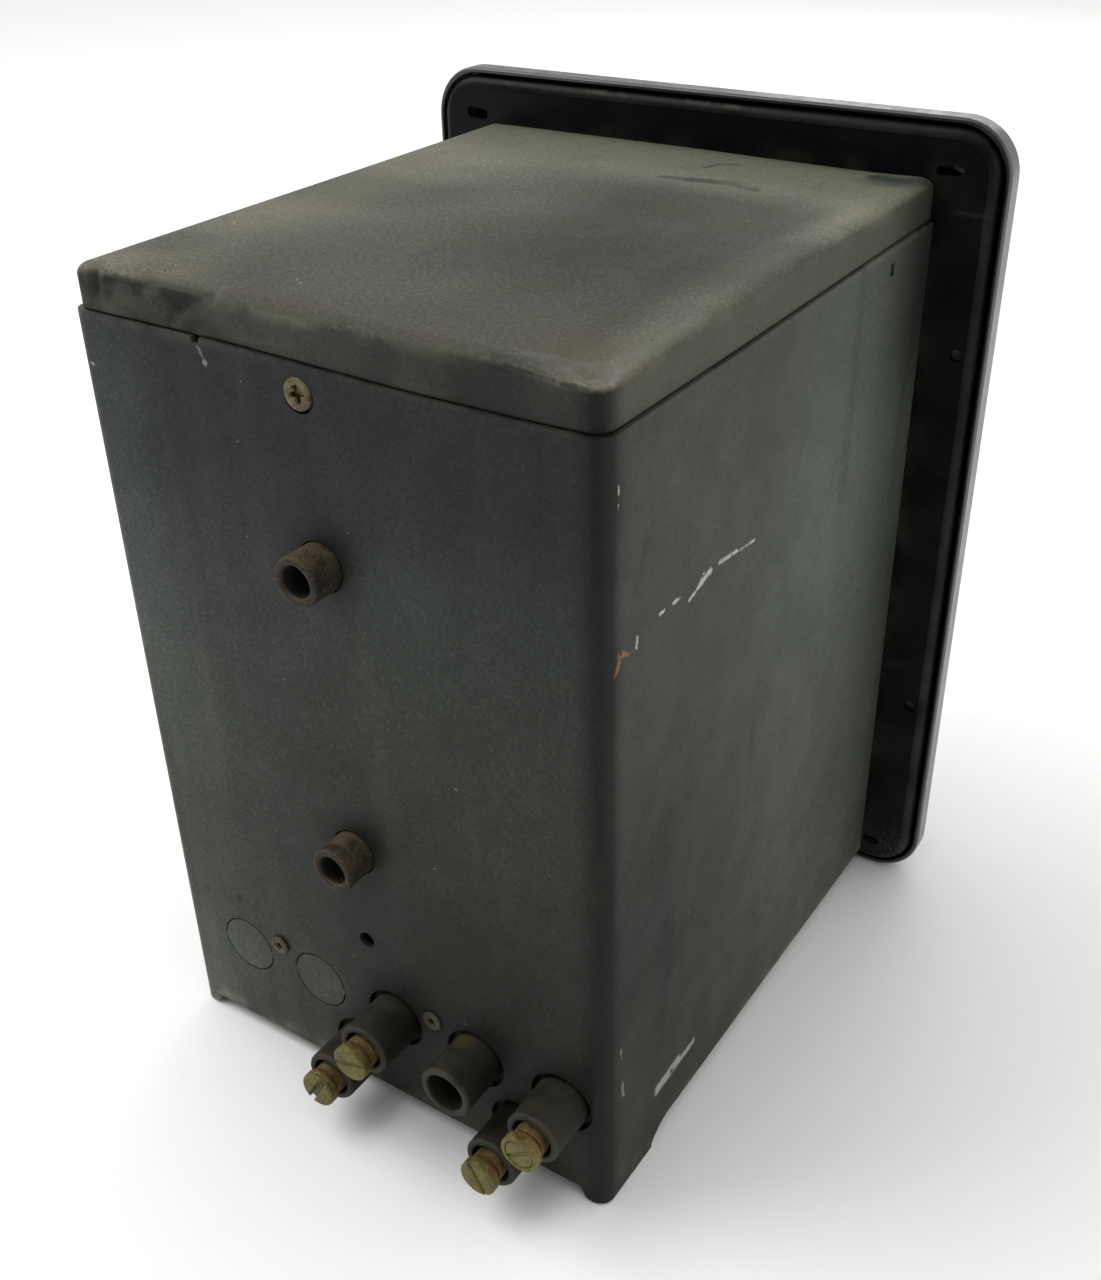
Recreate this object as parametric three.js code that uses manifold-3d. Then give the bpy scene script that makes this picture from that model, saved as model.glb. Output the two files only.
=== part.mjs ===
// Drawout relay case with its withdrawable induction-disk unit, modelled in millimetres, +Z up.
// The rear wall faces +Y and the glazed cover faces -Y. The origin is the middle of the object's footprint.
// Coordinates below are in a working frame whose y = 0 is the rear face of the mounting flange and whose
// z = 0 is the surface that the object stands on; the root group then moves the whole object along Y.
import * as THREE from "three";
import { mergeVertices } from "three/addons/utils/BufferGeometryUtils.js";
import Module from "manifold-3d";

const wasm = await Module();
wasm.setup();

// ---------------------------------------------------------------- driving dimensions
const CASE_W = 137; // outside width of the box
const CASE_D = 156.5; // flange rear face to the outside of the rear wall
const SHEET = 1.6; // case sheet
const BEND_R = 4; // outside radius of the two rear vertical bends
const CASE_TOP = 216; // top of the cap
const SKIRT = 9.7; // depth of the cap's visible skirt
const CAP_INSET = 0.9; // the cap's skirt stands this far inside the wrap's outer face
const REAR_EDGE = 3.6; // lower edge of the rear wall
const SIDE_EDGE = 5.2; // lower edge of the sides
const FLANGE_HALF = 83.4; // half width of the mounting flange
const FLANGE_Z = [2.3, 228.1];
const FLANGE_R = 11.6; // its corner radius
const FLANGE_T = 2; // its thickness
const FLANGE_LIP = 6; // depth of its turned edge
const COVER_HALF = 86; // half width of the cover
const COVER_Z = [0, 230.4];
const COVER_R = 14;
const COVER_FRONT = -28; // y of the cover's front face
const WALL_IN = CASE_D - SHEET; // inner face of the rear wall
const HALF_IN = CASE_W / 2 - SHEET; // inner half width

const TERMINAL_PITCH = 25.4;
const TERMINAL_X0 = -56; // right-hand end of the upper row, seen from the rear it is the last on the right
const ROW_UP = 31; // height of the upper row
const ROW_LOW = 14; // height of the lower row, half a pitch along
const BARREL_R = 7.1;
const BARREL_BORE = 5.35;
const BARREL_OUT = 13.1; // how far a barrel stands out of the rear wall
const WALL_HOLE = 8.5; // radius of the wall's clearance hole round each barrel
const HEAD_R = 5.05; // terminal screw head
const HEAD_T = 2.9;
const HEAD_OUT = 18.5; // outer face of the head behind the rear wall
const COLLAR_R = 4.25;

const BOSS_R = 5.85;
const BOSS_BORE = 3.35;
const BOSS_OUT = 8.3;
const BOSS_X = 2.7;
const BOSS_Z = [82.1, 160.2];
const CAP_SCREW = { x: 3.4, z: 199.2, r: 3.85 };

const SHAFT_Y = 42; // the disk's vertical shaft stands at x = 0, y = SHAFT_Y
const DISK_R = 40;
const DISK_Z = [94, 95.2];
const DIAL_R = 25;
const NUT_Z = [15.5, 208.4];
const NUT_FRONT = -37;
const RESET = { x: -32, z: 21.2 };
const LATCH_UP = { y: 3.8, z: 197.6 }; // latch pivots, parallel to X
const LATCH_LOW = { y: 1.5, z: 36 };

const Y_SHIFT = -(NUT_FRONT + CASE_D + HEAD_OUT) / 2;

// upper row, from +X to -X: two blank knockouts, then three barrels
const UP_X = [4, 3, 2, 1, 0].map((k) => TERMINAL_X0 + k * TERMINAL_PITCH);
const KNOCKOUTS = [UP_X[0], UP_X[1]];
const BARRELS = [
  [UP_X[2], ROW_UP],
  [UP_X[3], ROW_UP],
  [UP_X[4], ROW_UP],
  [UP_X[2] + TERMINAL_PITCH / 2, ROW_LOW],
  [UP_X[4] + TERMINAL_PITCH / 2, ROW_LOW],
];
const EMPTY_BARREL = 1; // this barrel has lost its screw
const STUDS = [0, 2, 3, 4].map((i) => BARRELS[i]);

// ---------------------------------------------------------------- finishes
const M = (color, roughness, metalness, extra = {}) =>
  new THREE.MeshStandardMaterial({ color, roughness, metalness, ...extra });
const paint = M(0x3b3d39, 0.75, 0.2);
const capPaint = M(0x4d4d46, 0.85, 0.15);
const blackPaint = M(0x121412, 0.5, 0.2);
const gloss = M(0x1a1b1b, 0.15, 0.1);
const moulded = M(0x1f211c, 0.6, 0);
const brass = M(0x8a7a42, 0.5, 0.8);
const rustySteel = M(0x4c4038, 0.8, 0.5);
const zinc = M(0x8f8a6a, 0.5, 0.8);
const steel = M(0x9a9c9c, 0.35, 0.9);
const aluminium = M(0xb4b6b6, 0.35, 0.9);
const copper = M(0x7a3b22, 0.5, 0.6);
const laminations = M(0x55585a, 0.55, 0.7);
const glass = M(0xdfe8e6, 0.05, 0, { transparent: true, opacity: 0.3 });
const white = M(0xd8d6cc, 0.5, 0);
const orange = M(0xd0641c, 0.5, 0);

// ---------------------------------------------------------------- solids
function solid(geometry) {
  const g = geometry.index ? geometry.toNonIndexed() : geometry.clone();
  for (const name of Object.keys(g.attributes))
    if (name !== "position") g.deleteAttribute(name);
  const merged = mergeVertices(g, 1e-4);
  const tri = new Uint32Array(merged.index.array);
  const make = (t) =>
    new wasm.Manifold(
      new wasm.Mesh({
        numProp: 3,
        vertProperties: merged.attributes.position.array,
        triVerts: t,
      }),
    );
  const made = make(tri);
  if (made.volume() >= 0) return made;
  for (let i = 0; i < tri.length; i += 3)
    [tri[i + 1], tri[i + 2]] = [tri[i + 2], tri[i + 1]];
  return make(tri);
}
const join = (...s) => s.reduce((a, b) => a.add(b));
const cut = (a, ...s) => s.reduce((x, b) => x.subtract(b), a);
const box = (x0, x1, y0, y1, z0, z1) =>
  solid(
    new THREE.BoxGeometry(x1 - x0, y1 - y0, z1 - z0).translate(
      (x0 + x1) / 2,
      (y0 + y1) / 2,
      (z0 + z1) / 2,
    ),
  );
const cylY = (x, z, r, y0, y1, n = 24, r2 = r) =>
  solid(
    new THREE.CylinderGeometry(r2, r, y1 - y0, n).translate(x, (y0 + y1) / 2, z),
  );
const cylZ = (x, y, r, z0, z1, n = 24, r2 = r) =>
  solid(
    new THREE.CylinderGeometry(r2, r, z1 - z0, n)
      .rotateX(Math.PI / 2)
      .translate(x, y, (z0 + z1) / 2),
  );
const cylX = (y, z, r, x0, x1, n = 16) =>
  solid(
    new THREE.CylinderGeometry(r, r, x1 - x0, n)
      .rotateZ(Math.PI / 2)
      .translate((x0 + x1) / 2, y, z),
  );
const extruded = (shape, depth, curveSegments) =>
  new THREE.ExtrudeGeometry(shape, { depth, bevelEnabled: false, curveSegments });
// a prism along Z of a shape in X and Y
const prismZ = (shape, z0, z1, n = 6) =>
  solid(extruded(shape, z1 - z0, n).translate(0, 0, z0));
// a prism along Y of a shape in X and Z
const prismY = (shape, y0, y1, n = 6) =>
  solid(extruded(shape, y1 - y0, n).rotateX(Math.PI / 2).translate(0, y1, 0));
// a prism along X of a shape in Y and Z
const prismX = (shape, x0, x1, n = 6) =>
  solid(
    extruded(shape, x1 - x0, n)
      .applyMatrix4(
        new THREE.Matrix4().makeBasis(
          new THREE.Vector3(0, 1, 0),
          new THREE.Vector3(0, 0, 1),
          new THREE.Vector3(1, 0, 0),
        ),
      )
      .translate(x0, 0, 0),
  );
function roundRect(x0, x1, y0, y1, r) {
  const s = new THREE.Shape();
  s.moveTo(x0 + r, y0);
  s.lineTo(x1 - r, y0);
  s.absarc(x1 - r, y0 + r, r, -Math.PI / 2, 0, false);
  s.lineTo(x1, y1 - r);
  s.absarc(x1 - r, y1 - r, r, 0, Math.PI / 2, false);
  s.lineTo(x0 + r, y1);
  s.absarc(x0 + r, y1 - r, r, Math.PI / 2, Math.PI, false);
  s.lineTo(x0, y0 + r);
  s.absarc(x0 + r, y0 + r, r, Math.PI, 1.5 * Math.PI, false);
  return s;
}
function polygon(...points) {
  return new THREE.Shape(points.map(([a, b]) => new THREE.Vector2(a, b)));
}
// a body turned round an axis parallel to Y through (x, z): pairs of y and radius, closed on the axis
const turnedY = (x, z, profile, n = 24) =>
  solid(
    new THREE.LatheGeometry(
      profile.map(([y, r]) => new THREE.Vector2(r, y)),
      n,
    ).translate(x, 0, z),
  );
const turnedZ = (x, y, profile, n = 24) =>
  solid(
    new THREE.LatheGeometry(
      profile.map(([z, r]) => new THREE.Vector2(r, z)),
      n,
    )
      .rotateX(Math.PI / 2)
      .translate(x, y, 0),
  );
// a closed ring through rounded-rectangle stations that lie in planes of constant y
function loftRing(stations, k = 6) {
  const pos = [],
    idx = [];
  for (const [y, x1, z0, z1, r] of stations) {
    const corners = [
      [x1 - r, z0 + r, -90],
      [x1 - r, z1 - r, 0],
      [-x1 + r, z1 - r, 90],
      [-x1 + r, z0 + r, 180],
    ];
    for (const [cx, cz, a0] of corners)
      for (let i = 0; i <= k; i++) {
        const a = ((a0 + (90 * i) / k) * Math.PI) / 180;
        pos.push(cx + r * Math.cos(a), y, cz + r * Math.sin(a));
      }
  }
  const n = 4 * (k + 1),
    m = stations.length;
  for (let s = 0; s < m; s++)
    for (let i = 0; i < n; i++) {
      const a = s * n + i,
        b = s * n + ((i + 1) % n),
        c = ((s + 1) % m) * n + i,
        d = ((s + 1) % m) * n + ((i + 1) % n);
      idx.push(a, b, d, a, d, c);
    }
  const g = new THREE.BufferGeometry();
  g.setAttribute("position", new THREE.Float32BufferAttribute(pos, 3));
  g.setIndex(idx);
  return solid(g);
}

// ---------------------------------------------------------------- scene graph
const part = new THREE.Group();
part.name = "drawout_relay_case";
const working = new THREE.Group(); // holds everything in the working frame
working.position.set(0, Y_SHIFT, 0);
part.add(working);

function meshOf(name, s, material) {
  const m = s.getMesh(),
    v = new Float32Array(m.numVert * 3);
  for (let i = 0; i < m.numVert; i++)
    v.set(m.vertProperties.subarray(i * m.numProp, i * m.numProp + 3), i * 3);
  const g = new THREE.BufferGeometry();
  g.setAttribute("position", new THREE.BufferAttribute(v, 3));
  g.setIndex(new THREE.BufferAttribute(new Uint32Array(m.triVerts), 1));
  g.computeVertexNormals();
  const mesh = new THREE.Mesh(g, material);
  mesh.name = name;
  return mesh;
}
function add(name, s, material, position) {
  const mesh = meshOf(name, s, material);
  if (position) mesh.position.set(...position);
  working.add(mesh);
  return mesh;
}

// ================================================================ the case
{
  // rear wall and both sides: one sheet with two vertical bends
  const w = CASE_W / 2,
    outer = new THREE.Shape();
  const arc = (s, cx, cy, r, a0, a1, cw) => s.absarc(cx, cy, r, a0, a1, cw);
  outer.moveTo(w, 0.3);
  outer.lineTo(w, CASE_D - BEND_R);
  arc(outer, w - BEND_R, CASE_D - BEND_R, BEND_R, 0, Math.PI / 2, false);
  outer.lineTo(-w + BEND_R, CASE_D);
  arc(outer, -w + BEND_R, CASE_D - BEND_R, BEND_R, Math.PI / 2, Math.PI, false);
  outer.lineTo(-w, 0.3);
  outer.lineTo(-w + SHEET, 0.3);
  outer.lineTo(-w + SHEET, CASE_D - BEND_R);
  arc(outer, -w + BEND_R, CASE_D - BEND_R, BEND_R - SHEET, Math.PI, Math.PI / 2, true);
  outer.lineTo(w - BEND_R, CASE_D - SHEET);
  arc(outer, w - BEND_R, CASE_D - BEND_R, BEND_R - SHEET, Math.PI / 2, 0, true);
  outer.lineTo(w - SHEET, 0.3);
  let wrap = prismZ(outer, 0, CASE_TOP - SKIRT - 0.3, 4);
  // lower edges: the sides stop higher than the rear wall, and a foot is left at each rear corner
  const foot0 = 131.5;
  const notch = polygon(
    [-5, -5],
    [foot0, -5],
    [foot0 + 2.6, 0.9],
    [foot0 + 1.2, 2.6],
    [foot0 - 1.5, 4.2],
    [foot0 - 5, SIDE_EDGE],
    [-5, SIDE_EDGE],
  );
  wrap = cut(wrap, prismX(notch, -w - 2, w + 2));
  // the rear wall's own lower edge, between the feet
  wrap = cut(
    wrap,
    box(-w + 7, w - 7, CASE_D - 8, CASE_D + 2, -2, REAR_EDGE),
    prismX(
      polygon([CASE_D - 1.6, -2], [CASE_D + 2, -2], [CASE_D + 2, 3.2]),
      -w - 2,
      w + 2,
    ),
  );
  // a small inward lip under each foot
  for (const s of [-1, 1])
    wrap = join(
      wrap,
      box(
        Math.min(s * (w - 0.4), s * (w - 5.5)),
        Math.max(s * (w - 0.4), s * (w - 5.5)),
        foot0 + 5,
        CASE_D - 5,
        0,
        1.6,
      ),
    );
  // clearance holes round the barrels, the rivets, the bosses and the cap screw
  for (const [x, z] of BARRELS) wrap = cut(wrap, cylY(x, z, WALL_HOLE, CASE_D - 3, CASE_D + 2, 22));
  for (const x of [UP_X[0] - 12.7, UP_X[2] - 12.7])
    wrap = cut(wrap, cylY(x, ROW_UP + 6.4, 1.9, CASE_D - 3, CASE_D + 2, 12));
  for (const z of BOSS_Z) wrap = cut(wrap, cylY(BOSS_X, z, BOSS_R + 0.35, CASE_D - 3, CASE_D + 2, 20));
  wrap = cut(wrap, cylY(CAP_SCREW.x, CAP_SCREW.z, CAP_SCREW.r + 0.35, CASE_D - 3, CASE_D + 2, 20));
  wrap = cut(wrap, cylY(1.6, 54.4, 2.25, CASE_D - 3, CASE_D + 2, 12)); // open vent hole
  // blank knockouts: a ring cut through the sheet, bridged by two small ties
  for (const x of KNOCKOUTS) {
    const ring = cut(
      cylY(x, ROW_UP, 8.6, CASE_D - 3, CASE_D + 2, 22),
      cylY(x, ROW_UP, 8.05, CASE_D - 3.5, CASE_D + 2.5, 22),
      box(x - 9.5, x + 9.5, CASE_D - 4, CASE_D + 3, ROW_UP - 0.9, ROW_UP + 0.9),
    );
    wrap = cut(wrap, ring);
  }
  // a small slot high on each side, near the flange
  for (const s of [-1, 1])
    wrap = cut(wrap, box(s * w - 3, s * w + 3, 24.2, 26.4, 198.8, 202));
  add("case_wrap", wrap, paint);

  // top cap: flat top with rounded edges, a short skirt, and a lip that drops inside the wrap
  const cw = w - CAP_INSET,
    cd = CASE_D - CAP_INSET;
  const capProfile = (inset, r) => {
    const s = new THREE.Shape(),
      a = cw - inset,
      b = cd - inset;
    s.moveTo(-a, 0.3);
    s.lineTo(a, 0.3);
    s.lineTo(a, b - r);
    s.absarc(a - r, b - r, r, 0, Math.PI / 2, false);
    s.lineTo(-a + r, b);
    s.absarc(-a + r, b - r, r, Math.PI / 2, Math.PI, false);
    s.lineTo(-a, 0.3);
    return s;
  };
  // the crowned top edge is built of stepped slices that shrink towards the top
  let cap = prismZ(capProfile(0, 4), CASE_TOP - SKIRT, CASE_TOP - 2.4, 5);
  cap = join(
    cap,
    prismZ(capProfile(0.35, 4), CASE_TOP - 2.6, CASE_TOP - 1.3, 5),
    prismZ(capProfile(0.95, 4), CASE_TOP - 1.5, CASE_TOP - 0.5, 5),
    prismZ(capProfile(1.9, 4), CASE_TOP - 0.7, CASE_TOP, 5),
  );
  const hollow = (inset, z0, z1, r) => {
    const s = new THREE.Shape(),
      a = cw - inset,
      b = cd - inset;
    s.moveTo(-a, -5);
    s.lineTo(a, -5);
    s.lineTo(a, b - r);
    s.absarc(a - r, b - r, r, 0, Math.PI / 2, false);
    s.lineTo(-a + r, b);
    s.absarc(-a + r, b - r, r, Math.PI / 2, Math.PI, false);
    s.lineTo(-a, -5);
    return prismZ(s, z0, z1, 4);
  };
  const lipOut = w - SHEET - 0.4,
    lipIn = lipOut - 1.4;
  cap = join(
    cap,
    cut(
      prismZ(
        (() => {
          const s = new THREE.Shape(),
            b = CASE_D - SHEET - 0.4,
            r = 2.2;
          s.moveTo(-lipOut, 0.6);
          s.lineTo(lipOut, 0.6);
          s.lineTo(lipOut, b - r);
          s.absarc(lipOut - r, b - r, r, 0, Math.PI / 2, false);
          s.lineTo(-lipOut + r, b);
          s.absarc(-lipOut + r, b - r, r, Math.PI / 2, Math.PI, false);
          s.lineTo(-lipOut, 0.6);
          return s;
        })(),
        193.5,
        CASE_TOP - SKIRT + 1.5,
        4,
      ),
      box(-lipIn, lipIn, -5, CASE_D - SHEET - 0.4 - 1.4, 190, 230),
    ),
  );
  cap = cut(
    cap,
    hollow(1.6 + 1.0, CASE_TOP - SKIRT - 1, CASE_TOP - 1.8, 2.4),
    cylY(CAP_SCREW.x, CAP_SCREW.z, 2.3, CASE_D - 8, CASE_D, 16),
  );
  add("top_cap", cap, capPaint);

  // bottom pan, with short upturned sides
  let pan = join(
    box(-HALF_IN + 0.4, HALF_IN - 0.4, 0.4, WALL_IN - 2.4, SIDE_EDGE + 0.1, SIDE_EDGE + 1.5),
    box(-HALF_IN + 0.4, -HALF_IN + 1.8, 0.4, 128, SIDE_EDGE + 0.1, 16),
    box(HALF_IN - 1.8, HALF_IN - 0.4, 0.4, 128, SIDE_EDGE + 0.1, 16),
  );
  add("bottom_pan", pan, paint);
}
{
  // mounting flange: a plate with a turned edge, the case opening and two tabs that carry the cover studs
  const [z0, z1] = FLANGE_Z,
    h = FLANGE_HALF;
  let plate = prismY(roundRect(-h, h, z0, z1, FLANGE_R), -FLANGE_T - FLANGE_LIP, 0, 5);
  plate = cut(
    plate,
    prismY(
      roundRect(-h + 1.6, h - 1.6, z0 + 1.6, z1 - 1.6, FLANGE_R - 1.6),
      -FLANGE_T - FLANGE_LIP - 1,
      -FLANGE_T,
      5,
    ),
  );
  const opening = prismY(roundRect(-66.5, 66.5, 7.6, 213.5, 1.5), -9, 3, 3);
  plate = cut(plate, opening);
  plate = join(
    plate,
    box(-9, 9, -FLANGE_T, 0, 6, 20.5),
    box(-11, 11, -FLANGE_T, 0, 204, 215),
  );
  for (const z of NUT_Z) plate = cut(plate, cylY(0, z, 2.8, -6, 3, 16));
  // panel screw holes and small corner holes
  for (const s of [-1, 1]) {
    for (const z of [63, 172]) plate = cut(plate, cylY(s * 78.3, z, 1.7, -6, 3, 10));
    plate = cut(plate, cylY(s * 71.2, 218.6, 1.5, -6, 3, 10));
    plate = cut(plate, cylY(s * 71.2, 9, 1.5, -6, 3, 10));
  }
  add("mounting_flange", plate, blackPaint);
}

// ================================================================ rear terminals
{
  // moulded block behind the rear wall, with a barrel through the wall at each position
  const y0 = 134,
    y1 = WALL_IN - 0.5;
  let block = box(-65.5, 65.5, y0, y1, 7.6, 46);
  block = cut(
    block,
    box(-66, 66, y0 - 1, y0 + 9, 41, 47),
  );
  for (const [x, z] of BARRELS)
    block = join(block, cylY(x, z, BARREL_R, y1 - 2, CASE_D + BARREL_OUT, 20));
  BARRELS.forEach(([x, z], i) => {
    block = cut(
      block,
      cylY(x, z, BARREL_BORE, i === EMPTY_BARREL ? 146 : 151, CASE_D + BARREL_OUT + 1, 20),
    );
    if (i !== EMPTY_BARREL) block = cut(block, cylY(x, z, 4.6, y0 - 2, 153, 16));
  });
  for (const x of [UP_X[0] - 12.7, UP_X[2] - 12.7])
    block = cut(block, cylY(x, ROW_UP + 6.4, 1.9, y1 - 9, y1 + 1, 16));
  add("terminal_block", block, moulded);

  // tubular rivets that hold the block to the wall
  const rivet = cut(
    turnedY(0, 0, [
      [-8, 0],
      [-8, 1.5],
      [0.3, 1.5],
      [0.3, 2.75],
      [0.7, 2.75],
      [1.0, 2.1],
      [1.0, 0],
    ], 16),
    cylY(0, 0, 0.95, -5, 2, 12),
  );
  [UP_X[0] - 12.7, UP_X[2] - 12.7].forEach((x, i) =>
    add("block_rivet_" + (i + 1), rivet, zinc, [x, CASE_D, ROW_UP + 6.4]),
  );

  // threaded mounting bosses, held by an inner flange
  const boss = cut(
    turnedY(0, 0, [
      [-5.3, 0],
      [-5.3, 9],
      [-2.0, 9],
      [-2.0, BOSS_R],
      [BOSS_OUT - 0.5, BOSS_R],
      [BOSS_OUT, BOSS_R - 0.5],
      [BOSS_OUT, 0],
    ], 20),
    cylY(0, 0, BOSS_BORE, -7, BOSS_OUT + 1, 16),
  );
  ["lower", "upper"].forEach((n, i) =>
    add("mounting_boss_" + n, boss, rustySteel, [BOSS_X, CASE_D, BOSS_Z[i]]),
  );

  // cap screw, nearly flush, with a cross recess
  const cross = join(box(-2.4, 2.4, -1.3, 2, -0.5, 0.5), box(-0.5, 0.5, -1.3, 2, -2.4, 2.4));
  add(
    "rear_cap_screw",
    cut(
      turnedY(0, 0, [
        [-9.5, 0],
        [-9.5, 1.9],
        [-2.0, 1.9],
        [-1.2, CAP_SCREW.r],
        [0.1, CAP_SCREW.r],
        [0.6, CAP_SCREW.r - 0.9],
        [0.6, 0],
      ], 20),
      cross,
    ),
    zinc,
    [CAP_SCREW.x, CASE_D, CAP_SCREW.z],
  );

  // brass studs: each runs through the block, drops a tab, and carries a strip forward to a contact finger
  STUDS.forEach(([x, z], i) => {
    let stud = join(
      cylY(x, z, 4.2, 132, 155.5, 16),
      box(x - 4, x + 4, 131.2, 132.6, 8.2, z + 4),
      box(x - 3, x + 3, 6.4, 132.6, 8.2, 9.4),
      box(x - 3, x + 3, 6.4, 7.6, 8.2, 27),
    );
    stud = cut(stud, cylY(x, z, 2.9, 143, 157, 12));
    add("terminal_stud_" + (i + 1), stud, brass);
  });

  // slotted terminal screws
  const y = CASE_D;
  const screw = cut(
    turnedY(0, 0, [
      [-12, 0],
      [-12, 2.3],
      [-0.4, 2.3],
      [0, COLLAR_R],
      [HEAD_OUT - HEAD_T - 0.5, COLLAR_R],
      [HEAD_OUT - HEAD_T, HEAD_R - 0.4],
      [HEAD_OUT - HEAD_T + 0.5, HEAD_R],
      [HEAD_OUT - 0.6, HEAD_R],
      [HEAD_OUT, HEAD_R - 0.7],
      [HEAD_OUT, 0],
    ], 18),
    box(-7, 7, HEAD_OUT - 1.3, HEAD_OUT + 1, -0.65, 0.65),
  );
  const turn = [20, 35, 60, -62]; // how far each slot happens to stand from level, in degrees
  STUDS.forEach(([x, z], i) => {
    const m = add("terminal_screw_" + (i + 1), screw, brass, [x, y, z]);
    m.rotation.y = (turn[i] * Math.PI) / 180;
  });
}

// ================================================================ guide rails inside the case
for (const [name, s] of [["left", 1], ["right", -1]]) {
  const a = Math.min(s * 61.6, s * 66.5),
    b = Math.max(s * 61.6, s * 66.5),
    c = Math.min(s * 65.2, s * 66.5),
    d = Math.max(s * 65.2, s * 66.5);
  add("guide_rail_" + name, join(box(a, b, 4, 128, 40.6, 41.9), box(c, d, 4, 128, 30, 41.9)), steel);
}

// ================================================================ cover studs on the flange tabs
NUT_Z.forEach((z, i) => {
  const stud = turnedY(0, 0, [
    [0.3, 0],
    [0.3, 4.6],
    [2.4, 4.6],
    [2.4, 0],
  ], 6);
  add(
    "cover_stud_" + ["lower", "upper"][i],
    join(stud, cylY(0, 0, 2.4, -32.5, 1, 16)),
    steel,
    [0, 0, z],
  );
});

// ================================================================ the drawout unit
{
  // cradle, of four sheet pieces: a base, a back, a hoop of top and front posts, and a front apron
  add(
    "cradle_base",
    cut(
      box(-65.4, 65.4, 4.1, 121.9, 42.3, 44.3),
      box(-30, 30, 60, 112, 40, 46), // lead window
    ),
    steel,
  );
  add(
    "cradle_back",
    cut(
      box(-60, 60, 122, 124, 42.3, 193.9),
      box(-40, 40, 120, 126, 60, 180), // lightening window
    ),
    steel,
  );
  let hoop = join(
    box(-60, 60, 2, 124, 194, 196),
    box(-60, -55, 2, 8, 44.4, 195),
    box(55, 60, 2, 8, 44.4, 195),
  );
  hoop = cut(
    hoop,
    box(-42, 42, 30, 108, 190, 200), // window in the top
    box(-9.6, 9.6, -2, 10.5, 191, 200), // clearance for the upper latch
  );
  hoop = join(
    hoop,
    box(-9.8, -7.9, 0.8, 12, 194, 200.6), // ears of the upper latch
    box(7.9, 9.8, 0.8, 12, 194, 200.6),
  );
  add("cradle_hoop", hoop, steel);
  let apron = join(box(-54.9, 54.9, 2, 4, 42.3, 76), box(-60, 60, 2, 4, 42.3, 44.3));
  for (const [a, b] of [[49.4, 51.1], [57.9, 59.6]])
    apron = join(apron, box(a, b, -0.8, 8, 33.4, 42.2), box(a, b, 2, 4, 42, 43)); // ears of the lower latch
  add("cradle_apron", apron, steel);

  // contact block under the base, and its spring fingers
  let block = box(-60.5, 60.5, 8.4, 30, 29.6, 42);
  block = cut(block, box(-51, -48, 4, 20, 20, 43), box(16, 18, 4, 20, 20, 43));
  add("cradle_contact_block", block, moulded);
  STUDS.forEach(([x], i) =>
    add(
      "cradle_finger_" + (i + 1),
      join(box(x - 3, x + 3, 6.4, 7.6, 29.2, 41), box(x - 3, x + 3, 6.4, 8.1, 39.8, 41)),
      brass,
    ),
  );

  // portal frame that carries the two bearings
  let portal = prismY(
    (() => {
      const s = roundRect(-51, 51, 52, 165, 3);
      s.holes.push(roundRect(-44.5, 44.5, 59.5, 157.5, 4));
      return s;
    })(),
    36,
    48,
    4,
  );
  portal = join(portal, box(-30, 30, 36, 48, 44.5, 53));
  portal = cut(
    portal,
    cylZ(0, SHAFT_Y, 3.3, 40, 62, 20),
    cylZ(0, SHAFT_Y, 3.4, 155, 168, 20),
  );
  add("mechanism_frame", portal, aluminium);

  // bearings
  add(
    "lower_bearing_screw",
    cut(
      turnedZ(0, SHAFT_Y, [
        [47, 0],
        [47, 3],
        [61, 3],
        [62.2, 2.2],
        [62.2, 0],
      ], 20),
      cylZ(0, SHAFT_Y, 0.9, 60.6, 63, 12),
    ),
    brass,
  );
  add(
    "upper_bearing_pin",
    cut(
      turnedZ(0, SHAFT_Y, [
        [156.6, 0],
        [156.6, 3],
        [178, 3],
        [178, 0],
      ], 20),
      cylZ(0, SHAFT_Y, 0.9, 156, 158.4, 12),
    ),
    steel,
  );

  // disk, hub and shaft
  add(
    "disk_shaft",
    join(
      cylZ(0, SHAFT_Y, 1.6, 62.6, 156.2, 16),
      cylZ(0, SHAFT_Y, 0.6, 61, 158, 10),
      cylZ(0, SHAFT_Y, 4.6, 95.5, 101, 20),
      cylZ(0, SHAFT_Y, 4.6, 88, 93.7, 20),
    ),
    steel,
  );
  add(
    "induction_disk",
    cut(
      cylZ(0, SHAFT_Y, DISK_R, DISK_Z[0], DISK_Z[1], 40),
      cylZ(0, SHAFT_Y, 1.9, 93, 96, 16),
    ),
    aluminium,
  );
  // moving contact arm, at rest pointing to the rear, with its round contact pad
  const armAngle = (66 * Math.PI) / 180;
  let arm = join(
    cylZ(0, SHAFT_Y, 5, 134.5, 140, 20),
    box(0, 20, SHAFT_Y - 1.5, SHAFT_Y + 1.5, 136, 138.6),
    cylZ(20.5, SHAFT_Y, 2.4, 134.8, 139.8, 16),
  );
  arm = cut(arm, cylZ(0, SHAFT_Y, 1.9, 130, 145, 16));
  const armGroup = new THREE.Group();
  armGroup.position.set(0, SHAFT_Y, 0);
  armGroup.rotation.z = armAngle;
  const armMesh = meshOf("moving_contact_arm", arm, brass);
  armMesh.position.set(0, -SHAFT_Y, 0);
  armGroup.add(armMesh);
  working.add(armGroup);

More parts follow.
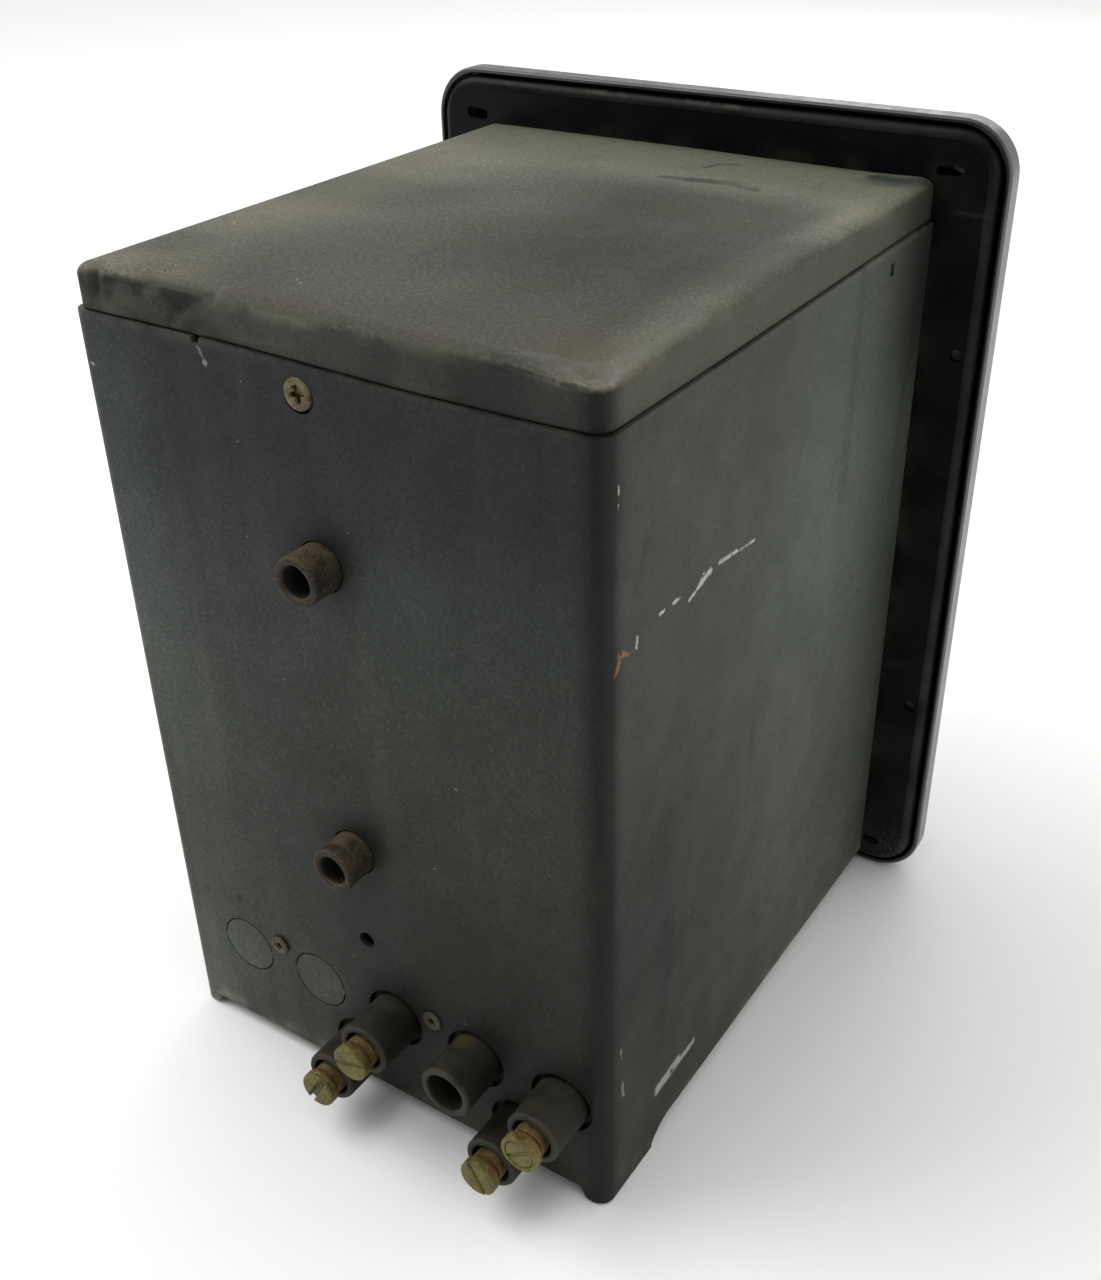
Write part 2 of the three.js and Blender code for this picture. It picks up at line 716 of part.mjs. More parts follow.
  // flat spiral control spring, inner end on a collet
  {
    const turns = 3.6,
      steps = 48,
      inner = [],
      outer = [];
    for (let i = 0; i <= steps; i++) {
      const t = i / steps,
        a = 2 * Math.PI * turns * t,
        r = 4 + 12 * t;
      inner.push(new THREE.Vector2((r - 0.25) * Math.cos(a), SHAFT_Y + (r - 0.25) * Math.sin(a)));
      outer.push(new THREE.Vector2((r + 0.25) * Math.cos(a), SHAFT_Y + (r + 0.25) * Math.sin(a)));
    }
    const ribbon = new THREE.Shape([...outer, ...inner.reverse()]);
    add(
      "control_spring",
      cut(
        join(prismZ(ribbon, 146, 149), cylZ(0, SHAFT_Y, 4.2, 144.5, 150.5, 20)),
        cylZ(0, SHAFT_Y, 1.9, 140, 155, 16),
      ),
      brass,
    );
  }
  // time dial on the upper bearing pin
  add(
    "time_dial",
    cut(
      turnedZ(0, SHAFT_Y, [
        [165.6, 0],
        [165.6, 8],
        [168, 8],
        [168, DIAL_R],
        [175, DIAL_R],
        [175, DIAL_R - 2.2],
        [172, DIAL_R - 2.2],
        [172, 7],
        [177, 6.4],
        [177, 0],
      ], 32),
      cylZ(0, SHAFT_Y, 3.35, 160, 180, 20),
    ),
    white,
  );

  // electromagnet: laminated core with a gap for the disk, and the coil on its upper limb
  let core = join(
    box(-12, 12, 66, 116, 112, 126),
    box(-12, 12, 66, 116, 64, 78),
    box(-12, 12, 102.5, 116, 64, 126),
    box(-20, 20, 64, 80, 97.6, 126),
    box(-20, 20, 64, 80, 64, 91.6),
  );
  add("magnet_core", core, laminations);
  let coil = prismY(roundRect(-24, 24, 100.6, 137.4, 5), 81, 101.6, 4);
  coil = cut(coil, box(-12.4, 12.4, 80, 103, 111.6, 126.4));
  add("operating_coil", coil, copper);

  // permanent drag magnet at the front, straddling the disk's edge
  let drag = box(11, 35, -11, 15, 77, 112.6);
  drag = cut(drag, box(10, 36, -3.5, 16, 91.4, 97.8));
  add("drag_magnet", drag, rustySteel);

  // stationary contact on the right-hand column
  let contact = join(
    box(17.2, 44.2, 39.6, 41, 134, 140),
    box(42.6, 44.2, 37, 47, 130, 144),
    cylY(19.5, 137, 2.4, 37.8, 39.8, 14),
  );
  add("stationary_contact", contact, brass);

  // seal-in unit on the left front post: bracket, coil, and a pivoted armature that carries the target
  let sealIn = join(
    box(-54.7, -53, 2.2, 20, 108, 152),
    box(-54.7, -29, 6, 20, 108, 110),
    cylZ(-41, 13, 3, 109, 138, 16),
    cylZ(-41, 13, 7.4, 112, 134, 20),
    box(-54.7, -50, 16, 20, 108, 146),
  );
  sealIn = cut(sealIn, cylX(20.6, 143.5, 1.3, -56, -48, 12));
  add("seal_in_unit", sealIn, copper);
  let armature = join(
    box(-49.4, -33, 0, 22, 140.4, 142),
    box(-47, -35, 0, 1.6, 131, 142),
    box(-49.4, -47.6, 17, 22.6, 140.4, 146),
    box(-34.8, -33, 17, 22.6, 140.4, 146),
  );
  add("seal_in_armature", armature, orange);

  // tap block under the top plate, and its tap screw
  let tap = box(-46, 46, -4, 16, 181, 193.7);
  tap = cut(tap, box(-10, 10, -5, 10, 189.5, 195));
  for (let i = 0; i < 7; i++)
    tap = cut(tap, cylY(-36 + 12 * i, 185, 2.5, -6, 4, 10));
  add("tap_block", tap, moulded);
  add(
    "tap_screw",
    turnedY(-12, 185, [
      [3, 0],
      [3, 2.1],
      [-4.4, 2.1],
      [-4.4, 4.2],
      [-8.4, 4.2],
      [-9, 3.6],
      [-9, 0],
    ], 20),
    brass,
  );
  add("nameplate", cut(box(-46, 46, 0.7, 1.7, 47, 74), box(-44, -41, 0, 3, 59, 62), box(41, 44, 0, 3, 59, 62)), aluminium);

  // latches
  let upper = join(
    box(-7.5, 7.5, 0.6, 7, 196.4, 201.6),
    cylX(LATCH_UP.y, LATCH_UP.z, 3.0, -7.5, 7.5, 16),
    box(-6, 6, -7.4, -5.4, 184, 198.2),
    box(-6, 6, -7.4, 2, 196, 198.2),
  );
  add("upper_latch", upper, steel);
  let lower = join(
    box(51.5, 57.5, -3.4, -1.6, 27, 38.2),
    box(51.5, 57.5, -3.4, 1.5, 35, 38.2),
    cylX(LATCH_LOW.y, LATCH_LOW.z, 2.2, 51.5, 57.5, 16),
  );
  add("lower_latch", lower, steel);

  // connection plug with its blades
  let plug = join(box(-60, 48, -6, 2.6, 22.6, 37), box(-34, 22, -15, -5, 26.4, 33));
  plug = cut(plug, box(-28, 16, -12.5, -6.5, 20, 40).subtract(box(-30, 18, -20, 0, 28, 31.6)));
  add("connection_plug", plug, moulded);
  STUDS.forEach(([x], i) =>
    add("plug_blade_" + (i + 1), box(x - 3.2, x + 3.2, 3, 6, 22.8, 36.4), brass),
  );
}

// ================================================================ the cover
{
  const H = COVER_HALF,
    [z0, z1] = COVER_Z,
    R = COVER_R;
  // outer skin from the rear rim to the front face, then the window edge, then the inner skin back
  const at = (y, inset, r) => [y, H - inset, z0 + inset, z1 - inset, Math.max(r, 1)];
  const outerSkin = [
    at(-1.5, 0.5, R),
    at(-2.2, 0, R),
    at(-8, 0, R),
    at(-12, 3.2, R - 1.5),
    at(-18, 7.9, R - 4),
    at(-24, 12.6, R - 6),
    at(-27, 15.4, R - 7),
    at(-28, 17.4, R - 8),
    at(-28, 28, 3),
  ];
  const innerSkin = [
    at(-26, 28, 3),
    at(-26, 18.2, 5),
    at(-22.6, 14.6, 6),
    at(-17, 10.2, 8),
    at(-11.4, 5.9, 11),
    at(-8.3, 4.9, 11),
    at(-8.3, 1.3, R - 1.3),
    at(-1.5, 1.3, R - 1.3),
  ];
  let frame = loftRing([...outerSkin, ...innerSkin], 4);
  // a boss round each cover nut and round the reset rod
  frame = join(
    frame,
    cylY(0, NUT_Z[0], 7.4, -28.6, -19, 20),
    cylY(0, NUT_Z[1], 7.4, -28.6, -25.95, 20),
    cylY(RESET.x, RESET.z, 5, -29.4, -25.95, 16),
  );
  for (const z of NUT_Z) frame = cut(frame, cylY(0, z, 3, -35, -10, 20));
  frame = cut(frame, cylY(RESET.x, RESET.z, 2.4, -35, -10, 16));
  add("cover_frame", frame, gloss);

  add(
    "window_glass",
    prismY(roundRect(-63.5, 63.5, 25.2, 205.2, 4), -25.6, -22.6, 3).subtract(
      cylY(0, NUT_Z[1], 3.1, -30, -10, 16),
    ),
    glass,
  );
  // knurled cover nuts
  const nut = (() => {
    const s = new THREE.Shape(),
      n = 20;
    for (let i = 0; i < n; i++) {
      const a = (2 * Math.PI * i) / n,
        r = i % 2 ? 5.6 : 6.1;
      s[i ? "lineTo" : "moveTo"](r * Math.cos(a), r * Math.sin(a));
    }
    return join(prismY(s, -36.2, -29), cylY(0, 0, 5.2, -37, -36.1, 24)).subtract(
      cylY(0, 0, 2.75, -34, -28, 16),
    );
  })();
  NUT_Z.forEach((z, i) =>
    add("cover_nut_" + ["lower", "upper"][i], nut, blackPaint, [0, 0, z]),
  );
  // reset rod with its push button
  add(
    "reset_rod",
    turnedY(RESET.x, RESET.z, [
      [-36.8, 0],
      [-36.8, 2.6],
      [-36.2, 3.4],
      [-35.6, 3.6],
      [-35.6, 3.6],
      [-35.4, 2.0],
      [-20, 2.0],
      [-20, 2.8],
      [-18, 2.8],
      [-18, 0],
    ].filter((p, i, a) => !i || p[0] !== a[i - 1][0] || p[1] !== a[i - 1][1]), 20),
    blackPaint,
  );
}

export default part;
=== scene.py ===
import math

import bmesh
import bpy
import numpy as np
from mathutils import Matrix, Vector
from mathutils.geometry import tessellate_polygon


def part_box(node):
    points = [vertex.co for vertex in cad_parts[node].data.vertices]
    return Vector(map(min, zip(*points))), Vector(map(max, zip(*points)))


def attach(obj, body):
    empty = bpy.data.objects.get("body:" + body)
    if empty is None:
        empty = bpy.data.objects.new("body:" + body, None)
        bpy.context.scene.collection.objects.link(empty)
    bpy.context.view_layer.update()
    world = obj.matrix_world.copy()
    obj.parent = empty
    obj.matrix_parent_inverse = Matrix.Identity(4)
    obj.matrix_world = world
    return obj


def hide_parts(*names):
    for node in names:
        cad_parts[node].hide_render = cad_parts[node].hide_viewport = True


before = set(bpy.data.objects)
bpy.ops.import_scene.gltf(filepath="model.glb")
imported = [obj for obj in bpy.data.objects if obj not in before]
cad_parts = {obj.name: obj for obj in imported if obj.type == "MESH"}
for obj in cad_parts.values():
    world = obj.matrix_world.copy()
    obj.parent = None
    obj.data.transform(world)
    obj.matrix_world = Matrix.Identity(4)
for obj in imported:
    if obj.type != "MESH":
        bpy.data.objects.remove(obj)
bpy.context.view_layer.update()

MM = 0.001
Y0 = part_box("mounting_flange")[1].y  # the flange's rear face: y = 0 of the working frame below, in mm


def bx(node):
    """x0, x1, y0, y1, z0, z1 of a CAD node, in mm, y from the flange's rear face."""
    lo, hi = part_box(node)
    return [round(v, 3) for v in (
        lo.x / MM, hi.x / MM, (lo.y - Y0) / MM, (hi.y - Y0) / MM, lo.z / MM, hi.z / MM)]


def mid(node):
    b = bx(node)
    return (b[0] + b[1]) / 2, (b[2] + b[3]) / 2, (b[4] + b[5]) / 2


# ================================================================ camera
def rotation(rv):
    v = Vector(rv)
    return Matrix.Rotation(v.length, 3, v.normalized())


cam_data = bpy.data.cameras.new("camera")
cam = bpy.data.objects.new("camera", cam_data)
bpy.context.scene.collection.objects.link(cam)
rows = rotation((0.705428378, -2.40616568, 1.34079300))  # rows: right, down, forward
right, down, forward = (Vector(rows[i]) for i in range(3))
m = Matrix.Identity(4)
for i in range(3):
    m[i][0], m[i][1], m[i][2] = right[i], -down[i], -forward[i]
m.translation = Vector((-0.190097, 0.286417, 0.307219))
cam.matrix_world = m
cam_data.sensor_fit = "AUTO"
cam_data.sensor_width = 36
cam_data.lens = 40.9027
cam_data.clip_start, cam_data.clip_end = 0.005, 50
bpy.context.scene.camera = cam
bpy.context.scene.view_settings.view_transform = "Standard"
bpy.context.scene.view_settings.look = "None"


# ================================================================ geometry in mm
class Geo:
    def __init__(self, v=(), f=()):
        self.v, self.f = [tuple(p) for p in v], [tuple(q) for q in f]

    def __add__(self, other):
        o = len(self.v)
        return Geo(self.v + other.v, self.f + [tuple(i + o for i in q) for q in other.f])

    def moved(self, x=0, y=0, z=0):
        return Geo([(a + x, b + y, c + z) for a, b, c in self.v], self.f)

    def turned(self, axis, deg, centre=(0, 0, 0)):
        r = Matrix.Rotation(math.radians(deg), 3, axis)
        c = Vector(centre)
        return Geo([tuple(r @ (Vector(p) - c) + c) for p in self.v], self.f)

    def mapped(self, fn):
        return Geo([fn(*p) for p in self.v], self.f)


def total(parts):
    g = Geo()
    for p in parts:
        g = g + p
    return g


def fillet(pts, r, n=4, closed=True):
    """A 2-D polyline with its corners rounded. r is a number, or one for each point."""
    pts = [Vector((p[0], p[1])) for p in pts]
    k = len(pts)
    rs = list(r) if hasattr(r, "__len__") else [r] * k
    out = []
    for i, p in enumerate(pts):
        if not closed and i in (0, k - 1):
            out.append((p.x, p.y))
            continue
        a, b = pts[i - 1] - p, pts[(i + 1) % k] - p
        la, lb = a.length, b.length
        if rs[i] <= 0 or la < 1e-6 or lb < 1e-6:
            out.append((p.x, p.y))
            continue
        u, v = a / la, b / lb
        ang = math.acos(max(-1, min(1, u.dot(v))))
        if ang > math.pi - 0.02 or ang < 0.02:
            out.append((p.x, p.y))
            continue
        t = min(rs[i] / math.tan(ang / 2), 0.49 * la, 0.49 * lb)
        rad = t * math.tan(ang / 2)
        c = p + (u + v).normalized() * (rad / math.sin(ang / 2))
        s, e = p + u * t - c, p + v * t - c
        a0 = math.atan2(s.y, s.x)
        d = math.atan2(e.y, e.x) - a0
        d = (d + math.pi) % (2 * math.pi) - math.pi
        for j in range(n + 1):
            w = a0 + d * j / n
            out.append((c.x + rad * math.cos(w), c.y + rad * math.sin(w)))
    return out


def rr(x0, x1, z0, z1, r, n=8):
    return fillet([(x0, z0), (x1, z0), (x1, z1), (x0, z1)], r, n)


def circle(cx, cy, r, n=32):
    return [(cx + r * math.cos(2 * math.pi * i / n), cy + r * math.sin(2 * math.pi * i / n)) for i in range(n)]


def slot_shape(cx, cy, half, r, angle=0, n=10):
    ca, sa = math.cos(math.radians(angle)), math.sin(math.radians(angle))
    pts = []
    for s in (1, -1):
        for i in range(n + 1):
            w = -math.pi / 2 + math.pi * i / n
            a, b = s * (half + r * math.cos(w)), s * r * math.sin(w)
            pts.append((cx + a * ca - b * sa, cy + a * sa + b * ca))
    return pts


def area(loop):
    return 0.5 * sum(a[0] * b[1] - b[0] * a[1] for a, b in zip(loop, loop[1:] + loop[:1]))


def inset(loop, d):
    """The loop moved to its left by d, with mitres."""
    k, out = len(loop), []
    for i, p in enumerate(loop):
        a, b = loop[i - 1], loop[(i + 1) % k]
        u = Vector((p[0] - a[0], p[1] - a[1]))
        v = Vector((b[0] - p[0], b[1] - p[1]))
        if u.length < 1e-7 or v.length < 1e-7:
            out.append(p)
            continue
        u.normalize(), v.normalize()
        n1, n2 = Vector((-u.y, u.x)), Vector((-v.y, v.x))
        s = 1 + n1.dot(n2)
        w = (n1 + n2) / max(s, 0.3)
        out.append((p[0] + w.x * d, p[1] + w.y * d))
    return out


def clean(loop):
    out = []
    for p in loop:
        if not out or math.hypot(p[0] - out[-1][0], p[1] - out[-1][1]) > 1e-4:
            out.append(p)
    if math.hypot(out[0][0] - out[-1][0], out[0][1] - out[-1][1]) < 1e-4:
        out.pop()
    return out


ORDER = {"x": lambda a, b, t: (t, a, b), "y": lambda a, b, t: (a, t, b), "z": lambda a, b, t: (a, b, t)}


def plate(axis, outline, holes, t0, t1, bev=0.3, seg=2):
    """A prism of a 2-D outline with holes, its rims rounded. x: outline is (y, z); y: (x, z); z: (x, y)."""
    loops = []
    for i, loop in enumerate([outline, *holes]):
        loop = clean(list(loop))
        if (area(loop) > 0) != (i == 0):
            loop = loop[::-1]
        loops.append(loop)
    bev = min(bev, (t1 - t0) * 0.49)
    levels = []
    for j in range(seg + 1):
        w = math.pi / 2 * j / seg
        levels.append((bev * (1 - math.sin(w)), t0 + bev * (1 - math.cos(w))))
    levels += [(d, t0 + t1 - t) for d, t in levels[::-1]]
    put = ORDER[axis]
    v, f, starts = [], [], []
    for d, t in levels:
        starts.append([])
        for loop in loops:
            starts[-1].append(len(v))
            v += [put(a, b, t) for a, b in (inset(loop, d) if d > 1e-6 else loop)]
    for li in range(len(levels) - 1):
        for k, loop in enumerate(loops):
            n, a, b = len(loop), starts[li][k], starts[li + 1][k]
            f += [(a + i, a + (i + 1) % n, b + (i + 1) % n, b + i) for i in range(n)]
    for li in (0, len(levels) - 1):
        d = levels[li][0]
        flat = [inset(loop, d) if d > 1e-6 else loop for loop in loops]
        base = starts[li][0]
        for tri in tessellate_polygon([[Vector((a, b, 0)) for a, b in loop] for loop in flat]):
            f.append(tuple(base + i for i in tri))
    return Geo(v, f)


def lathe(axis, ca, cb, prof, n=40, closed=False, wob=None):
    """Turned round an axis through (ca, cb) in the plate's plane. prof is pairs of place along the axis and radius."""
    put = ORDER[axis]
    v, f, ids = [], [], []
    for t, r in prof:
        if r < 1e-6:
            ids.append([len(v)])
            v.append(put(ca, cb, t))
            continue
        ids.append(list(range(len(v), len(v) + n)))
        for i in range(n):
            w = 2 * math.pi * i / n
            k = r + (wob(t, w) if wob else 0)
            v.append(put(ca + k * math.cos(w), cb + k * math.sin(w), t))
    pairs = list(zip(ids, ids[1:])) + ([(ids[-1], ids[0])] if closed else [])
    for a, b in pairs:
        if len(a) == 1 and len(b) == 1:
            continue
        for i in range(n):
            j = (i + 1) % n
            if len(a) == 1:
                f.append((a[0], b[j], b[i]))
            elif len(b) == 1:
                f.append((a[i], a[j], b[0]))
            else:
                f.append((a[i], a[j], b[j], b[i]))
    return Geo(v, f)


def loft(stations, closed=False, caps=False):
    """Rings of equal length joined by quads."""
    n = len(stations[0])
    v = [p for s in stations for p in s]
    m_ = len(stations)
    f = []
    for s in range(m_ if closed else m_ - 1):
        for i in range(n):
            a, b = s * n + i, s * n + (i + 1) % n
            c, d = ((s + 1) % m_) * n + i, ((s + 1) % m_) * n + (i + 1) % n
            f.append((a, b, d, c))
    if caps:
        f.append(tuple(range(n))[::-1])
        f.append(tuple((m_ - 1) * n + i for i in range(n)))
    return Geo(v, f)


def rbox(x0, x1, y0, y1, z0, z1, b=0.4, seg=2):
    bm = bmesh.new()
    bmesh.ops.create_cube(bm, size=1)
    for p in bm.verts:
        p.co = Vector((x0 + (p.co.x + 0.5) * (x1 - x0), y0 + (p.co.y + 0.5) * (y1 - y0), z0 + (p.co.z + 0.5) * (z1 - z0)))
    b = min(b, 0.45 * min(x1 - x0, y1 - y0, z1 - z0))
    bmesh.ops.bevel(bm, geom=bm.edges[:], offset=b, segments=seg, profile=0.5, affect="EDGES", clamp_overlap=True)
    bm.verts.ensure_lookup_table()
    bm.verts.index_update()
    g = Geo([tuple(p.co) for p in bm.verts], [tuple(p.index for p in q.verts) for q in bm.faces])
    bm.free()
    return g


def sweep(path, r, n=10, flat=None):
    """A round (or flat: half width, half height) rod along points."""
    pts = [Vector(p) for p in path]
    v, f = [], []
    t0 = (pts[1] - pts[0]).normalized()
    up = Vector((0, 0, 1)) if abs(t0.z) < 0.9 else Vector((1, 0, 0))
    nrm = (up - t0 * up.dot(t0)).normalized()
    for i, p in enumerate(pts):
        t = (pts[min(i + 1, len(pts) - 1)] - pts[max(i - 1, 0)]).normalized()
        nrm = (nrm - t * nrm.dot(t)).normalized()
        bi = t.cross(nrm)
        for k in range(n):
            w = 2 * math.pi * (k + 0.5) / n
            if flat:
                c, s = math.cos(w), math.sin(w)
                a = flat[0] * (1 if c > 0 else -1) if abs(c) > 0.3 else flat[0] * c / 0.3
                b = flat[1] * (1 if s > 0 else -1) if abs(s) > 0.3 else flat[1] * s / 0.3
                q = p + bi * a + nrm * b
            else:
                rad = r(i / (len(pts) - 1)) if callable(r) else r
                q = p + (nrm * math.cos(w) + bi * math.sin(w)) * rad
            v.append(tuple(q))
    m_ = len(pts)
    for s in range(m_ - 1):
        for k in range(n):
            a, b = s * n + k, s * n + (k + 1) % n
            f.append((a, b, b + n, a + n))
    f.append(tuple(range(n))[::-1])
    f.append(tuple((m_ - 1) * n + i for i in range(n)))
    return Geo(v, f)


def hexagon(cx, cy, r, a0=0):
    return [(cx + r * math.cos(math.radians(60 * i + a0)), cy + r * math.sin(math.radians(60 * i + a0))) for i in range(6)]


made = {}


def make(name, geo, mat, body, replaces=(), sharp=32, weld=1e-3, attrs=None):
    """A mesh object from geometry in mm, riding on a body."""
    me = bpy.data.meshes.new(name)
    me.from_pydata([(x * MM, Y0 + y * MM, z * MM) for x, y, z in geo.v], [], geo.f)
    bm = bmesh.new()
    bm.from_mesh(me)
    if weld:
        bmesh.ops.remove_doubles(bm, verts=bm.verts[:], dist=weld * MM)
        bmesh.ops.dissolve_degenerate(bm, edges=bm.edges[:], dist=1e-7)
    bmesh.ops.recalc_face_normals(bm, faces=bm.faces[:])
    bm.to_mesh(me)
    bm.free()
    me.shade_smooth()
    me.set_sharp_from_angle(angle=math.radians(sharp))
    o = bpy.data.objects.new(name, me)
    bpy.context.scene.collection.objects.link(o)
    me.materials.append(mat)
    w = o.modifiers.new("weighted", "WEIGHTED_NORMAL")
    w.keep_sharp = True
    w.weight = 50
    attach(o, body)
    if replaces:
        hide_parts(*([replaces] if isinstance(replaces, str) else replaces))
    made[name] = o
    return o


# ================================================================ materials
def srgb(r, g, b, a=1.0):
    def lin(c):
        c /= 255
        return c / 12.92 if c <= 0.04045 else ((c + 0.055) / 1.055) ** 2.4
    return (lin(r), lin(g), lin(b), a)


class Mat:
    def __init__(self, name):
        self.m = bpy.data.materials.new(name)
        self.m.use_nodes = True
        self.t = self.m.node_tree
        self.t.nodes.clear()
        self.out = self.node("ShaderNodeOutputMaterial")
        self.b = self.node("ShaderNodeBsdfPrincipled")
        self.t.links.new(self.b.outputs[0], self.out.inputs["Surface"])
        self.co = self.node("ShaderNodeTexCoord").outputs["Object"]
        self._xyz = None
        self._nrm = None

    def node(self, kind, **kw):
        n = self.t.nodes.new(kind)
        for k, v in kw.items():
            setattr(n, k, v)
        return n

    def put(self, sock, v):
        if v is None:
            return
        if isinstance(v, bpy.types.NodeSocket):
            self.t.links.new(v, sock)
        elif sock.type == "RGBA" and not hasattr(v, "__len__"):
            sock.default_value = (v, v, v, 1)
        else:
            sock.default_value = v

    def xyz(self):
        if not self._xyz:
            n = self.node("ShaderNodeSeparateXYZ")
            self.put(n.inputs[0], self.co)
            self._xyz = n.outputs
        return self._xyz

    def nrm(self):
        if not self._nrm:
            n = self.node("ShaderNodeSeparateXYZ")
            self.put(n.inputs[0], self.node("ShaderNodeNewGeometry").outputs["Normal"])
            self._nrm = n.outputs
        return self._nrm

    def math(self, op, a, b=None, c=None, clamp=False):
        n = self.node("ShaderNodeMath", operation=op, use_clamp=clamp)
        for s, v in zip(n.inputs, (a, b, c)):
            self.put(s, v)
        return n.outputs[0]

    def mul(self, *a):
        r = a[0]
        for x in a[1:]:
            r = self.math("MULTIPLY", r, x)
        return r

    def add(self, a, b, clamp=False):
        return self.math("ADD", a, b, clamp=clamp)

    def step(self, x, a, b):
        """0 at a, 1 at b, smooth; a may be above b."""
        n = self.node("ShaderNodeMapRange", interpolation_type="SMOOTHSTEP", clamp=True)
        lo, hi, t0, t1 = (a, b, 0, 1) if a < b else (b, a, 1, 0)
        for k, v in zip(("Value", "From Min", "From Max", "To Min", "To Max"), (x, lo, hi, t0, t1)):
            self.put(n.inputs[k], v)
        return n.outputs[0]

    def mix(self, f, a, b):
        n = self.node("ShaderNodeMix", data_type="RGBA", clamp_factor=True)
        self.put(n.inputs[0], f)
        self.put(n.inputs[6], a)
        self.put(n.inputs[7], b)
        return n.outputs[2]

    def mixf(self, f, a, b):
        n = self.node("ShaderNodeMix", data_type="FLOAT", clamp_factor=True)
        self.put(n.inputs[0], f)
        self.put(n.inputs[2], a)
        self.put(n.inputs[3], b)
        return n.outputs[0]

    def at(self, scale=(1, 1, 1), loc=(0, 0, 0), rot=(0, 0, 0)):
        n = self.node("ShaderNodeMapping")
        self.put(n.inputs["Vector"], self.co)
        n.inputs["Scale"].default_value = scale
        n.inputs["Location"].default_value = loc
        n.inputs["Rotation"].default_value = rot
        return n.outputs[0]

    def noise(self, scale, detail=3, rough=0.5, dist=0, co=None, seed=0.0):
        n = self.node("ShaderNodeTexNoise", noise_dimensions="4D")
        self.put(n.inputs["Vector"], co if co is not None else self.co)
        n.inputs["W"].default_value = seed
        n.inputs["Scale"].default_value = scale
        n.inputs["Detail"].default_value = detail
        n.inputs["Roughness"].default_value = rough
        n.inputs["Distortion"].default_value = dist
        return n.outputs[0]

    def cells(self, scale, co=None, feature="F1", rand=1.0):
        n = self.node("ShaderNodeTexVoronoi", feature=feature)
        self.put(n.inputs["Vector"], co if co is not None else self.co)
        n.inputs["Scale"].default_value = scale
        n.inputs["Randomness"].default_value = rand
        return n.outputs["Distance"]

    def blob(self, p, r0, r1, squash=(1, 1, 1), warp=None):
        """1 within r0 mm of a point (working frame, mm), 0 beyond r1, each axis stretched by squash."""
        n = self.node("ShaderNodeVectorMath", operation="SUBTRACT")
        self.put(n.inputs[0], self.co)
        n.inputs[1].default_value = (p[0] * MM, Y0 + p[1] * MM, p[2] * MM)
        s = self.node("ShaderNodeVectorMath", operation="MULTIPLY")
        self.put(s.inputs[0], n.outputs[0])
        s.inputs[1].default_value = squash
        l = self.node("ShaderNodeVectorMath", operation="LENGTH")
        self.put(l.inputs[0], s.outputs[0])
        d = l.outputs["Value"]
        if warp is not None:
            d = self.add(d, warp)
        return self.step(d, r1 * MM, r0 * MM)

    def stroke(self, a, b, w, warp=None, soft=1.6):
        """1 on the segment a-b (working frame, mm), w mm half width."""
        A = Vector((a[0] * MM, Y0 + a[1] * MM, a[2] * MM))
        B = Vector((b[0] * MM, Y0 + b[1] * MM, b[2] * MM))
        d = B - A
        pa = self.node("ShaderNodeVectorMath", operation="SUBTRACT")
        self.put(pa.inputs[0], self.co)
        pa.inputs[1].default_value = A
        dot = self.node("ShaderNodeVectorMath", operation="DOT_PRODUCT")
        self.put(dot.inputs[0], pa.outputs[0])
        dot.inputs[1].default_value = d / d.length_squared
        h = self.math("ADD", dot.outputs["Value"], 0.0, clamp=True)
        sc = self.node("ShaderNodeVectorMath", operation="SCALE")
        sc.inputs[0].default_value = d
        self.put(sc.inputs["Scale"], h)
        df = self.node("ShaderNodeVectorMath", operation="SUBTRACT")
        self.put(df.inputs[0], pa.outputs[0])
        self.put(df.inputs[1], sc.outputs[0])
        ln = self.node("ShaderNodeVectorMath", operation="LENGTH")
        self.put(ln.inputs[0], df.outputs[0])
        x = ln.outputs["Value"]
        if warp is not None:
            x = self.add(x, warp)
        return self.step(x, w * soft * MM, w * MM * 0.7)

    def both(self, *masks):
        r = masks[0]
        for x in masks[1:]:
            r = self.math("MAXIMUM", r, x)
        return r

    def bump(self, h, strength=0.3, dist=0.0003, normal=None):
        n = self.node("ShaderNodeBump")
        n.inputs["Strength"].default_value = strength
        n.inputs["Distance"].default_value = dist
        self.put(n.inputs["Height"], h)
        if normal is not None:
            self.put(n.inputs["Normal"], normal)
        return n.outputs[0]

    def gain(self, col, k):
        n = self.node("ShaderNodeVectorMath", operation="SCALE")
        self.put(n.inputs[0], col)
        self.put(n.inputs["Scale"], k)
        return n.outputs[0]

    def tint(self, col, rgb):
        n = self.node("ShaderNodeVectorMath", operation="MULTIPLY")
        self.put(n.inputs[0], col)
        n.inputs[1].default_value = rgb
        return n.outputs[0]

    def set(self, color=None, rough=None, metal=None, normal=None, **kw):
        for k, v in (("Base Color", color), ("Roughness", rough), ("Metallic", metal), ("Normal", normal)):
            self.put(self.b.inputs[k], v)
        for k, v in kw.items():
            self.b.inputs[k.replace("_", " ")].default_value = v
        return self.m


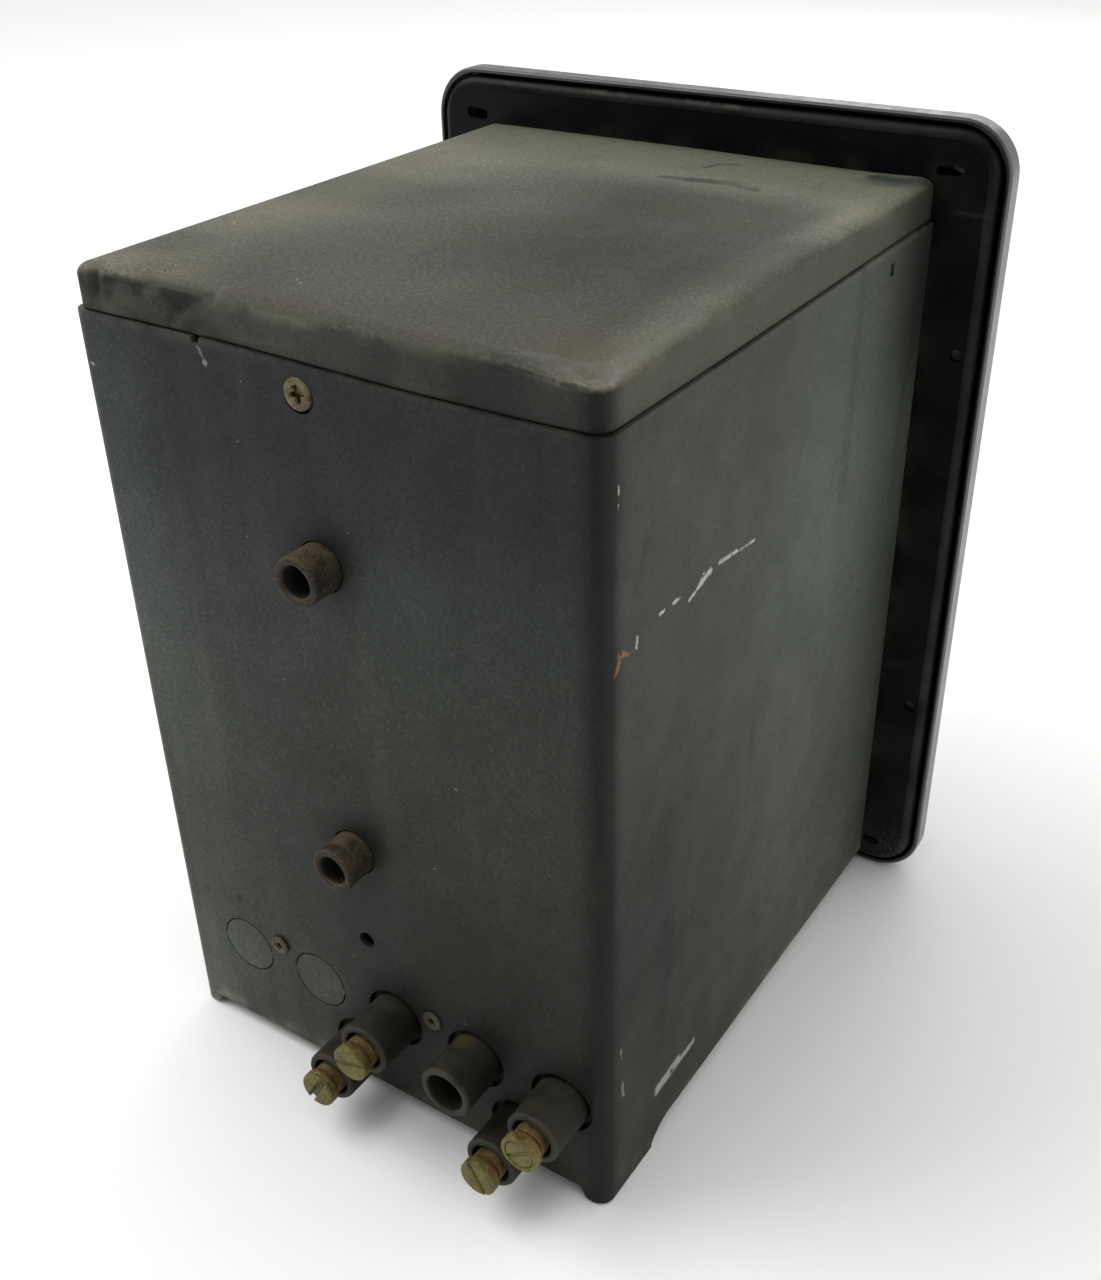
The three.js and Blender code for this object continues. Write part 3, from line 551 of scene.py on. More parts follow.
def plain(name, c1, c2, rough=(0.4, 0.6), metal=0.0, scale=60, grain=900, bump=0.15, dist=0.0002,
          speck=None, dust=None, spec=0.5, stretch=None, rust=None, coat=None):
    """A general material: two tones, fine grain in colour and bump, specks, dust on what faces up, and rust patches."""
    M = Mat(name)
    co = M.at(scale=stretch) if stretch else M.co
    big = M.noise(scale, 4, 0.55, 0.3)
    fine = M.noise(grain, 3, 0.6, co=co, seed=3)
    tone = M.step(M.add(M.mul(big, 0.6), M.mul(fine, 0.4)), 0.34, 0.66)
    col = M.mix(tone, c1, c2)
    r = M.mixf(M.step(M.add(M.mul(big, 0.5), M.mul(fine, 0.5)), 0.35, 0.65), rough[0], rough[1])
    if rust:
        rc, lim = rust
        mk = M.step(M.add(M.mul(M.noise(scale * 2.2, 5, 0.65, 0.6, seed=8), 0.75), M.mul(fine, 0.25)), lim, lim + 0.09)
        col = M.mix(mk, col, rc)
        r = M.mixf(mk, r, 0.85)
    if dust:
        dc, amount = dust
        up = M.step(M.nrm()[2], 0.15, 0.95)
        mk = M.mul(up, M.step(M.noise(scale * 1.4, 4, 0.6, 0.2, seed=5), 0.32, 0.68), amount)
        col = M.mix(mk, col, dc)
        r = M.mixf(mk, r, 0.85)
    if speck:
        sc, size, lim = speck
        mk = M.step(M.noise(size, 1.5, 0.5, seed=11), lim, lim + 0.05)
        col = M.mix(M.mul(mk, 0.8), col, sc)
    n = M.bump(fine, bump, dist)
    kw = {"Specular_IOR_Level": spec}
    if coat:
        kw.update(Coat_Weight=coat[0], Coat_Roughness=coat[1])
    return M.set(col, r, metal, n, **kw)


DUST = srgb(132, 126, 106)


# brightness gains on the colour of each face: the rear wall, the right side, the cap's top and skirts and the flange
# are scaled apart, partly for their own tone and partly as painted light and shade
PAINT_BACK, PAINT_SIDE, PAINT_BEND = 0.46, 0.50, 0.13
CAP_TOP, CAP_SKIRT, FLANGE_GAIN = 0.78, 0.56, 0.33


# painted shadows: centre x, z and size of the dark smudges painted on the rear wall above and beside each barrel and
# boss
PAINTED_SHADOW_SPOTS = [(p_[0], p_[2], 8.5) for p_ in (mid(f"terminal_screw_{i}") for i in range(1, 5))]
PAINTED_SHADOW_SPOTS += [(p_[0], p_[2], 7.0) for p_ in (mid("mounting_boss_lower"), mid("mounting_boss_upper"))]
PAINTED_SHADOW_SPOTS.append((PAINTED_SHADOW_SPOTS[0][0] - (PAINTED_SHADOW_SPOTS[0][0] - PAINTED_SHADOW_SPOTS[1][0]) / 2, PAINTED_SHADOW_SPOTS[0][1], 8.5))


def case_paint():
    M = Mat("case_paint_aged")
    x, y, z = M.xyz()
    big = M.noise(14, 3, 0.5, 0.4)
    med = M.noise(70, 4, 0.6, 0.3, seed=2)
    fine = M.add(M.mul(M.noise(900, 2, 0.55, seed=3), 0.45), M.mul(M.noise(2000, 2, 0.6, seed=31), 0.55))
    grit = M.noise(3200, 1, 0.5, seed=4)
    streak = M.noise(60, 3, 0.6, co=M.at(scale=(1.4, 1.4, 0.10)), seed=6)
    # slate on the upper rear, warmer in the middle, paler low down
    cool, warm, pale = srgb(60, 64, 63), srgb(62, 65, 58), srgb(88, 88, 82)
    side = M.step(x, -0.0660, -0.0684)
    col = M.mix(M.step(z, 0.10, 0.19), warm, cool)
    low = M.mul(M.step(z, 0.075, 0.002), M.step(big, 0.25, 0.7))
    col = M.mix(M.mul(low, 0.75), col, pale)
    # the right side in a paler colour than the rear wall, partly painted light where more light falls on it; lighter
    # higher up, and darker close along the flange, most of all high up
    sidecol = M.mix(M.step(z, 0.03, 0.17), srgb(76, 77, 69), srgb(94, 96, 90))
    front = M.mul(M.step(y, Y0 + 0.070, Y0 + 0.004), M.mixf(M.step(z, 0.150, 0.184), 0.40, 0.75))
    sidecol = M.mix(front, sidecol, srgb(52, 55, 50))
    col = M.mix(side, col, sidecol)
    # the left side in the same paint, without the paler tone painted on the right side as light
    left = M.step(x, 0.0660, 0.0684)
    col = M.mix(left, col, M.mix(M.step(z, 0.02, 0.2), srgb(62, 64, 58), srgb(78, 80, 74)))
    # dull streaks and blotches
    col = M.mix(M.mul(M.step(streak, 0.52, 0.78), 0.38), col, srgb(92, 92, 82))
    col = M.mix(M.mul(M.step(streak, 0.48, 0.24), 0.5), col, srgb(34, 37, 35))
    col = M.mix(M.mul(M.step(med, 0.55, 0.8), 0.35), col, srgb(98, 94, 80))
    col = M.mix(M.mul(M.step(big, 0.5, 0.28), 0.30), col, srgb(38, 42, 41))
    # sandy grain
    col = M.mix(M.mul(M.step(fine, 0.5, 0.68), 0.27), col, srgb(124, 124, 114))
    col = M.mix(M.mul(M.step(fine, 0.5, 0.32), 0.44), col, srgb(22, 25, 24))
    # pale dots, tan rust dots
    dots = M.step(M.noise(520, 1, 0.5, seed=9), 0.775, 0.80)
    col = M.mix(M.mul(dots, 0.55), col, srgb(168, 162, 146))
    rdots = M.mul(M.step(M.noise(420, 2, 0.5, seed=12), 0.76, 0.80), M.step(M.noise(25, 2, seed=13), 0.45, 0.6))
    col = M.mix(M.mul(rdots, 0.7), col, srgb(112, 82, 56))
    # worn and paler along the rear bends and round the holes
    edge = M.mul(M.step(M.math("ABSOLUTE", x), 0.0635, 0.0672), M.step(y, Y0 + 0.1520, Y0 + 0.1560))
    edge = M.mul(edge, M.step(med, 0.50, 0.66))
    col = M.mix(M.mul(edge, 0.45), col, srgb(118, 114, 100))
    top = M.mul(M.step(z, 0.2030, 0.2056), M.step(M.noise(120, 3, seed=14), 0.42, 0.6))
    col = M.mix(M.mul(top, 0.42), col, srgb(122, 118, 100))
    bottom = M.mul(M.step(z, 0.0100, 0.0052), M.step(M.noise(140, 3, seed=15), 0.46, 0.62))
    col = M.mix(M.mul(bottom, 0.55), col, srgb(126, 120, 102))
    # shaded, greasy rings round the bosses
    for p in ((2.7, 156.5, 160.2), (2.7, 156.5, 82.1)):
        col = M.mix(M.mul(M.blob(p, 5, 15), 0.4), col, srgb(46, 46, 40))
    # scratches and chips down to pale primer on the right side
    jag = M.mul(M.math("SUBTRACT", M.noise(900, 3, 0.7, seed=17), 0.5), 0.0016)
    s = M.both(
        M.stroke((-68.5, 94.1, 158.1), (-68.5, 110.9, 160.2), 0.26, jag),
        M.stroke((-68.5, 103.0, 159.4), (-68.5, 110.9, 160.3), 0.42, jag),
        M.stroke((-68.5, 115.0, 160.2), (-68.5, 119.6, 159.0), 0.62, jag),
        M.stroke((-68.5, 118.0, 161.0), (-68.5, 119.6, 159.0), 0.34, jag),
        M.stroke((-68.5, 118.8, 159.2), (-68.5, 124.0, 157.4), 0.36, jag),
        M.stroke((-68.5, 128.2, 160.0), (-68.5, 130.7, 160.1), 0.30, jag),
        M.stroke((-68.5, 134.2, 160.3), (-68.5, 136.0, 160.1), 0.28, jag),
        M.mul(M.stroke((-68.5, 152.1, 194.8), (-68.5, 152.2, 193.4), 0.26, jag), 0.8),
        M.mul(M.stroke((-68.5, 152.2, 191.2), (-68.5, 152.3, 190.4), 0.22, jag), 0.8),
        M.mul(M.stroke((-68.5, 144.9, 159.2), (-68.5, 145.2, 156.9), 0.36, jag), 0.75),
    )
    thr = M.step(M.noise(380, 3, 0.7, seed=18), 0.36, 0.50)
    col = M.mix(M.mul(s, thr, side, 0.92), col, srgb(214, 214, 206))
    wedge = M.both(M.stroke((-68.5, 132.2, 18.6), (-68.5, 113.0, 19.4), 0.75, M.mul(jag, 1.2)), M.stroke((-68.5, 131.6, 19.4), (-68.5, 121.5, 20.0), 1.35, M.mul(jag, 1.2)))
    wthr = M.step(M.noise(260, 4, 0.7, seed=19), 0.34, 0.46)
    col = M.mix(M.mul(wedge, wthr, side, 0.85), col, srgb(196, 198, 190))
    # orange rust smear at the near bend
    sm = M.both(M.stroke((-68.5, 151.9, 159.0), (-68.5, 149.6, 158.0), 0.55, jag), M.stroke((-68.5, 150.6, 158.8), (-68.5, 152.6, 155.6), 0.50, jag),
                M.stroke((-68.5, 152.8, 155.4), (-68.4, 153.2, 154.0), 0.35, jag), M.mul(M.stroke((-68.5, 148.6, 157.4), (-68.5, 146.6, 157.0), 0.35, jag), 0.7))
    rust = M.mul(sm, M.step(M.noise(420, 4, 0.7, seed=20), 0.44, 0.54))
    col = M.mix(M.mul(rust, 0.9), col, srgb(176, 128, 92))
    # pale chips on the rear wall under the cap
    ch = M.both(
        M.blob((28.6, 156.5, 200.9), 0.55, 1.0, warp=jag),
        M.blob((67.3, 156.5, 196.4), 0.55, 1.1, warp=jag),
        M.blob((67.0, 156.5, 194.4), 0.35, 0.9, warp=jag),
        M.mul(M.stroke((30.4, 156.5, 204.6), (29.2, 156.5, 202.2), 0.28, jag), 0.6),
        M.mul(M.stroke((66.4, 156.5, 194.3), (64.0, 156.5, 194.0), 0.22, jag), 0.5),
    )
    col = M.mix(M.mul(ch, M.step(y, Y0 + 0.155, Y0 + 0.1562), 0.95), col, srgb(202, 198, 190))
    # faint dimples left by old screws
    for p in ((58.6, 156.5, 45.2), (46.2, 156.5, 47.4)):
        col = M.mix(M.mul(M.blob(p, 0.8, 1.8, warp=jag), 0.5), col, srgb(40, 40, 36))
    h = M.add(M.mul(fine, 0.7), M.mul(grit, 0.3))
    n = M.bump(h, 0.55, 0.00016)
    n = M.bump(M.add(M.mul(s, side, -1.0), M.mul(rust, 0.5)), 0.5, 0.0002, normal=n)
    # painted shade: the paint is darker down the near rear bend, where less light reaches it
    soft = M.mul(M.math("SUBTRACT", M.noise(45, 3, 0.6, seed=41), 0.5), 0.004)
    bend = M.mul(M.step(M.add(x, M.mul(soft, 0.6)), -0.0592, -0.0668), M.step(M.add(y, soft), Y0 + 0.1490, Y0 + 0.1538))
    # the rear wall's brightness is set region by region, partly the paint's own tone and partly painted light and
    # shade: painted light low on the left, where the floor throws light up, painted shade low on the right, lighter
    # bands and patches across the middle
    lowleft = M.mul(M.step(x, -0.005, 0.062), M.step(z, 0.175, 0.045))
    back = M.add(M.mul(M.mixf(lowleft, 0.72, 1.75), PAINT_BACK), M.mul(M.step(x, 0.045, 0.068), 0.06))
    lowright = M.mul(M.step(x, 0.0, -0.060), M.step(z, 0.090, 0.010))
    back = M.mul(back, M.mixf(lowright, 1.0, 0.74))
    drift = M.mul(M.math("SUBTRACT", M.noise(16, 3, 0.55, seed=51), 0.5), 0.045)
    belt = M.mul(M.step(M.add(z, drift), 0.186, 0.160), M.step(M.add(z, drift), 0.062, 0.112))
    back = M.mul(back, M.mixf(belt, 1.0, 1.56), M.mixf(M.mul(M.step(x, 0.038, 0.062), M.step(z, 0.085, 0.150)), 1.0, 1.66))
    back = M.mul(back, M.mixf(M.mul(M.step(x, 0.000, 0.014), M.step(x, 0.030, 0.016), M.step(z, 0.050, 0.028)), 1.0, 1.66), M.mixf(M.mul(M.step(x, 0.044, 0.062), M.step(z, 0.048, 0.026)), 1.0, 1.32), M.mixf(M.mul(M.step(x, -0.046, -0.060), M.step(z, 0.090, 0.060)), 1.0, 1.30))
    fog = M.both(M.blob((-15, 156.5, 147), 8, 30, (1, 1, 1), M.mul(drift, 0.25)), M.blob((63, 156.5, 186), 6, 22, (1, 1, 1), M.mul(drift, 0.2)))
    back = M.mul(back, M.mixf(fog, 1.0, 1.22))
    # the right side's brightness is set region by region, partly the paint's own tone and partly painted light and
    # shade: lighter towards the flange and low beside it, darker close along the flange and low towards the rear, a
    # painted sheen high in the middle, painted shade high up just behind the flange
    wide = M.add(y, M.mul(M.math("SUBTRACT", M.noise(9, 2, 0.5, seed=40), 0.5), 0.05))
    sideg = M.mul(M.mixf(M.step(wide, Y0 + 0.125, Y0 + 0.045), 0.73, 1.60), PAINT_SIDE)
    contact = M.mul(M.step(wide, Y0 + 0.052, Y0 + 0.004), side)
    high = M.step(M.add(z, M.mul(M.math("SUBTRACT", M.noise(12, 2, 0.5, seed=52), 0.5), 0.03)), 0.150, 0.184)
    sideg = M.mul(sideg, M.mixf(contact, 1.0, M.mixf(high, 0.80, 0.36)))
    foot = M.mul(M.step(y, Y0 + 0.044, Y0 + 0.010), M.step(z, 0.100, 0.035))
    sideg = M.mul(sideg, M.mixf(foot, 1.0, 1.46), M.mixf(M.mul(M.step(y, Y0 + 0.100, Y0 + 0.145), M.step(z, 0.130, 0.095), M.step(z, 0.035, 0.060)), 1.0, 0.70))
    sheen = M.blob((-68.5, 118, 188), 6, 24, (1, 1, 0.8), M.mul(drift, 0.2))
    shade = M.mul(M.step(z, 0.160, 0.182), M.step(y, Y0 + 0.100, Y0 + 0.080), M.step(y, Y0 + 0.024, Y0 + 0.046))
    sideg = M.mul(sideg, M.mixf(sheen, 1.0, 1.34), M.mixf(shade, 1.0, 0.82))
    base = M.mixf(side, back, sideg)
    base = M.mixf(M.mul(left, M.step(y, Y0 + 0.1535, Y0 + 0.1505)), base, M.mul(M.mixf(M.step(z, 0.19, 0.03), 0.42, 0.60), 1.0))
    # painted shade down the near rear bend
    base = M.mul(base, M.mixf(bend, 1.0, 0.30))
    # painted shadows above and beside each barrel and boss, and clean faces on the two knockouts
    painted_shadow = None
    for gx, gz, gr in PAINTED_SHADOW_SPOTS:
        k_ = M.blob((gx - 0.35 * gr, 156.5, gz + 0.5 * gr), gr * 0.55, gr * 1.75, (1.0, 1.0, 0.72), M.mul(soft, 0.8))
        painted_shadow = k_ if painted_shadow is None else M.both(painted_shadow, k_)
    base = M.mul(base, M.mixf(painted_shadow, 1.0, 0.66))
    disc = M.both(M.blob((20.2, 156.5, 31), 7.7, 8.3), M.blob((45.6, 156.5, 31), 7.7, 8.3))
    base = M.mul(base, M.mixf(disc, 1.0, 1.42))
    halo = M.mul(M.blob((3.4, 156.5, 198.2), 4.0, 9.5, warp=soft), 0.5)
    base = M.mul(base, M.mixf(halo, 1.0, 1.35))
    col = M.tint(M.gain(col, base), (0.96, 1.045, 0.985))
    blue = M.mul(M.mixf(M.step(z, 0.110, 0.165), 0.55, 1.0), M.step(x, -0.030, 0.040), M.step(y, Y0 + 0.1545, Y0 + 0.1560))
    col = M.mix(blue, col, M.tint(col, (1.03, 0.985, 1.12)))
    # a thin tan edge where the wrap's rim is bare under the cap, near the bend
    bare = M.mul(M.both(M.stroke((-68.5, 146.5, 205.9), (-68.5, 151.8, 205.9), 0.35, jag), M.stroke((-67.6, 155.0, 205.9), (-60, 156.5, 205.9), 0.4, jag)), M.step(M.noise(500, 3, seed=42), 0.40, 0.52))
    col = M.mix(M.mul(bare, 0.55), col, srgb(128, 120, 100))
    # pale rubs on the side by the bend
    r = M.mixf(M.step(med, 0.3, 0.7), 0.52, 0.66)
    rubs = M.mul(M.both(M.stroke((-68.5, 149.9, 49.5), (-68.5, 149.6, 47.0), 0.35, jag), M.stroke((-68.5, 149.3, 38.5), (-68.5, 148.8, 33.0), 0.45, jag)), M.step(M.noise(500, 3, seed=43), 0.42, 0.56))
    col = M.mix(M.mul(rubs, side, 0.5), col, srgb(150, 150, 142))
    col = M.mix(M.mul(s, thr, side, 0.85), col, srgb(176, 176, 166))
    col = M.mix(M.mul(wedge, wthr, side, 0.85), col, srgb(150, 152, 144))
    col = M.mix(M.mul(rust, 0.85), col, srgb(128, 94, 66))
    return M.set(col, r, 0.0, n, Specular_IOR_Level=0.17)


def cap_paint():
    M = Mat("cap_paint_dusty")
    x, y, z = M.xyz()
    big = M.noise(11, 3, 0.5, 0.5, seed=1)
    med = M.noise(55, 4, 0.6, 0.4, seed=2)
    fine = M.add(M.mul(M.noise(950, 2, 0.55, seed=3), 0.45), M.mul(M.noise(2000, 2, 0.6, seed=31), 0.55))
    grit = M.noise(3200, 1, 0.5, seed=4)
    warp = M.mul(M.math("SUBTRACT", M.noise(40, 3, 0.6, seed=7), 0.5), 0.020)
    col = M.mix(M.step(big, 0.32, 0.66), srgb(88, 86, 80), srgb(99, 97, 88))
    # tan dust banks near the flange and on the left, greyer worn middle
    bank = M.step(M.add(y, M.mul(warp, 1.3)), Y0 + 0.052, Y0 + 0.012)
    col = M.mix(M.mul(bank, 0.80), col, srgb(122, 122, 106))
    left = M.mul(M.step(M.add(x, warp), 0.018, 0.062), M.step(y, Y0 + 0.165, Y0 + 0.085))
    col = M.mix(M.mul(left, 0.72), col, srgb(120, 116, 102))
    rear = M.mul(M.step(M.add(y, warp), Y0 + 0.118, Y0 + 0.150), M.step(med, 0.3, 0.6))
    col = M.mix(M.mul(rear, 0.40), col, srgb(112, 104, 88))
    edge = M.mul(M.step(M.add(x, M.mul(warp, 0.4)), -0.050, -0.064), 0.62)
    col = M.mix(edge, col, srgb(116, 113, 98))
    # darker rubbed patches
    dk = M.blob((12, 52, 216), 4, 34, (0.55, 1.4, 1), warp)
    dk2 = M.blob((8, 104, 216), 4, 26, (0.9, 0.8, 1), warp)
    dk3 = M.blob((-30, 96, 216), 4, 34, (0.8, 0.5, 1), warp)
    col = M.mix(M.mul(dk, 0.50), col, srgb(70, 69, 64))
    col = M.mix(M.mul(dk2, 0.32), col, srgb(68, 66, 60))
    col = M.mix(M.mul(dk3, 0.30), col, srgb(76, 75, 72))
    col = M.mix(M.mul(M.step(med, 0.52, 0.78), 0.40), col, srgb(120, 113, 95))
    col = M.mix(M.mul(M.step(med, 0.48, 0.26), 0.35), col, srgb(70, 70, 66))
    col = M.mix(M.mul(M.step(fine, 0.5, 0.68), 0.50), col, srgb(158, 152, 134))
    col = M.mix(M.mul(M.step(fine, 0.5, 0.32), 0.55), col, srgb(44, 44, 40))
    dots = M.step(M.noise(470, 1, 0.5, seed=9), 0.785, 0.81)
    col = M.mix(M.mul(dots, 0.6), col, srgb(186, 182, 168))
    # skirt: the rear one darker as painted shade, the right one paler as painted light, all with dust blotches
    up = M.step(M.nrm()[2], 0.25, 0.8)
    rearf = M.step(M.nrm()[1], 0.3, 0.8)
    skirt = M.mix(rearf, srgb(90, 90, 78), srgb(58, 61, 57))
    skirt = M.mix(M.mul(M.step(M.nrm()[0], 0.3, 0.8), 1.0), skirt, srgb(72, 73, 66))
    skirt = M.mix(M.mul(M.step(med, 0.45, 0.7), 0.5), skirt, srgb(100, 97, 82))
    skirt = M.mix(M.mul(M.step(fine, 0.5, 0.78), 0.36), skirt, srgb(120, 118, 104))
    skirt = M.mix(M.mul(M.step(fine, 0.5, 0.26), 0.55), skirt, srgb(26, 28, 25))
    col = M.mix(up, skirt, col)
    # the dust line along the crown of the edge
    crown = M.mul(M.step(z, 0.2116, 0.2142), M.step(z, 0.2161, 0.2150), M.step(med, 0.36, 0.62))
    col = M.mix(M.mul(crown, 0.45), col, srgb(126, 121, 104))
    jag = M.mul(M.math("SUBTRACT", M.noise(700, 3, 0.7, seed=17), 0.5), 0.003)
    # blue-black scuffs near the flange, soft smears without any sharp figure
    loose = M.mul(M.math("SUBTRACT", M.noise(150, 2, 0.5, seed=62), 0.5), 0.0022)
    sc = M.both(
        M.mul(M.stroke((-8.0, 30.2, 216), (-17.0, 28.7, 216), 0.8, loose, soft=2.6), 0.8),
        M.stroke((-15.5, 29.2, 216), (-26.0, 27.2, 216), 1.4, loose, soft=2.2),
        M.mul(M.stroke((-25.0, 27.9, 216), (-33.2, 29.9, 216), 0.8, loose, soft=2.4), 0.8),
        M.mul(M.stroke((-12.8, 16.6, 216), (-14.2, 12.2, 216), 0.6, loose, soft=2.6), 0.7),
        M.mul(M.stroke((-14.2, 12.0, 216), (-18.6, 10.4, 216), 0.7, loose, soft=2.4), 0.8),
    )
    col = M.mix(M.mul(sc, M.mixf(M.step(M.noise(110, 2, 0.5, seed=21), 0.32, 0.60), 0.45, 0.88)), col, srgb(42, 51, 60))
    streak_b = M.both(M.stroke((-54.0, 4.6, 216), (-62.7, 6.2, 216), 1.3, loose, soft=2.6), M.stroke((-61.0, 6.0, 216), (-66.6, 2.0, 216), 1.6, loose, soft=2.6))
    col = M.mix(M.mul(streak_b, 0.72), col, srgb(40, 46, 50))
    corner = M.blob((-60, 8, 216), 1.5, 9, (0.7, 1.2, 1), jag)
    col = M.mix(M.mul(corner, 0.6), col, srgb(52, 58, 62))
    # bare, rubbed rim of the near corner, brown tinge inside it
    col = M.mix(M.mul(M.blob((-58, 146, 216), 2, 13, (0.7, 1, 1), jag), 0.35), col, srgb(118, 96, 78))
    col = M.mix(M.mul(M.stroke((-66.2, 149, 215.2), (-66.2, 118, 215.2), 1.3, M.mul(jag, 1.5)), 0.5), col, srgb(136, 134, 120))
    # dark, scraped metal in the dent, a paler facet beside it
    dw = M.mul(jag, 0.8)
    e1 = M.add(M.math("SUBTRACT", M.mul(M.math("SUBTRACT", 0.0482, x), 0.556), M.mul(M.math("SUBTRACT", 0.2135, z), 0.831)), dw)
    e2 = M.add(M.math("SUBTRACT", M.mul(M.math("SUBTRACT", x, 0.0242), 0.517), M.mul(M.math("SUBTRACT", 0.2141, z), 0.856)), dw)
    tri = M.mul(M.step(e1, 0.0000, 0.0007), M.step(M.add(M.mul(M.math("SUBTRACT", x, 0.0373), 0.517), M.mul(M.math("SUBTRACT", z, 0.2062), 0.856)), -0.0003, 0.0006), M.step(y, Y0 + 0.1490, Y0 + 0.1520))
    tri = M.mul(tri, M.step(x, 0.0232, 0.0262), M.step(z, 0.2150, 0.2140))
    col = M.mix(M.mul(tri, 0.62), col, srgb(44, 48, 42))
    strip = M.mul(M.stroke((57.5, 154.4, 214.3), (43, 154.8, 213.9), 0.9, M.mul(jag, 1.2)), M.step(M.noise(260, 3, 0.6, seed=48), 0.36, 0.5))
    col = M.mix(M.mul(strip, 0.7), col, srgb(34, 38, 34))
    pale = M.mul(M.stroke((54, 155.5, 211.2), (41, 155.5, 207.6), 1.5, jag), 0.5)
    col = M.mix(pale, col, srgb(96, 94, 80))
    dent2 = M.blob((60.0, 155.0, 212.0), 1.5, 4.6, (1, 1, 0.6), jag)
    col = M.mix(M.mul(dent2, 0.6), col, srgb(42, 44, 40))
    n = M.bump(M.add(M.mul(fine, 0.7), M.mul(grit, 0.3)), 0.6, 0.00018)
    r = M.mixf(up, 0.62, M.mixf(M.step(med, 0.3, 0.7), 0.66, 0.84))
    bend = M.mul(M.step(M.nrm()[0], -0.16, -0.42), M.step(M.nrm()[1], 0.16, 0.42))
    # the cap top's brightness is set region by region, partly the paint's own tone and partly painted light and shade:
    # darker in broad patches towards the rear and the right, a painted pool of light on the middle towards the rear,
    # small lit and dim patches, darker close to the flange
    wa = M.mul(M.math("SUBTRACT", M.noise(28, 3, 0.6, seed=47), 0.5), 0.016)
    deepen = M.mul(M.step(M.add(y, wa), Y0 + 0.052, Y0 + 0.118), M.step(M.add(x, wa), 0.062, 0.020), M.step(M.add(x, M.mul(wa, 0.5)), -0.064, -0.052))
    hollow = M.blob((4, 58, 216), 12, 40, (0.8, 1.15, 1), wa)
    top_g = M.mul(M.mixf(deepen, 1.0, 0.56), M.mixf(M.mul(hollow, 0.16), 1.0, 0.3), CAP_TOP)
    pool = M.mul(M.step(M.add(x, wa), 0.016, -0.016), M.step(M.add(y, wa), Y0 + 0.026, Y0 + 0.046), M.step(M.add(y, wa), Y0 + 0.134, Y0 + 0.088), M.both(M.step(M.add(x, M.mul(wa, 0.4)), -0.0640, -0.0540), M.mul(M.step(y, Y0 + 0.056, Y0 + 0.070), 0.9)))
    cross = M.mul(M.step(M.add(y, wa), Y0 + 0.056, Y0 + 0.070), M.step(M.add(y, wa), Y0 + 0.096, Y0 + 0.080), M.step(M.add(x, wa), 0.016, 0.036))
    glow = M.blob((2, 118, 216), 12, 38, (1.0, 1.0, 1), wa)
    near_f = M.step(M.add(y, M.mul(wa, 0.4)), Y0 + 0.034, Y0 + 0.016)
    top_g = M.mul(top_g, M.mixf(pool, 1.0, 0.50), M.mixf(cross, 1.0, 0.72), M.mixf(glow, 1.0, 1.24), M.mixf(near_f, 1.0, 0.82))
    lit = M.both(M.blob((36, 48, 216), 5, 20, (0.8, 1, 1), wa), M.blob((-58, 44, 216), 4, 15, (1.2, 0.8, 1), wa), M.blob((60, 152, 216), 4, 13, (1, 1, 1), wa))
    dim = M.both(M.blob((58, 132, 216), 4, 13, (1, 1, 1), wa), M.mul(M.blob((-62, 132, 216), 6, 22, (1.5, 0.8, 1), wa), 1.0))
    top_g = M.mul(top_g, M.mixf(lit, 1.0, 1.24), M.mixf(dim, 1.0, 0.76))
    # skirt gains, partly the paint's own tone and partly painted light and shade: painted shade on the rear skirt and
    # close to the flange, lighter and darker patches on the rear skirt
    skirt_g = M.mul(M.mixf(rearf, 1.10, 0.98), CAP_SKIRT)
    skirt_g = M.mul(skirt_g, M.mixf(M.mul(M.step(y, Y0 + 0.030, Y0 + 0.008), 0.68), 1.0, 0.2))
    pale_r = M.both(M.blob((2, 156, 209), 5, 22, (1, 1, 1), jag), M.blob((60, 156, 208), 3, 9, (1, 1, 1), jag))
    skirt_g = M.mul(skirt_g, M.mixf(M.mul(pale_r, rearf), 1.0, 1.42), M.mixf(M.mul(M.both(M.blob((38, 156, 209), 6, 16, (1, 1, 1), jag), M.blob((-40, 156, 209), 6, 16, (1, 1, 1), jag)), rearf), 1.0, 0.72))
    # painted shade down the near rear bend of the skirt
    bend = M.mul(M.step(M.add(x, M.mul(jag, 0.3)), -0.0596, -0.0655), M.step(M.add(y, M.mul(jag, 0.3)), Y0 + 0.1475, Y0 + 0.1535))
    skirt_g = M.mul(skirt_g, M.mixf(bend, 1.0, 0.32))
    col = M.tint(M.gain(col, M.mixf(up, skirt_g, top_g)), (0.965, 1.03, 0.975))
    # crease along the crown of the near corner and the rubbed fold above it
    crease = M.both(M.stroke((-46, 155.3, 214.6), (-58, 155.3, 213.5), 0.30, M.mul(jag, 0.35)), M.stroke((-58, 155.3, 213.5), (-65.2, 154.4, 212.6), 0.45, M.mul(jag, 0.35)), M.stroke((-66.6, 152.6, 212.6), (-66.9, 153.4, 207.5), 0.4, M.mul(jag, 0.3)))
    col = M.mix(M.mul(crease, 0.72), col, srgb(24, 26, 24))
    fold = M.both(M.stroke((-50, 152.0, 215.2), (-64.2, 149.0, 214.4), 1.6, M.mul(jag, 0.5), soft=2.6), M.mul(M.stroke((-62.5, 146, 215.0), (-65.0, 139, 215.4), 1.2, M.mul(jag, 0.4), soft=2.8), 0.5))
    col = M.mix(M.mul(fold, M.step(med, 0.3, 0.55), 0.40), col, srgb(104, 108, 112))
    crumbs = M.mul(M.blob((-65, 154.4, 215), 2, 6, warp=jag), M.step(M.noise(620, 3, seed=44), 0.58, 0.66))
    col = M.mix(M.mul(crumbs, 0.35), col, srgb(112, 106, 88))
    return M.set(col, r, 0.0, n, Specular_IOR_Level=0.18)


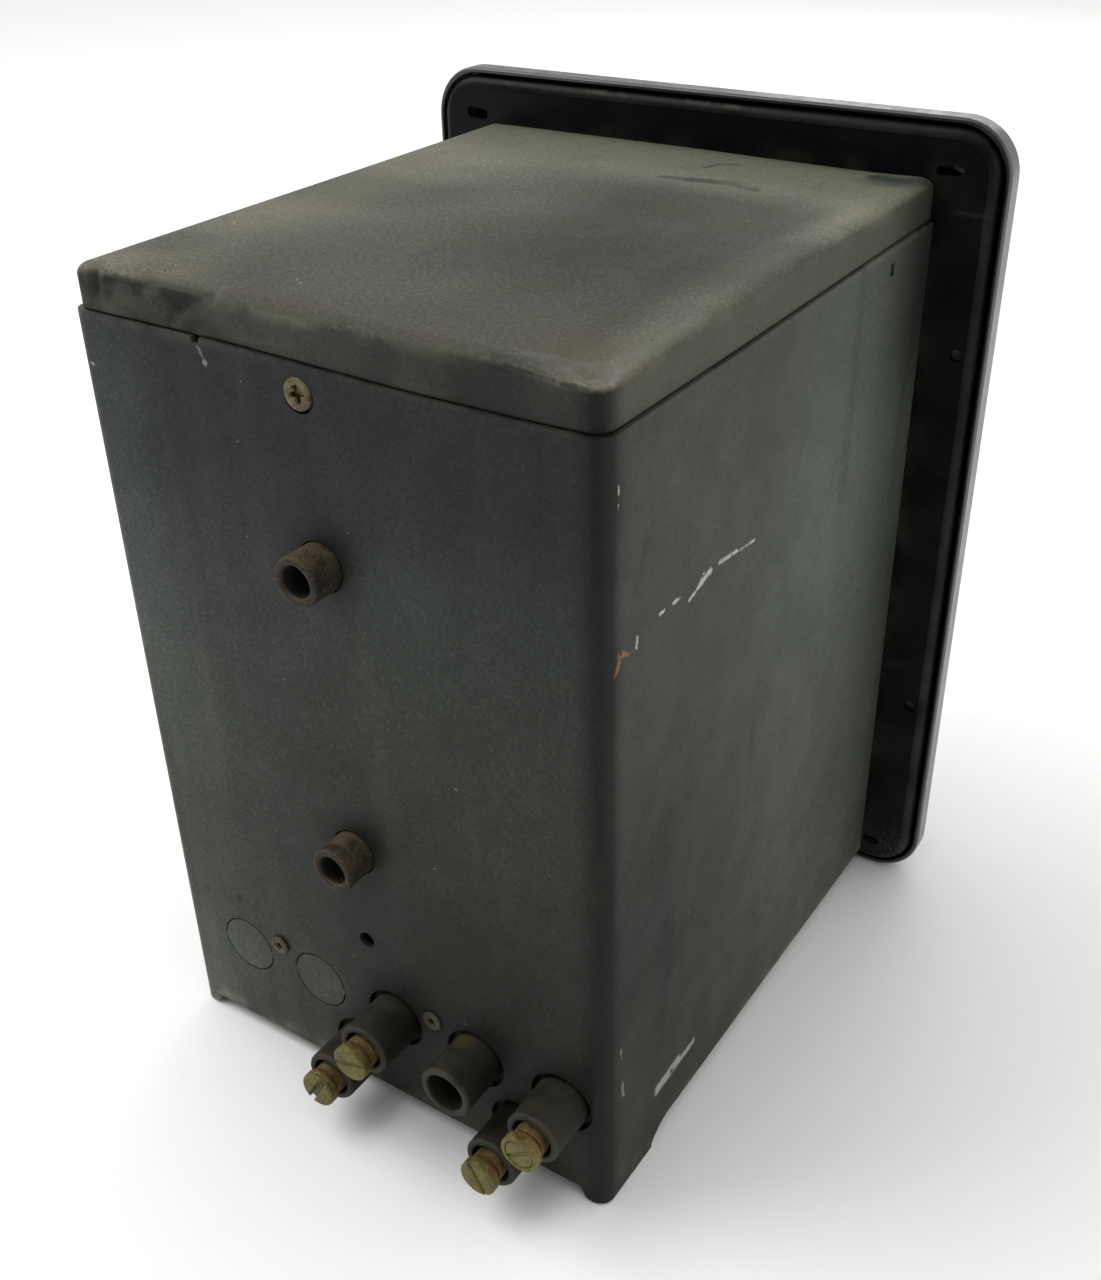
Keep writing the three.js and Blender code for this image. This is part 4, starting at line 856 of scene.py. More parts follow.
def flange_paint():
    M = Mat("flange_black_aged")
    x, y, z = M.xyz()
    med = M.noise(60, 4, 0.6, 0.4, seed=2)
    fine = M.noise(1300, 2, 0.6, seed=3)
    col = M.mix(M.step(med, 0.35, 0.7), srgb(17, 19, 17), srgb(27, 30, 27))
    col = M.mix(M.mul(M.step(fine, 0.52, 0.8), 0.35), col, srgb(58, 60, 54))
    # dust lying on the flange close over the cap, and a thin painted highlight along the bend at its rim
    near = M.mul(M.step(z, 0.2230, 0.2165), M.step(M.math("ABSOLUTE", x), 0.076, 0.064), M.step(med, 0.42, 0.7))
    col = M.mix(M.mul(near, 0.30), col, srgb(92, 90, 78))
    ax = M.math("ABSOLUTE", x)
    rim = M.both(M.step(ax, 0.0800, 0.0812), M.step(z, 0.2248, 0.2260))
    rim = M.mul(rim, M.step(ax, 0.0834, 0.0822), M.step(z, 0.2281, 0.2270))
    col = M.mix(M.mul(rim, M.step(med, 0.3, 0.6), 0.40), col, srgb(70, 72, 66))
    # tan chips along the upper rim
    jag = M.mul(M.math("SUBTRACT", M.noise(800, 3, 0.7, seed=17), 0.5), 0.002)
    chips = M.both(
        M.stroke((34, -1.0, 227.4), (22, -1.0, 227.4), 0.7, jag),
        M.stroke((2.5, -1.0, 227.4), (-13, -1.0, 227.4), 0.6, jag),
        M.stroke((62, -1.0, 227.2), (60, -1.0, 227.2), 0.6, jag),
    )
    chips = M.mul(chips, M.step(M.noise(300, 3, 0.7, seed=23), 0.42, 0.55))
    col = M.mix(M.mul(chips, 0.6), col, srgb(96, 90, 74))
    # painted highlight: a faint grey line across the upper right of the flange, and a short one down near its edge
    line = M.mul(M.both(M.stroke((-73.5, 0, 208.3), (-82, 0, 208.3), 0.5, jag), M.mul(M.stroke((-81.5, 0, 208.3), (-81.8, 0, 196.0), 0.5, jag), 0.6)), 0.35)
    col = M.mix(line, col, srgb(78, 82, 78))
    # scuffed lower corner
    sc = M.mul(M.blob((-80, 0, 8), 3, 13, (1, 1, 1), jag), M.step(fine, 0.4, 0.62))
    col = M.mix(M.mul(sc, 0.35), col, srgb(90, 92, 88))
    r = M.mixf(M.step(med, 0.3, 0.7), 0.36, 0.55)
    n = M.bump(fine, 0.25, 0.0001)
    return M.set(M.gain(col, M.mul(M.mixf(M.step(z, 0.200, 0.060), 1.20, 2.75), FLANGE_GAIN)), r, 0.0, n, Specular_IOR_Level=0.09)


def cover_gloss():
    M = Mat("cover_gloss_black")
    med = M.noise(45, 4, 0.6, 0.3, seed=2)
    fine = M.noise(1500, 2, 0.6, seed=3)
    hair = M.noise(300, 2, 0.6, co=M.at(scale=(0.15, 3, 2), rot=(0, 0.5, 0.3)), seed=5)
    col = M.mix(M.step(med, 0.35, 0.7), srgb(19, 20, 21), srgb(28, 29, 30))
    col = M.mix(M.mul(M.step(fine, 0.68, 0.78), 0.4), col, srgb(110, 108, 98))
    r = M.mixf(M.step(med, 0.3, 0.7), 0.16, 0.30)
    r = M.mixf(M.step(hair, 0.6, 0.7), r, 0.42)
    up = M.mul(M.step(M.nrm()[2], 0.4, 0.95), M.step(M.add(M.mul(M.noise(160, 4, 0.65, 0.2, seed=61), 0.7), M.mul(med, 0.3)), 0.30, 0.70))
    col = M.mix(M.mul(up, 0.15), col, srgb(108, 105, 95))
    r = M.mixf(M.mul(up, 0.6), r, 0.7)
    y = M.xyz()[1]
    # painted reflection: the cover's right-facing rim near the flange is painted light grey, standing for the bright
    # room mirrored in the gloss
    painted_reflection = M.mul(M.step(M.nrm()[0], -0.35, -0.85), M.step(y, Y0 - 0.020, Y0 - 0.008))
    col = M.mix(M.mul(painted_reflection, 0.85), col, srgb(84, 85, 84))
    n = M.bump(fine, 0.05, 0.0001)
    return M.set(col, r, 0.0, n, Specular_IOR_Level=0.6)


def moulded_black():
    M = Mat("moulded_black_worn")
    med = M.noise(110, 4, 0.6, 0.3, seed=2)
    fine = M.noise(1100, 3, 0.6, seed=3)
    col = M.mix(M.step(med, 0.35, 0.7), srgb(36, 36, 32), srgb(50, 49, 44))
    up = M.mul(M.step(M.nrm()[2], 0.2, 0.95), M.step(med, 0.30, 0.62))
    col = M.mix(M.mul(up, 0.40), col, srgb(88, 84, 68))
    col = M.mix(M.mul(M.step(fine, 0.52, 0.8), 0.4), col, srgb(92, 90, 80))
    col = M.mix(M.mul(M.step(fine, 0.5, 0.22), 0.4), col, srgb(18, 18, 16))
    # worn, paler rim of each barrel mouth
    y = M.xyz()[1]
    rim = M.mul(M.step(y, Y0 + 0.1682, Y0 + 0.1694), M.step(med, 0.30, 0.60))
    col = M.mix(M.mul(rim, 0.42), col, srgb(124, 122, 110))
    # a yellow-green smear on top of the empty barrel
    spot = M.blob((-28.0, 157.8, 37.4), 1.2, 4.2, (0.8, 1, 1), M.mul(M.math("SUBTRACT", med, 0.5), 0.003))
    col = M.mix(M.mul(spot, 0.55), col, srgb(104, 100, 52))
    r = M.mixf(M.step(med, 0.3, 0.7), 0.55, 0.75)
    return M.set(M.tint(M.gain(col, 0.35), (1.06, 1.01, 0.82)), r, 0.0, M.bump(fine, 0.4, 0.00018), Specular_IOR_Level=0.25)


def terminal_brass():
    M = Mat("terminal_brass_oxidised")
    y = M.xyz()[1]
    med = M.noise(240, 4, 0.65, 0.4, seed=2)
    fine = M.noise(1500, 3, 0.6, seed=3)
    col = M.mix(M.step(med, 0.32, 0.68), srgb(112, 96, 44), srgb(158, 146, 88))
    col = M.mix(M.mul(M.step(M.noise(420, 3, 0.6, seed=6), 0.5, 0.68), 0.55), col, srgb(98, 100, 58))
    col = M.mix(M.mul(M.step(fine, 0.5, 0.76), 0.45), col, srgb(196, 188, 138))
    col = M.mix(M.mul(M.step(fine, 0.5, 0.24), 0.5), col, srgb(62, 50, 26))
    # coppery ring where the head meets the collar, darker in the bore
    w = M.mul(M.math("SUBTRACT", M.noise(380, 3, 0.6, seed=7), 0.5), 0.0035)
    ya = M.add(y, w)
    ring = M.mul(M.step(ya, Y0 + 0.1690, Y0 + 0.1704), M.step(ya, Y0 + 0.1740, Y0 + 0.1722))
    ring = M.mul(ring, M.step(M.noise(520, 3, seed=45), 0.30, 0.46))
    col = M.mix(M.mul(ring, 0.66), col, srgb(128, 80, 50))
    col = M.mix(M.mul(M.step(M.noise(300, 4, 0.7, seed=46), 0.53, 0.62), 0.5), col, srgb(92, 60, 40))
    deep = M.step(y, Y0 + 0.1690, Y0 + 0.1620)
    col = M.mix(M.mul(deep, 0.7), col, srgb(58, 42, 26))
    r = M.mixf(M.step(med, 0.3, 0.7), 0.42, 0.68)
    return M.set(M.tint(M.gain(col, 0.56), (0.96, 1.03, 0.88)), r, 0.5, M.bump(M.add(M.mul(fine, 0.6), M.mul(med, 0.5)), 0.6, 0.00025), Specular_IOR_Level=0.4)


def rusty_steel():
    M = Mat("boss_rusty_steel")
    y = M.xyz()[1]
    med = M.noise(210, 4, 0.65, 0.4, seed=2)
    fine = M.noise(1300, 3, 0.6, seed=3)
    col = M.mix(M.step(med, 0.34, 0.66), srgb(46, 43, 36), srgb(72, 65, 51))
    up = M.mul(M.step(M.nrm()[2], 0.1, 0.9), M.step(med, 0.25, 0.6))
    col = M.mix(M.mul(up, 0.70), col, srgb(122, 108, 80))
    col = M.mix(M.mul(M.step(M.noise(330, 3, 0.6, seed=6), 0.52, 0.66), 0.5), col, srgb(92, 74, 50))
    col = M.mix(M.mul(M.step(fine, 0.5, 0.76), 0.4), col, srgb(150, 132, 104))
    col = M.mix(M.mul(M.step(fine, 0.5, 0.24), 0.5), col, srgb(28, 26, 22))
    r = M.mixf(M.step(med, 0.3, 0.7), 0.55, 0.85)
    # painted shade: the inside of each boss's bore is painted near black
    bore = M.mul(M.both(M.stroke((2.7, 130, 160.2), (2.7, 170, 160.2), 5.95, soft=0.75), M.stroke((2.7, 130, 82.1), (2.7, 170, 82.1), 5.95, soft=0.75)), M.step(y, Y0 + 0.1645, Y0 + 0.1634))
    col = M.mix(M.mul(bore, 0.92), col, srgb(14, 12, 10))
    return M.set(M.gain(col, 0.52), r, 0.2, M.bump(M.add(M.mul(fine, 0.5), M.mul(med, 0.6)), 0.6, 0.00028), Specular_IOR_Level=0.3)


def bore_rust():
    return plain("bore_rust", srgb(96, 56, 34), srgb(52, 36, 28), (0.7, 0.9), 0.1, 260, 1400, 0.5, 0.0003)


def coil_tape():
    M = Mat("coil_tape_varnished")
    x, y, z = M.xyz()
    fine = M.noise(1600, 2, 0.6, seed=3)
    med = M.noise(90, 3, 0.6, 0.3, seed=4)
    w = M.node("ShaderNodeTexWave", wave_type="BANDS", bands_direction="DIAGONAL", wave_profile="SAW")
    M.put(w.inputs["Vector"], M.co)
    w.inputs["Scale"].default_value = 70
    w.inputs["Distortion"].default_value = 0.6
    lap = w.outputs[1]
    col = M.mix(lap, srgb(86, 34, 22), srgb(124, 58, 36))
    col = M.mix(M.mul(M.step(med, 0.4, 0.7), 0.5), col, srgb(66, 26, 18))
    col = M.mix(M.mul(M.step(fine, 0.5, 0.75), 0.3), col, srgb(150, 92, 62))
    n = M.bump(lap, 0.5, 0.0004)
    n = M.bump(fine, 0.2, 0.0001, normal=n)
    return M.set(col, M.mixf(M.step(med, 0.3, 0.7), 0.34, 0.55), 0.0, n, Specular_IOR_Level=0.55, Coat_Weight=0.25, Coat_Roughness=0.3)


def glass():
    M = Mat("window_glass_clear")
    med = M.noise(30, 3, 0.5, seed=2)
    r = M.mixf(M.step(med, 0.45, 0.8), 0.0, 0.025)
    return M.set(srgb(246, 250, 249), r, 0.0, None, Transmission_Weight=1.0, IOR=1.40, Specular_IOR_Level=0.36)


def dial_face():
    M = Mat("dial_white_face")
    med = M.noise(80, 3, 0.6, seed=2)
    fine = M.noise(1500, 2, 0.6, seed=3)
    col = M.mix(M.step(med, 0.35, 0.7), srgb(214, 210, 196), srgb(198, 192, 174))
    col = M.mix(M.mul(M.step(fine, 0.6, 0.8), 0.3), col, srgb(150, 144, 126))
    return M.set(col, M.mixf(med, 0.4, 0.55), 0.0, M.bump(fine, 0.08, 0.0001))


PAINT = case_paint()
CAP = cap_paint()
FLANGE = flange_paint()
GLOSS = cover_gloss()
MOULD = moulded_black()
TBRASS = terminal_brass()
RUSTY = rusty_steel()
BORE = bore_rust()
TAPE = coil_tape()
GLASS = glass()
DIAL = dial_face()
BRASS = plain("brass_clean", srgb(196, 164, 98), srgb(172, 138, 74), (0.24, 0.42), 0.95, 50, 700, 0.10, 0.0001, stretch=(1, 1, 6))
STEEL = plain("steel_plated", srgb(150, 150, 146), srgb(122, 122, 117), (0.32, 0.52), 0.85, 28, 620, 0.18, 0.00012,
              speck=(srgb(92, 74, 52), 260, 0.72), dust=(srgb(140, 134, 118), 0.25))
ZINC = plain("zinc_dirty_yellow", srgb(106, 97, 66), srgb(74, 66, 44), (0.45, 0.7), 0.45, 260, 1500, 0.4, 0.0002,
             speck=(srgb(50, 42, 28), 700, 0.60), rust=(srgb(92, 70, 42), 0.56))
RIVET = plain("rivet_tan", srgb(82, 76, 60), srgb(52, 49, 40), (0.5, 0.75), 0.35, 300, 1500, 0.4, 0.0002, rust=(srgb(84, 62, 40), 0.55))
CAST = plain("aluminium_cast", srgb(158, 160, 160), srgb(132, 134, 134), (0.42, 0.6), 0.8, 40, 520, 0.35, 0.0002,
             speck=(srgb(96, 96, 94), 500, 0.66), dust=(srgb(140, 136, 124), 0.2))
ROLLED = plain("aluminium_rolled", srgb(192, 194, 195), srgb(170, 172, 173), (0.24, 0.38), 0.95, 22, 480, 0.06, 0.00008, stretch=(8, 1, 8))
CORE = plain("lamination_steel", srgb(74, 77, 82), srgb(52, 55, 60), (0.42, 0.62), 0.6, 70, 900, 0.25, 0.00015,
             rust=(srgb(88, 58, 40), 0.62))
MAGNET = plain("magnet_cast_enamel", srgb(98, 30, 24), srgb(74, 24, 20), (0.38, 0.58), 0.0, 60, 620, 0.45, 0.0003, dust=(DUST, 0.25))
ORANGE = plain("target_orange_enamel", srgb(214, 98, 34), srgb(196, 84, 26), (0.34, 0.48), 0.0, 60, 900, 0.08, 0.0001)
HARD = plain("black_hardware_worn", srgb(24, 24, 24), srgb(36, 36, 35), (0.36, 0.55), 0.2, 160, 1300, 0.2, 0.00012,
             speck=(srgb(120, 108, 76), 620, 0.70))
RUBBER = plain("gasket_rubber_matt", srgb(62, 62, 60), srgb(74, 74, 72), (0.75, 0.9), 0.0, 90, 1000, 0.2, 0.00015)
COPPER = plain("copper_enamelled", srgb(150, 74, 40), srgb(120, 54, 28), (0.3, 0.45), 0.7, 80, 900, 0.12, 0.0001)
BAKE = plain("bakelite_black", srgb(30, 29, 28), srgb(42, 40, 38), (0.26, 0.42), 0.0, 60, 900, 0.10, 0.0001, dust=(DUST, 0.3))
INK = plain("dial_ink_black", srgb(24, 24, 24), srgb(34, 34, 34), (0.4, 0.5), 0.0, 100, 900, 0.05, 0.0001)
FIBRE = plain("fibre_tube_tan", srgb(164, 132, 86), srgb(136, 104, 62), (0.5, 0.7), 0.0, 120, 1100, 0.25, 0.00015)
INSIDE = plain("inner_wall_paint", srgb(44, 46, 43), srgb(58, 60, 56), (0.55, 0.7), 0.0, 40, 900, 0.3, 0.00015, dust=(DUST, 0.4))


# ================================================================ the case: wrap, folded from one flat pattern
W = bx("case_wrap")
HALF, REAR, WTOP = W[1], W[3], W[5]
SHEET, BEND = 1.6, 4.0
FLAT = HALF - BEND
ARC = BEND * math.pi / 2
UE = FLAT + ARC + (REAR - BEND - 0.3)
SCREWS = [mid(f"terminal_screw_{i}") for i in range(1, 5)]
PITCH = (SCREWS[0][0] - SCREWS[1][0]) / 2
UP_Z, LOW_Z = SCREWS[0][2], SCREWS[2][2]
EMPTY_X = SCREWS[0][0] - PITCH
BARRELS = [(s[0], s[2]) for s in SCREWS] + [(EMPTY_X, UP_Z)]
KNOCKOUTS = [SCREWS[0][0] + PITCH, SCREWS[0][0] + 2 * PITCH]
RIVETS = [mid("block_rivet_1"), mid("block_rivet_2")]
BOSSES = {n: mid(f"mounting_boss_{n}") for n in ("lower", "upper")}
CAPSCREW = mid("rear_cap_screw")


def u_of_y(y):
    return FLAT + ARC + (REAR - BEND - y)


def sliced(geo, cuts):
    bm = bmesh.new()
    vs = [bm.verts.new(p) for p in geo.v]
    for q in geo.f:
        try:
            bm.faces.new([vs[i] for i in q])
        except ValueError:
            pass
    bmesh.ops.remove_doubles(bm, verts=bm.verts[:], dist=1e-5)
    for axis, value in cuts:
        co, no = [0, 0, 0], [0, 0, 0]
        co[axis], no[axis] = value, 1
        bmesh.ops.bisect_plane(bm, geom=bm.verts[:] + bm.edges[:] + bm.faces[:], dist=1e-5, plane_co=co, plane_no=no)
    bm.verts.index_update()
    g = Geo([tuple(p.co) for p in bm.verts], [tuple(p.index for p in q.verts) for q in bm.faces])
    bm.free()
    return g


def wave(a, b, *terms):
    return sum(k * math.sin(a * fa + b * fb + ph) for k, fa, fb, ph in terms)


def sag(x, y):
    """How far the seam between wrap and cap sits below its nominal height."""
    def sm(t):
        t = max(0.0, min(1.0, t))
        return t * t * (3 - 2 * t)
    if y >= REAR - BEND - 0.5:
        return 1.3 * sm((30 - x) / 62) - 0.22 * sm((-x - 50) / 14)
    if x < 0:
        return 0.38 + 0.70 * sm(y / 120)
    return 0.0


def build_wrap():
    half = [(61.0, 3.6, 1.2), (62.6, 0.25, 1.0), (u_of_y(133.9), 0.0, 0.5), (u_of_y(134.1), 0.9, 0.5), (u_of_y(132.7), 2.6, 1.5),
            (u_of_y(130.0), 4.2, 2.0), (u_of_y(126.5), 5.2, 4.0), (UE, 5.2, 0.2), (UE, WTOP, 0.2)]
    ox = 30.9
    top = [(ox + 1.0, WTOP, 0.1), (ox + 0.7, WTOP - 1.2, 0.3), (ox - 0.8, WTOP - 1.4, 0.3), (ox - 1.2, WTOP, 0.1)]
    pts = [(-u, z, r) for u, z, r in half[::-1]] + half + top
    outline = fillet([(p[0], p[1]) for p in pts], [p[2] for p in pts], 4)
    holes = [circle(x, z, 8.5, 44) for x, z in BARRELS]
    holes += [circle(p[0], p[2], 1.9, 20) for p in RIVETS]
    holes += [circle(p[0], p[2], 6.15, 36) for p in BOSSES.values()]
    holes += [circle(CAPSCREW[0], CAPSCREW[2], 3.85, 30), circle(1.6, 54.4, 2.25, 24)]
    for x in KNOCKOUTS:
        for s in (0, 1):
            a0 = 7
            arc = [math.radians(180 * s + a0 + (180 - 2 * a0) * i / 22) for i in range(23)]
            holes.append([(x + 8.5 * math.cos(a), UP_Z + 8.5 * math.sin(a)) for a in arc]
                         + [(x + 8.22 * math.cos(a), UP_Z + 8.22 * math.sin(a)) for a in arc[::-1]])
    for s in (-1, 1):
        u = s * u_of_y(25.3)
        holes.append([(u + a_, 200.4 + b_) for a_, b_ in ((-1.3, -1.6), (1.3, -1.5), (1.0, 0), (1.5, 1.5), (-1.2, 1.6), (-0.9, 0))])
    g = plate("y", outline, holes, 0, SHEET, 0.22, 2)
    cuts = [(0, s * (FLAT + ARC * i / 10)) for s in (-1, 1) for i in range(11)]
    cuts += [(0, u) for u in np.arange(-56, 57, 8)]
    cuts += [(0, s * u) for s in (-1, 1) for u in np.arange(FLAT + ARC + 10, UE - 4, 12)]
    cuts += [(2, z) for z in np.arange(12, WTOP - 2, 10)]
    g = sliced(g, cuts)

    def fold(u, w, z):
        x_, y_, z_ = folded(u, w, z)
        t = max(0.0, min(1.0, (z - 150) / 56))
        return (x_, y_, z_ - sag(x_, y_) * t * t)

    def folded(u, w, z):
        # the sheet isn't quite flat: slow waves a few tenths deep, away from the bends and the rims
        s = 1 if u >= 0 else -1
        a = abs(u)
        calm = max(0, min(1, (WTOP - z) / 25)) * max(0, min(1, z / 25))
        edge = min(1, abs(a - FLAT - ARC / 2) / 22) * min(1, max(0, (UE - a) / 15))
        d = calm * edge * wave(u, z, (0.16, 0.043, 0.021, 0.4), (0.12, -0.027, 0.047, 1.9), (0.06, 0.09, 0.033, 3.1))
        w = w + d
        if a <= FLAT:
            return (u, REAR - w, z)
        if a <= FLAT + ARC:
            th = (a - FLAT) / BEND
            return (s * (FLAT + (BEND - w) * math.sin(th)), REAR - BEND + (BEND - w) * math.cos(th), z)
        return (s * (HALF - w), REAR - BEND - (a - FLAT - ARC), z)

    return g.mapped(fold)


wrap = build_wrap()
for s in (-1, 1):  # the foot's small inward lip
    a, b = sorted((s * (HALF - 1.0), s * (HALF - 5.5)))
    wrap = wrap + rbox(a, b, 137.5, 151.5, 0.05, 1.5, 0.4)
make("case_shell", wrap, PAINT, "case", "case_wrap", sharp=40)


# ---------------------------------------------------------------- cap: crowned edges, a dented rear corner
def build_cap():
    C = bx("top_cap")
    hx, yr, zt, zb, yf = C[1], C[3], C[5], WTOP + 0.3, 0.3
    R, RZ = 4.0, 2.7
    edge = [0, 0.5, 1.0, 1.5, 2.1, 2.7, 3.3, 4.0, 5.0, 6.5]
    xs = sorted(set([-hx + e for e in edge] + [hx - e for e in edge] + list(np.arange(-58, 22, 6.0)) + list(np.arange(22, 61, 1.2))))
    ys = sorted(set([yr - e for e in edge] + [yr - 8.5, yr - 11, yr - 14] + list(np.arange(4, 140, 6.0)) + [yf]))
    zs = sorted(set([zt - e for e in (0, 0.4, 0.8, 1.2, 1.7, 2.2, 2.7, 3.5, 4.4, 5.4, 6.5, 7.7, 8.8)] + [zb + 0.3, zb]))
    v, f, ids = [], [], {}

    def vid(x, y, z):
        k = (round(x, 3), round(y, 3), round(z, 3))
        if k not in ids:
            ids[k] = len(v)
            v.append(k)
        return ids[k]

    for a, b in zip(xs, xs[1:]):
        for c, d in zip(ys, ys[1:]):
            f.append((vid(a, c, zt), vid(b, c, zt), vid(b, d, zt), vid(a, d, zt)))
        for c, d in zip(zs, zs[1:]):
            f.append((vid(b, yr, c), vid(a, yr, c), vid(a, yr, d), vid(b, yr, d)))
    for a, b in zip(ys, ys[1:]):
        for c, d in zip(zs, zs[1:]):
            f.append((vid(hx, a, c), vid(hx, b, c), vid(hx, b, d), vid(hx, a, d)))
            f.append((vid(-hx, b, c), vid(-hx, a, c), vid(-hx, a, d), vid(-hx, b, d)))

    def smooth(t):
        t = max(0.0, min(1.0, t))
        return t * t * (3 - 2 * t)

    def shaped(x, y, z):
        qx, qy, qz = max(-hx + R, min(hx - R, x)), min(yr - R, y), min(zt - RZ, z)
        d = ((x - qx) / R, (y - qy) / R, (z - qz) / RZ)
        n = math.sqrt(sum(c * c for c in d)) or 1
        x, y, z = qx + d[0] / n * R, qy + d[1] / n * R, qz + d[2] / n * RZ
        up = smooth((z - zt + 3) / 2.5)
        # slow unevenness of the top and slightly sprung skirts
        inner = min(1, max(0, (hx - abs(x)) / 14)) * min(1, max(0, (yr - y) / 14))
        z += up * inner * wave(x, y, (0.22, 0.045, 0.02, 0.3), (0.16, -0.02, 0.05, 2.2)) - up * 0.2 * inner
        # the dent: flat facets pushed in under the rear edge, meeting in sharp creases
        rear = smooth((y - (yr - 7)) / 5)
        e1 = (48.2 - x) * 0.556 - (213.5 - z) * 0.831
        e2 = (x - 37.3) * 0.517 + (z - 206.2) * 0.856
        e3 = (x - 24.2) * 0.9
        k = max(0.0, min(e1 / 2.6, e2 / 2.6, e3 / 3.2, 1.0))
        y -= 2.6 * k * rear
        z -= 0.9 * k * up * (1.0 if x < 52 else 0.0) * smooth((y - (yr - 15)) / 12)
        e4 = min((58.0 - x) / 3.0, (x - 40.0) / 6.0, (z - 208.6) / 3.0, 1.0)
        y -= 1.0 * max(0.0, e4) * rear
        y -= 0.7 * math.exp(-((x - 46.5) / 1.5) ** 2 - ((z - 213.2) / 1.2) ** 2) * rear
        y += 0.5 * math.exp(-((x - 33.0 + 0.7 * (z - 211)) / 0.8) ** 2) * k * rear
        # puckered fold at the corner
        y -= 1.5 * math.exp(-((x - 60.2) / 1.3) ** 2) * rear * smooth((z - 208.0) / 3)
        y -= 0.8 * math.exp(-((x - 63.6) / 0.9) ** 2) * rear * smooth((z - 210) / 3)
        y += 0.35 * math.exp(-((x - 57.2) / 1.2) ** 2) * rear * smooth((z - 209) / 3)
        # near corner: a raised rim with a groove inside it
        dc = math.hypot(x + hx - 4.5, y - yr + 4.5)
        z -= up * 0.75 * math.exp(-(dc / 10.0) ** 2)
        z += up * 0.75 * math.exp(-((dc - 4.2) / 1.5) ** 2) - 0.7 * math.exp(-((dc - 1.6) / 1.1) ** 2) * up
        z -= 1.7 * math.exp(-(dc / 10.5) ** 2) * smooth((z - 209) / 5)
        z -= sag(x, y) * smooth((zt - 1.5 - z) / 7.5)
        return (x, y, min(z, zt))

    return Geo([shaped(*p) for p in v], f)


cap = make("cap_shell", build_cap(), CAP, "case", "top_cap", sharp=50)
m_ = cap.modifiers.new("sheet", "SOLIDIFY")
m_.thickness, m_.offset, m_.use_even_offset = 1.5 * MM, -1, False
cap.modifiers.move(cap.modifiers.find("sheet"), 0)
lo_, li_, lb_ = HALF - SHEET - 0.4, HALF - SHEET - 1.8, REAR - SHEET - 0.4
lip = fillet([(-lo_, 0.6), (-lo_, lb_), (lo_, lb_), (lo_, 0.6), (li_, 0.6), (li_, lb_ - 1.4), (-li_, lb_ - 1.4), (-li_, 0.6)],
             [0, 2.4, 2.4, 0, 0, 1.2, 1.2, 0], 5)
make("cap_lip", plate("z", lip, [], 193.5, WTOP + 1.4, 0.2), INSIDE, "case")

# ---------------------------------------------------------------- mounting flange
F = bx("mounting_flange")
FH, FZ0, FZ1 = F[1], F[4], F[5]
BF = 2.6  # the turned edge's outside bend


def ring(x1, z0, z1, r, y, n=9):
    return [(a, y, b) for a, b in rr(-x1, x1, z0, z1, r, n)]


opening = rr(-66.5, 66.5, 7.6, 213.5, 2.0, 4)
nut_z = [mid("cover_stud_lower")[2], mid("cover_stud_upper")[2]]
tab_lo = [(-9, 7.6), (-9, 20.5), (9, 20.5), (9, 7.6)]
tab_hi = [(-11, 213.5), (-11, 204), (11, 204), (11, 213.5)]
open2 = [(-66.5, 7.6)] + tab_lo + [(66.5, 7.6), (66.5, 213.5)] + tab_hi[::-1] + [(-66.5, 213.5)]
open2 = fillet(open2, [1.5, 0.6, 1.5, 1.5, 0.6, 1.5, 1.5, 0.6, 1.5, 1.5, 0.6, 1.5], 3)
holes = [open2] + [circle(0, z, 2.8, 24) for z in nut_z]
for s in (-1, 1):
    holes += [circle(s * 78.3, z, 1.75, 20) for z in (63, 172)]
    holes += [slot_shape(s * 71.0, 218.2, 2.1, 1.45, s * 4), slot_shape(s * 71.2, 9.4, 1.4, 1.4, 0)]
flange = plate("y", rr(-FH + BF, FH - BF, FZ0 + BF, FZ1 - BF, 11.6 - BF, 12), holes, -2, 0, 0.16, 2)
stations = []
for i in range(7):  # outside of the bend
    w = math.pi / 2 * i / 6
    d = BF * (1 - math.sin(w))
    stations.append(ring(FH - d, FZ0 + d, FZ1 - d, 11.6 - d, -BF * (1 - math.cos(w)), 12))
for d, y in ((0, -4.5), (0, -7.75), (0.25, -8), (1.35, -8), (1.6, -7.75), (1.6, -2.4), (2.2, -2.0), (BF, -2.0)):
    stations.append(ring(FH - d, FZ0 + d, FZ1 - d, 11.6 - d, y, 12))
flange = flange + loft(stations, closed=True)
# a low pressed bead where the bend starts, which catches the light
bead = [ring(FH - d, FZ0 + d, FZ1 - d, 11.6 - d, y, 12) for d, y in ((2.35, -0.1), (2.6, 0.0), (2.9, 0.0), (3.2, -0.12), (2.8, -0.6))]
flange = flange + loft([[(x, min(y + (0.0 if k in (0, 3, 4) else 0.0), 0), z) for x, y, z in st] for k, st in enumerate(bead)], closed=True)
make("flange_plate", flange, FLANGE, "case", "mounting_flange", sharp=38)
# folded tabs that join the case to the flange, seen from the front once the unit is out
weld = Geo()
for s in (-1, 1):
    for z in (40, 110, 180):
        a, b = sorted((s * (HALF - SHEET - 0.2), s * (HALF - SHEET - 1.2)))
        weld = weld + rbox(a, b, 0.8, 12, z - 9, z + 9, 0.3)
make("flange_welds", weld, INSIDE, "case")
gasket = loft([ring(80.4, 4.4, 226.2, 9, -5.2, 6), ring(80.4, 4.4, 226.2, 9, -2.3, 6), ring(75.2, 5.6, 224.6, 5, -2.3, 6), ring(75.2, 5.6, 224.6, 5, -5.2, 6)], closed=True)
make("cover_gasket", gasket, RUBBER, "case")


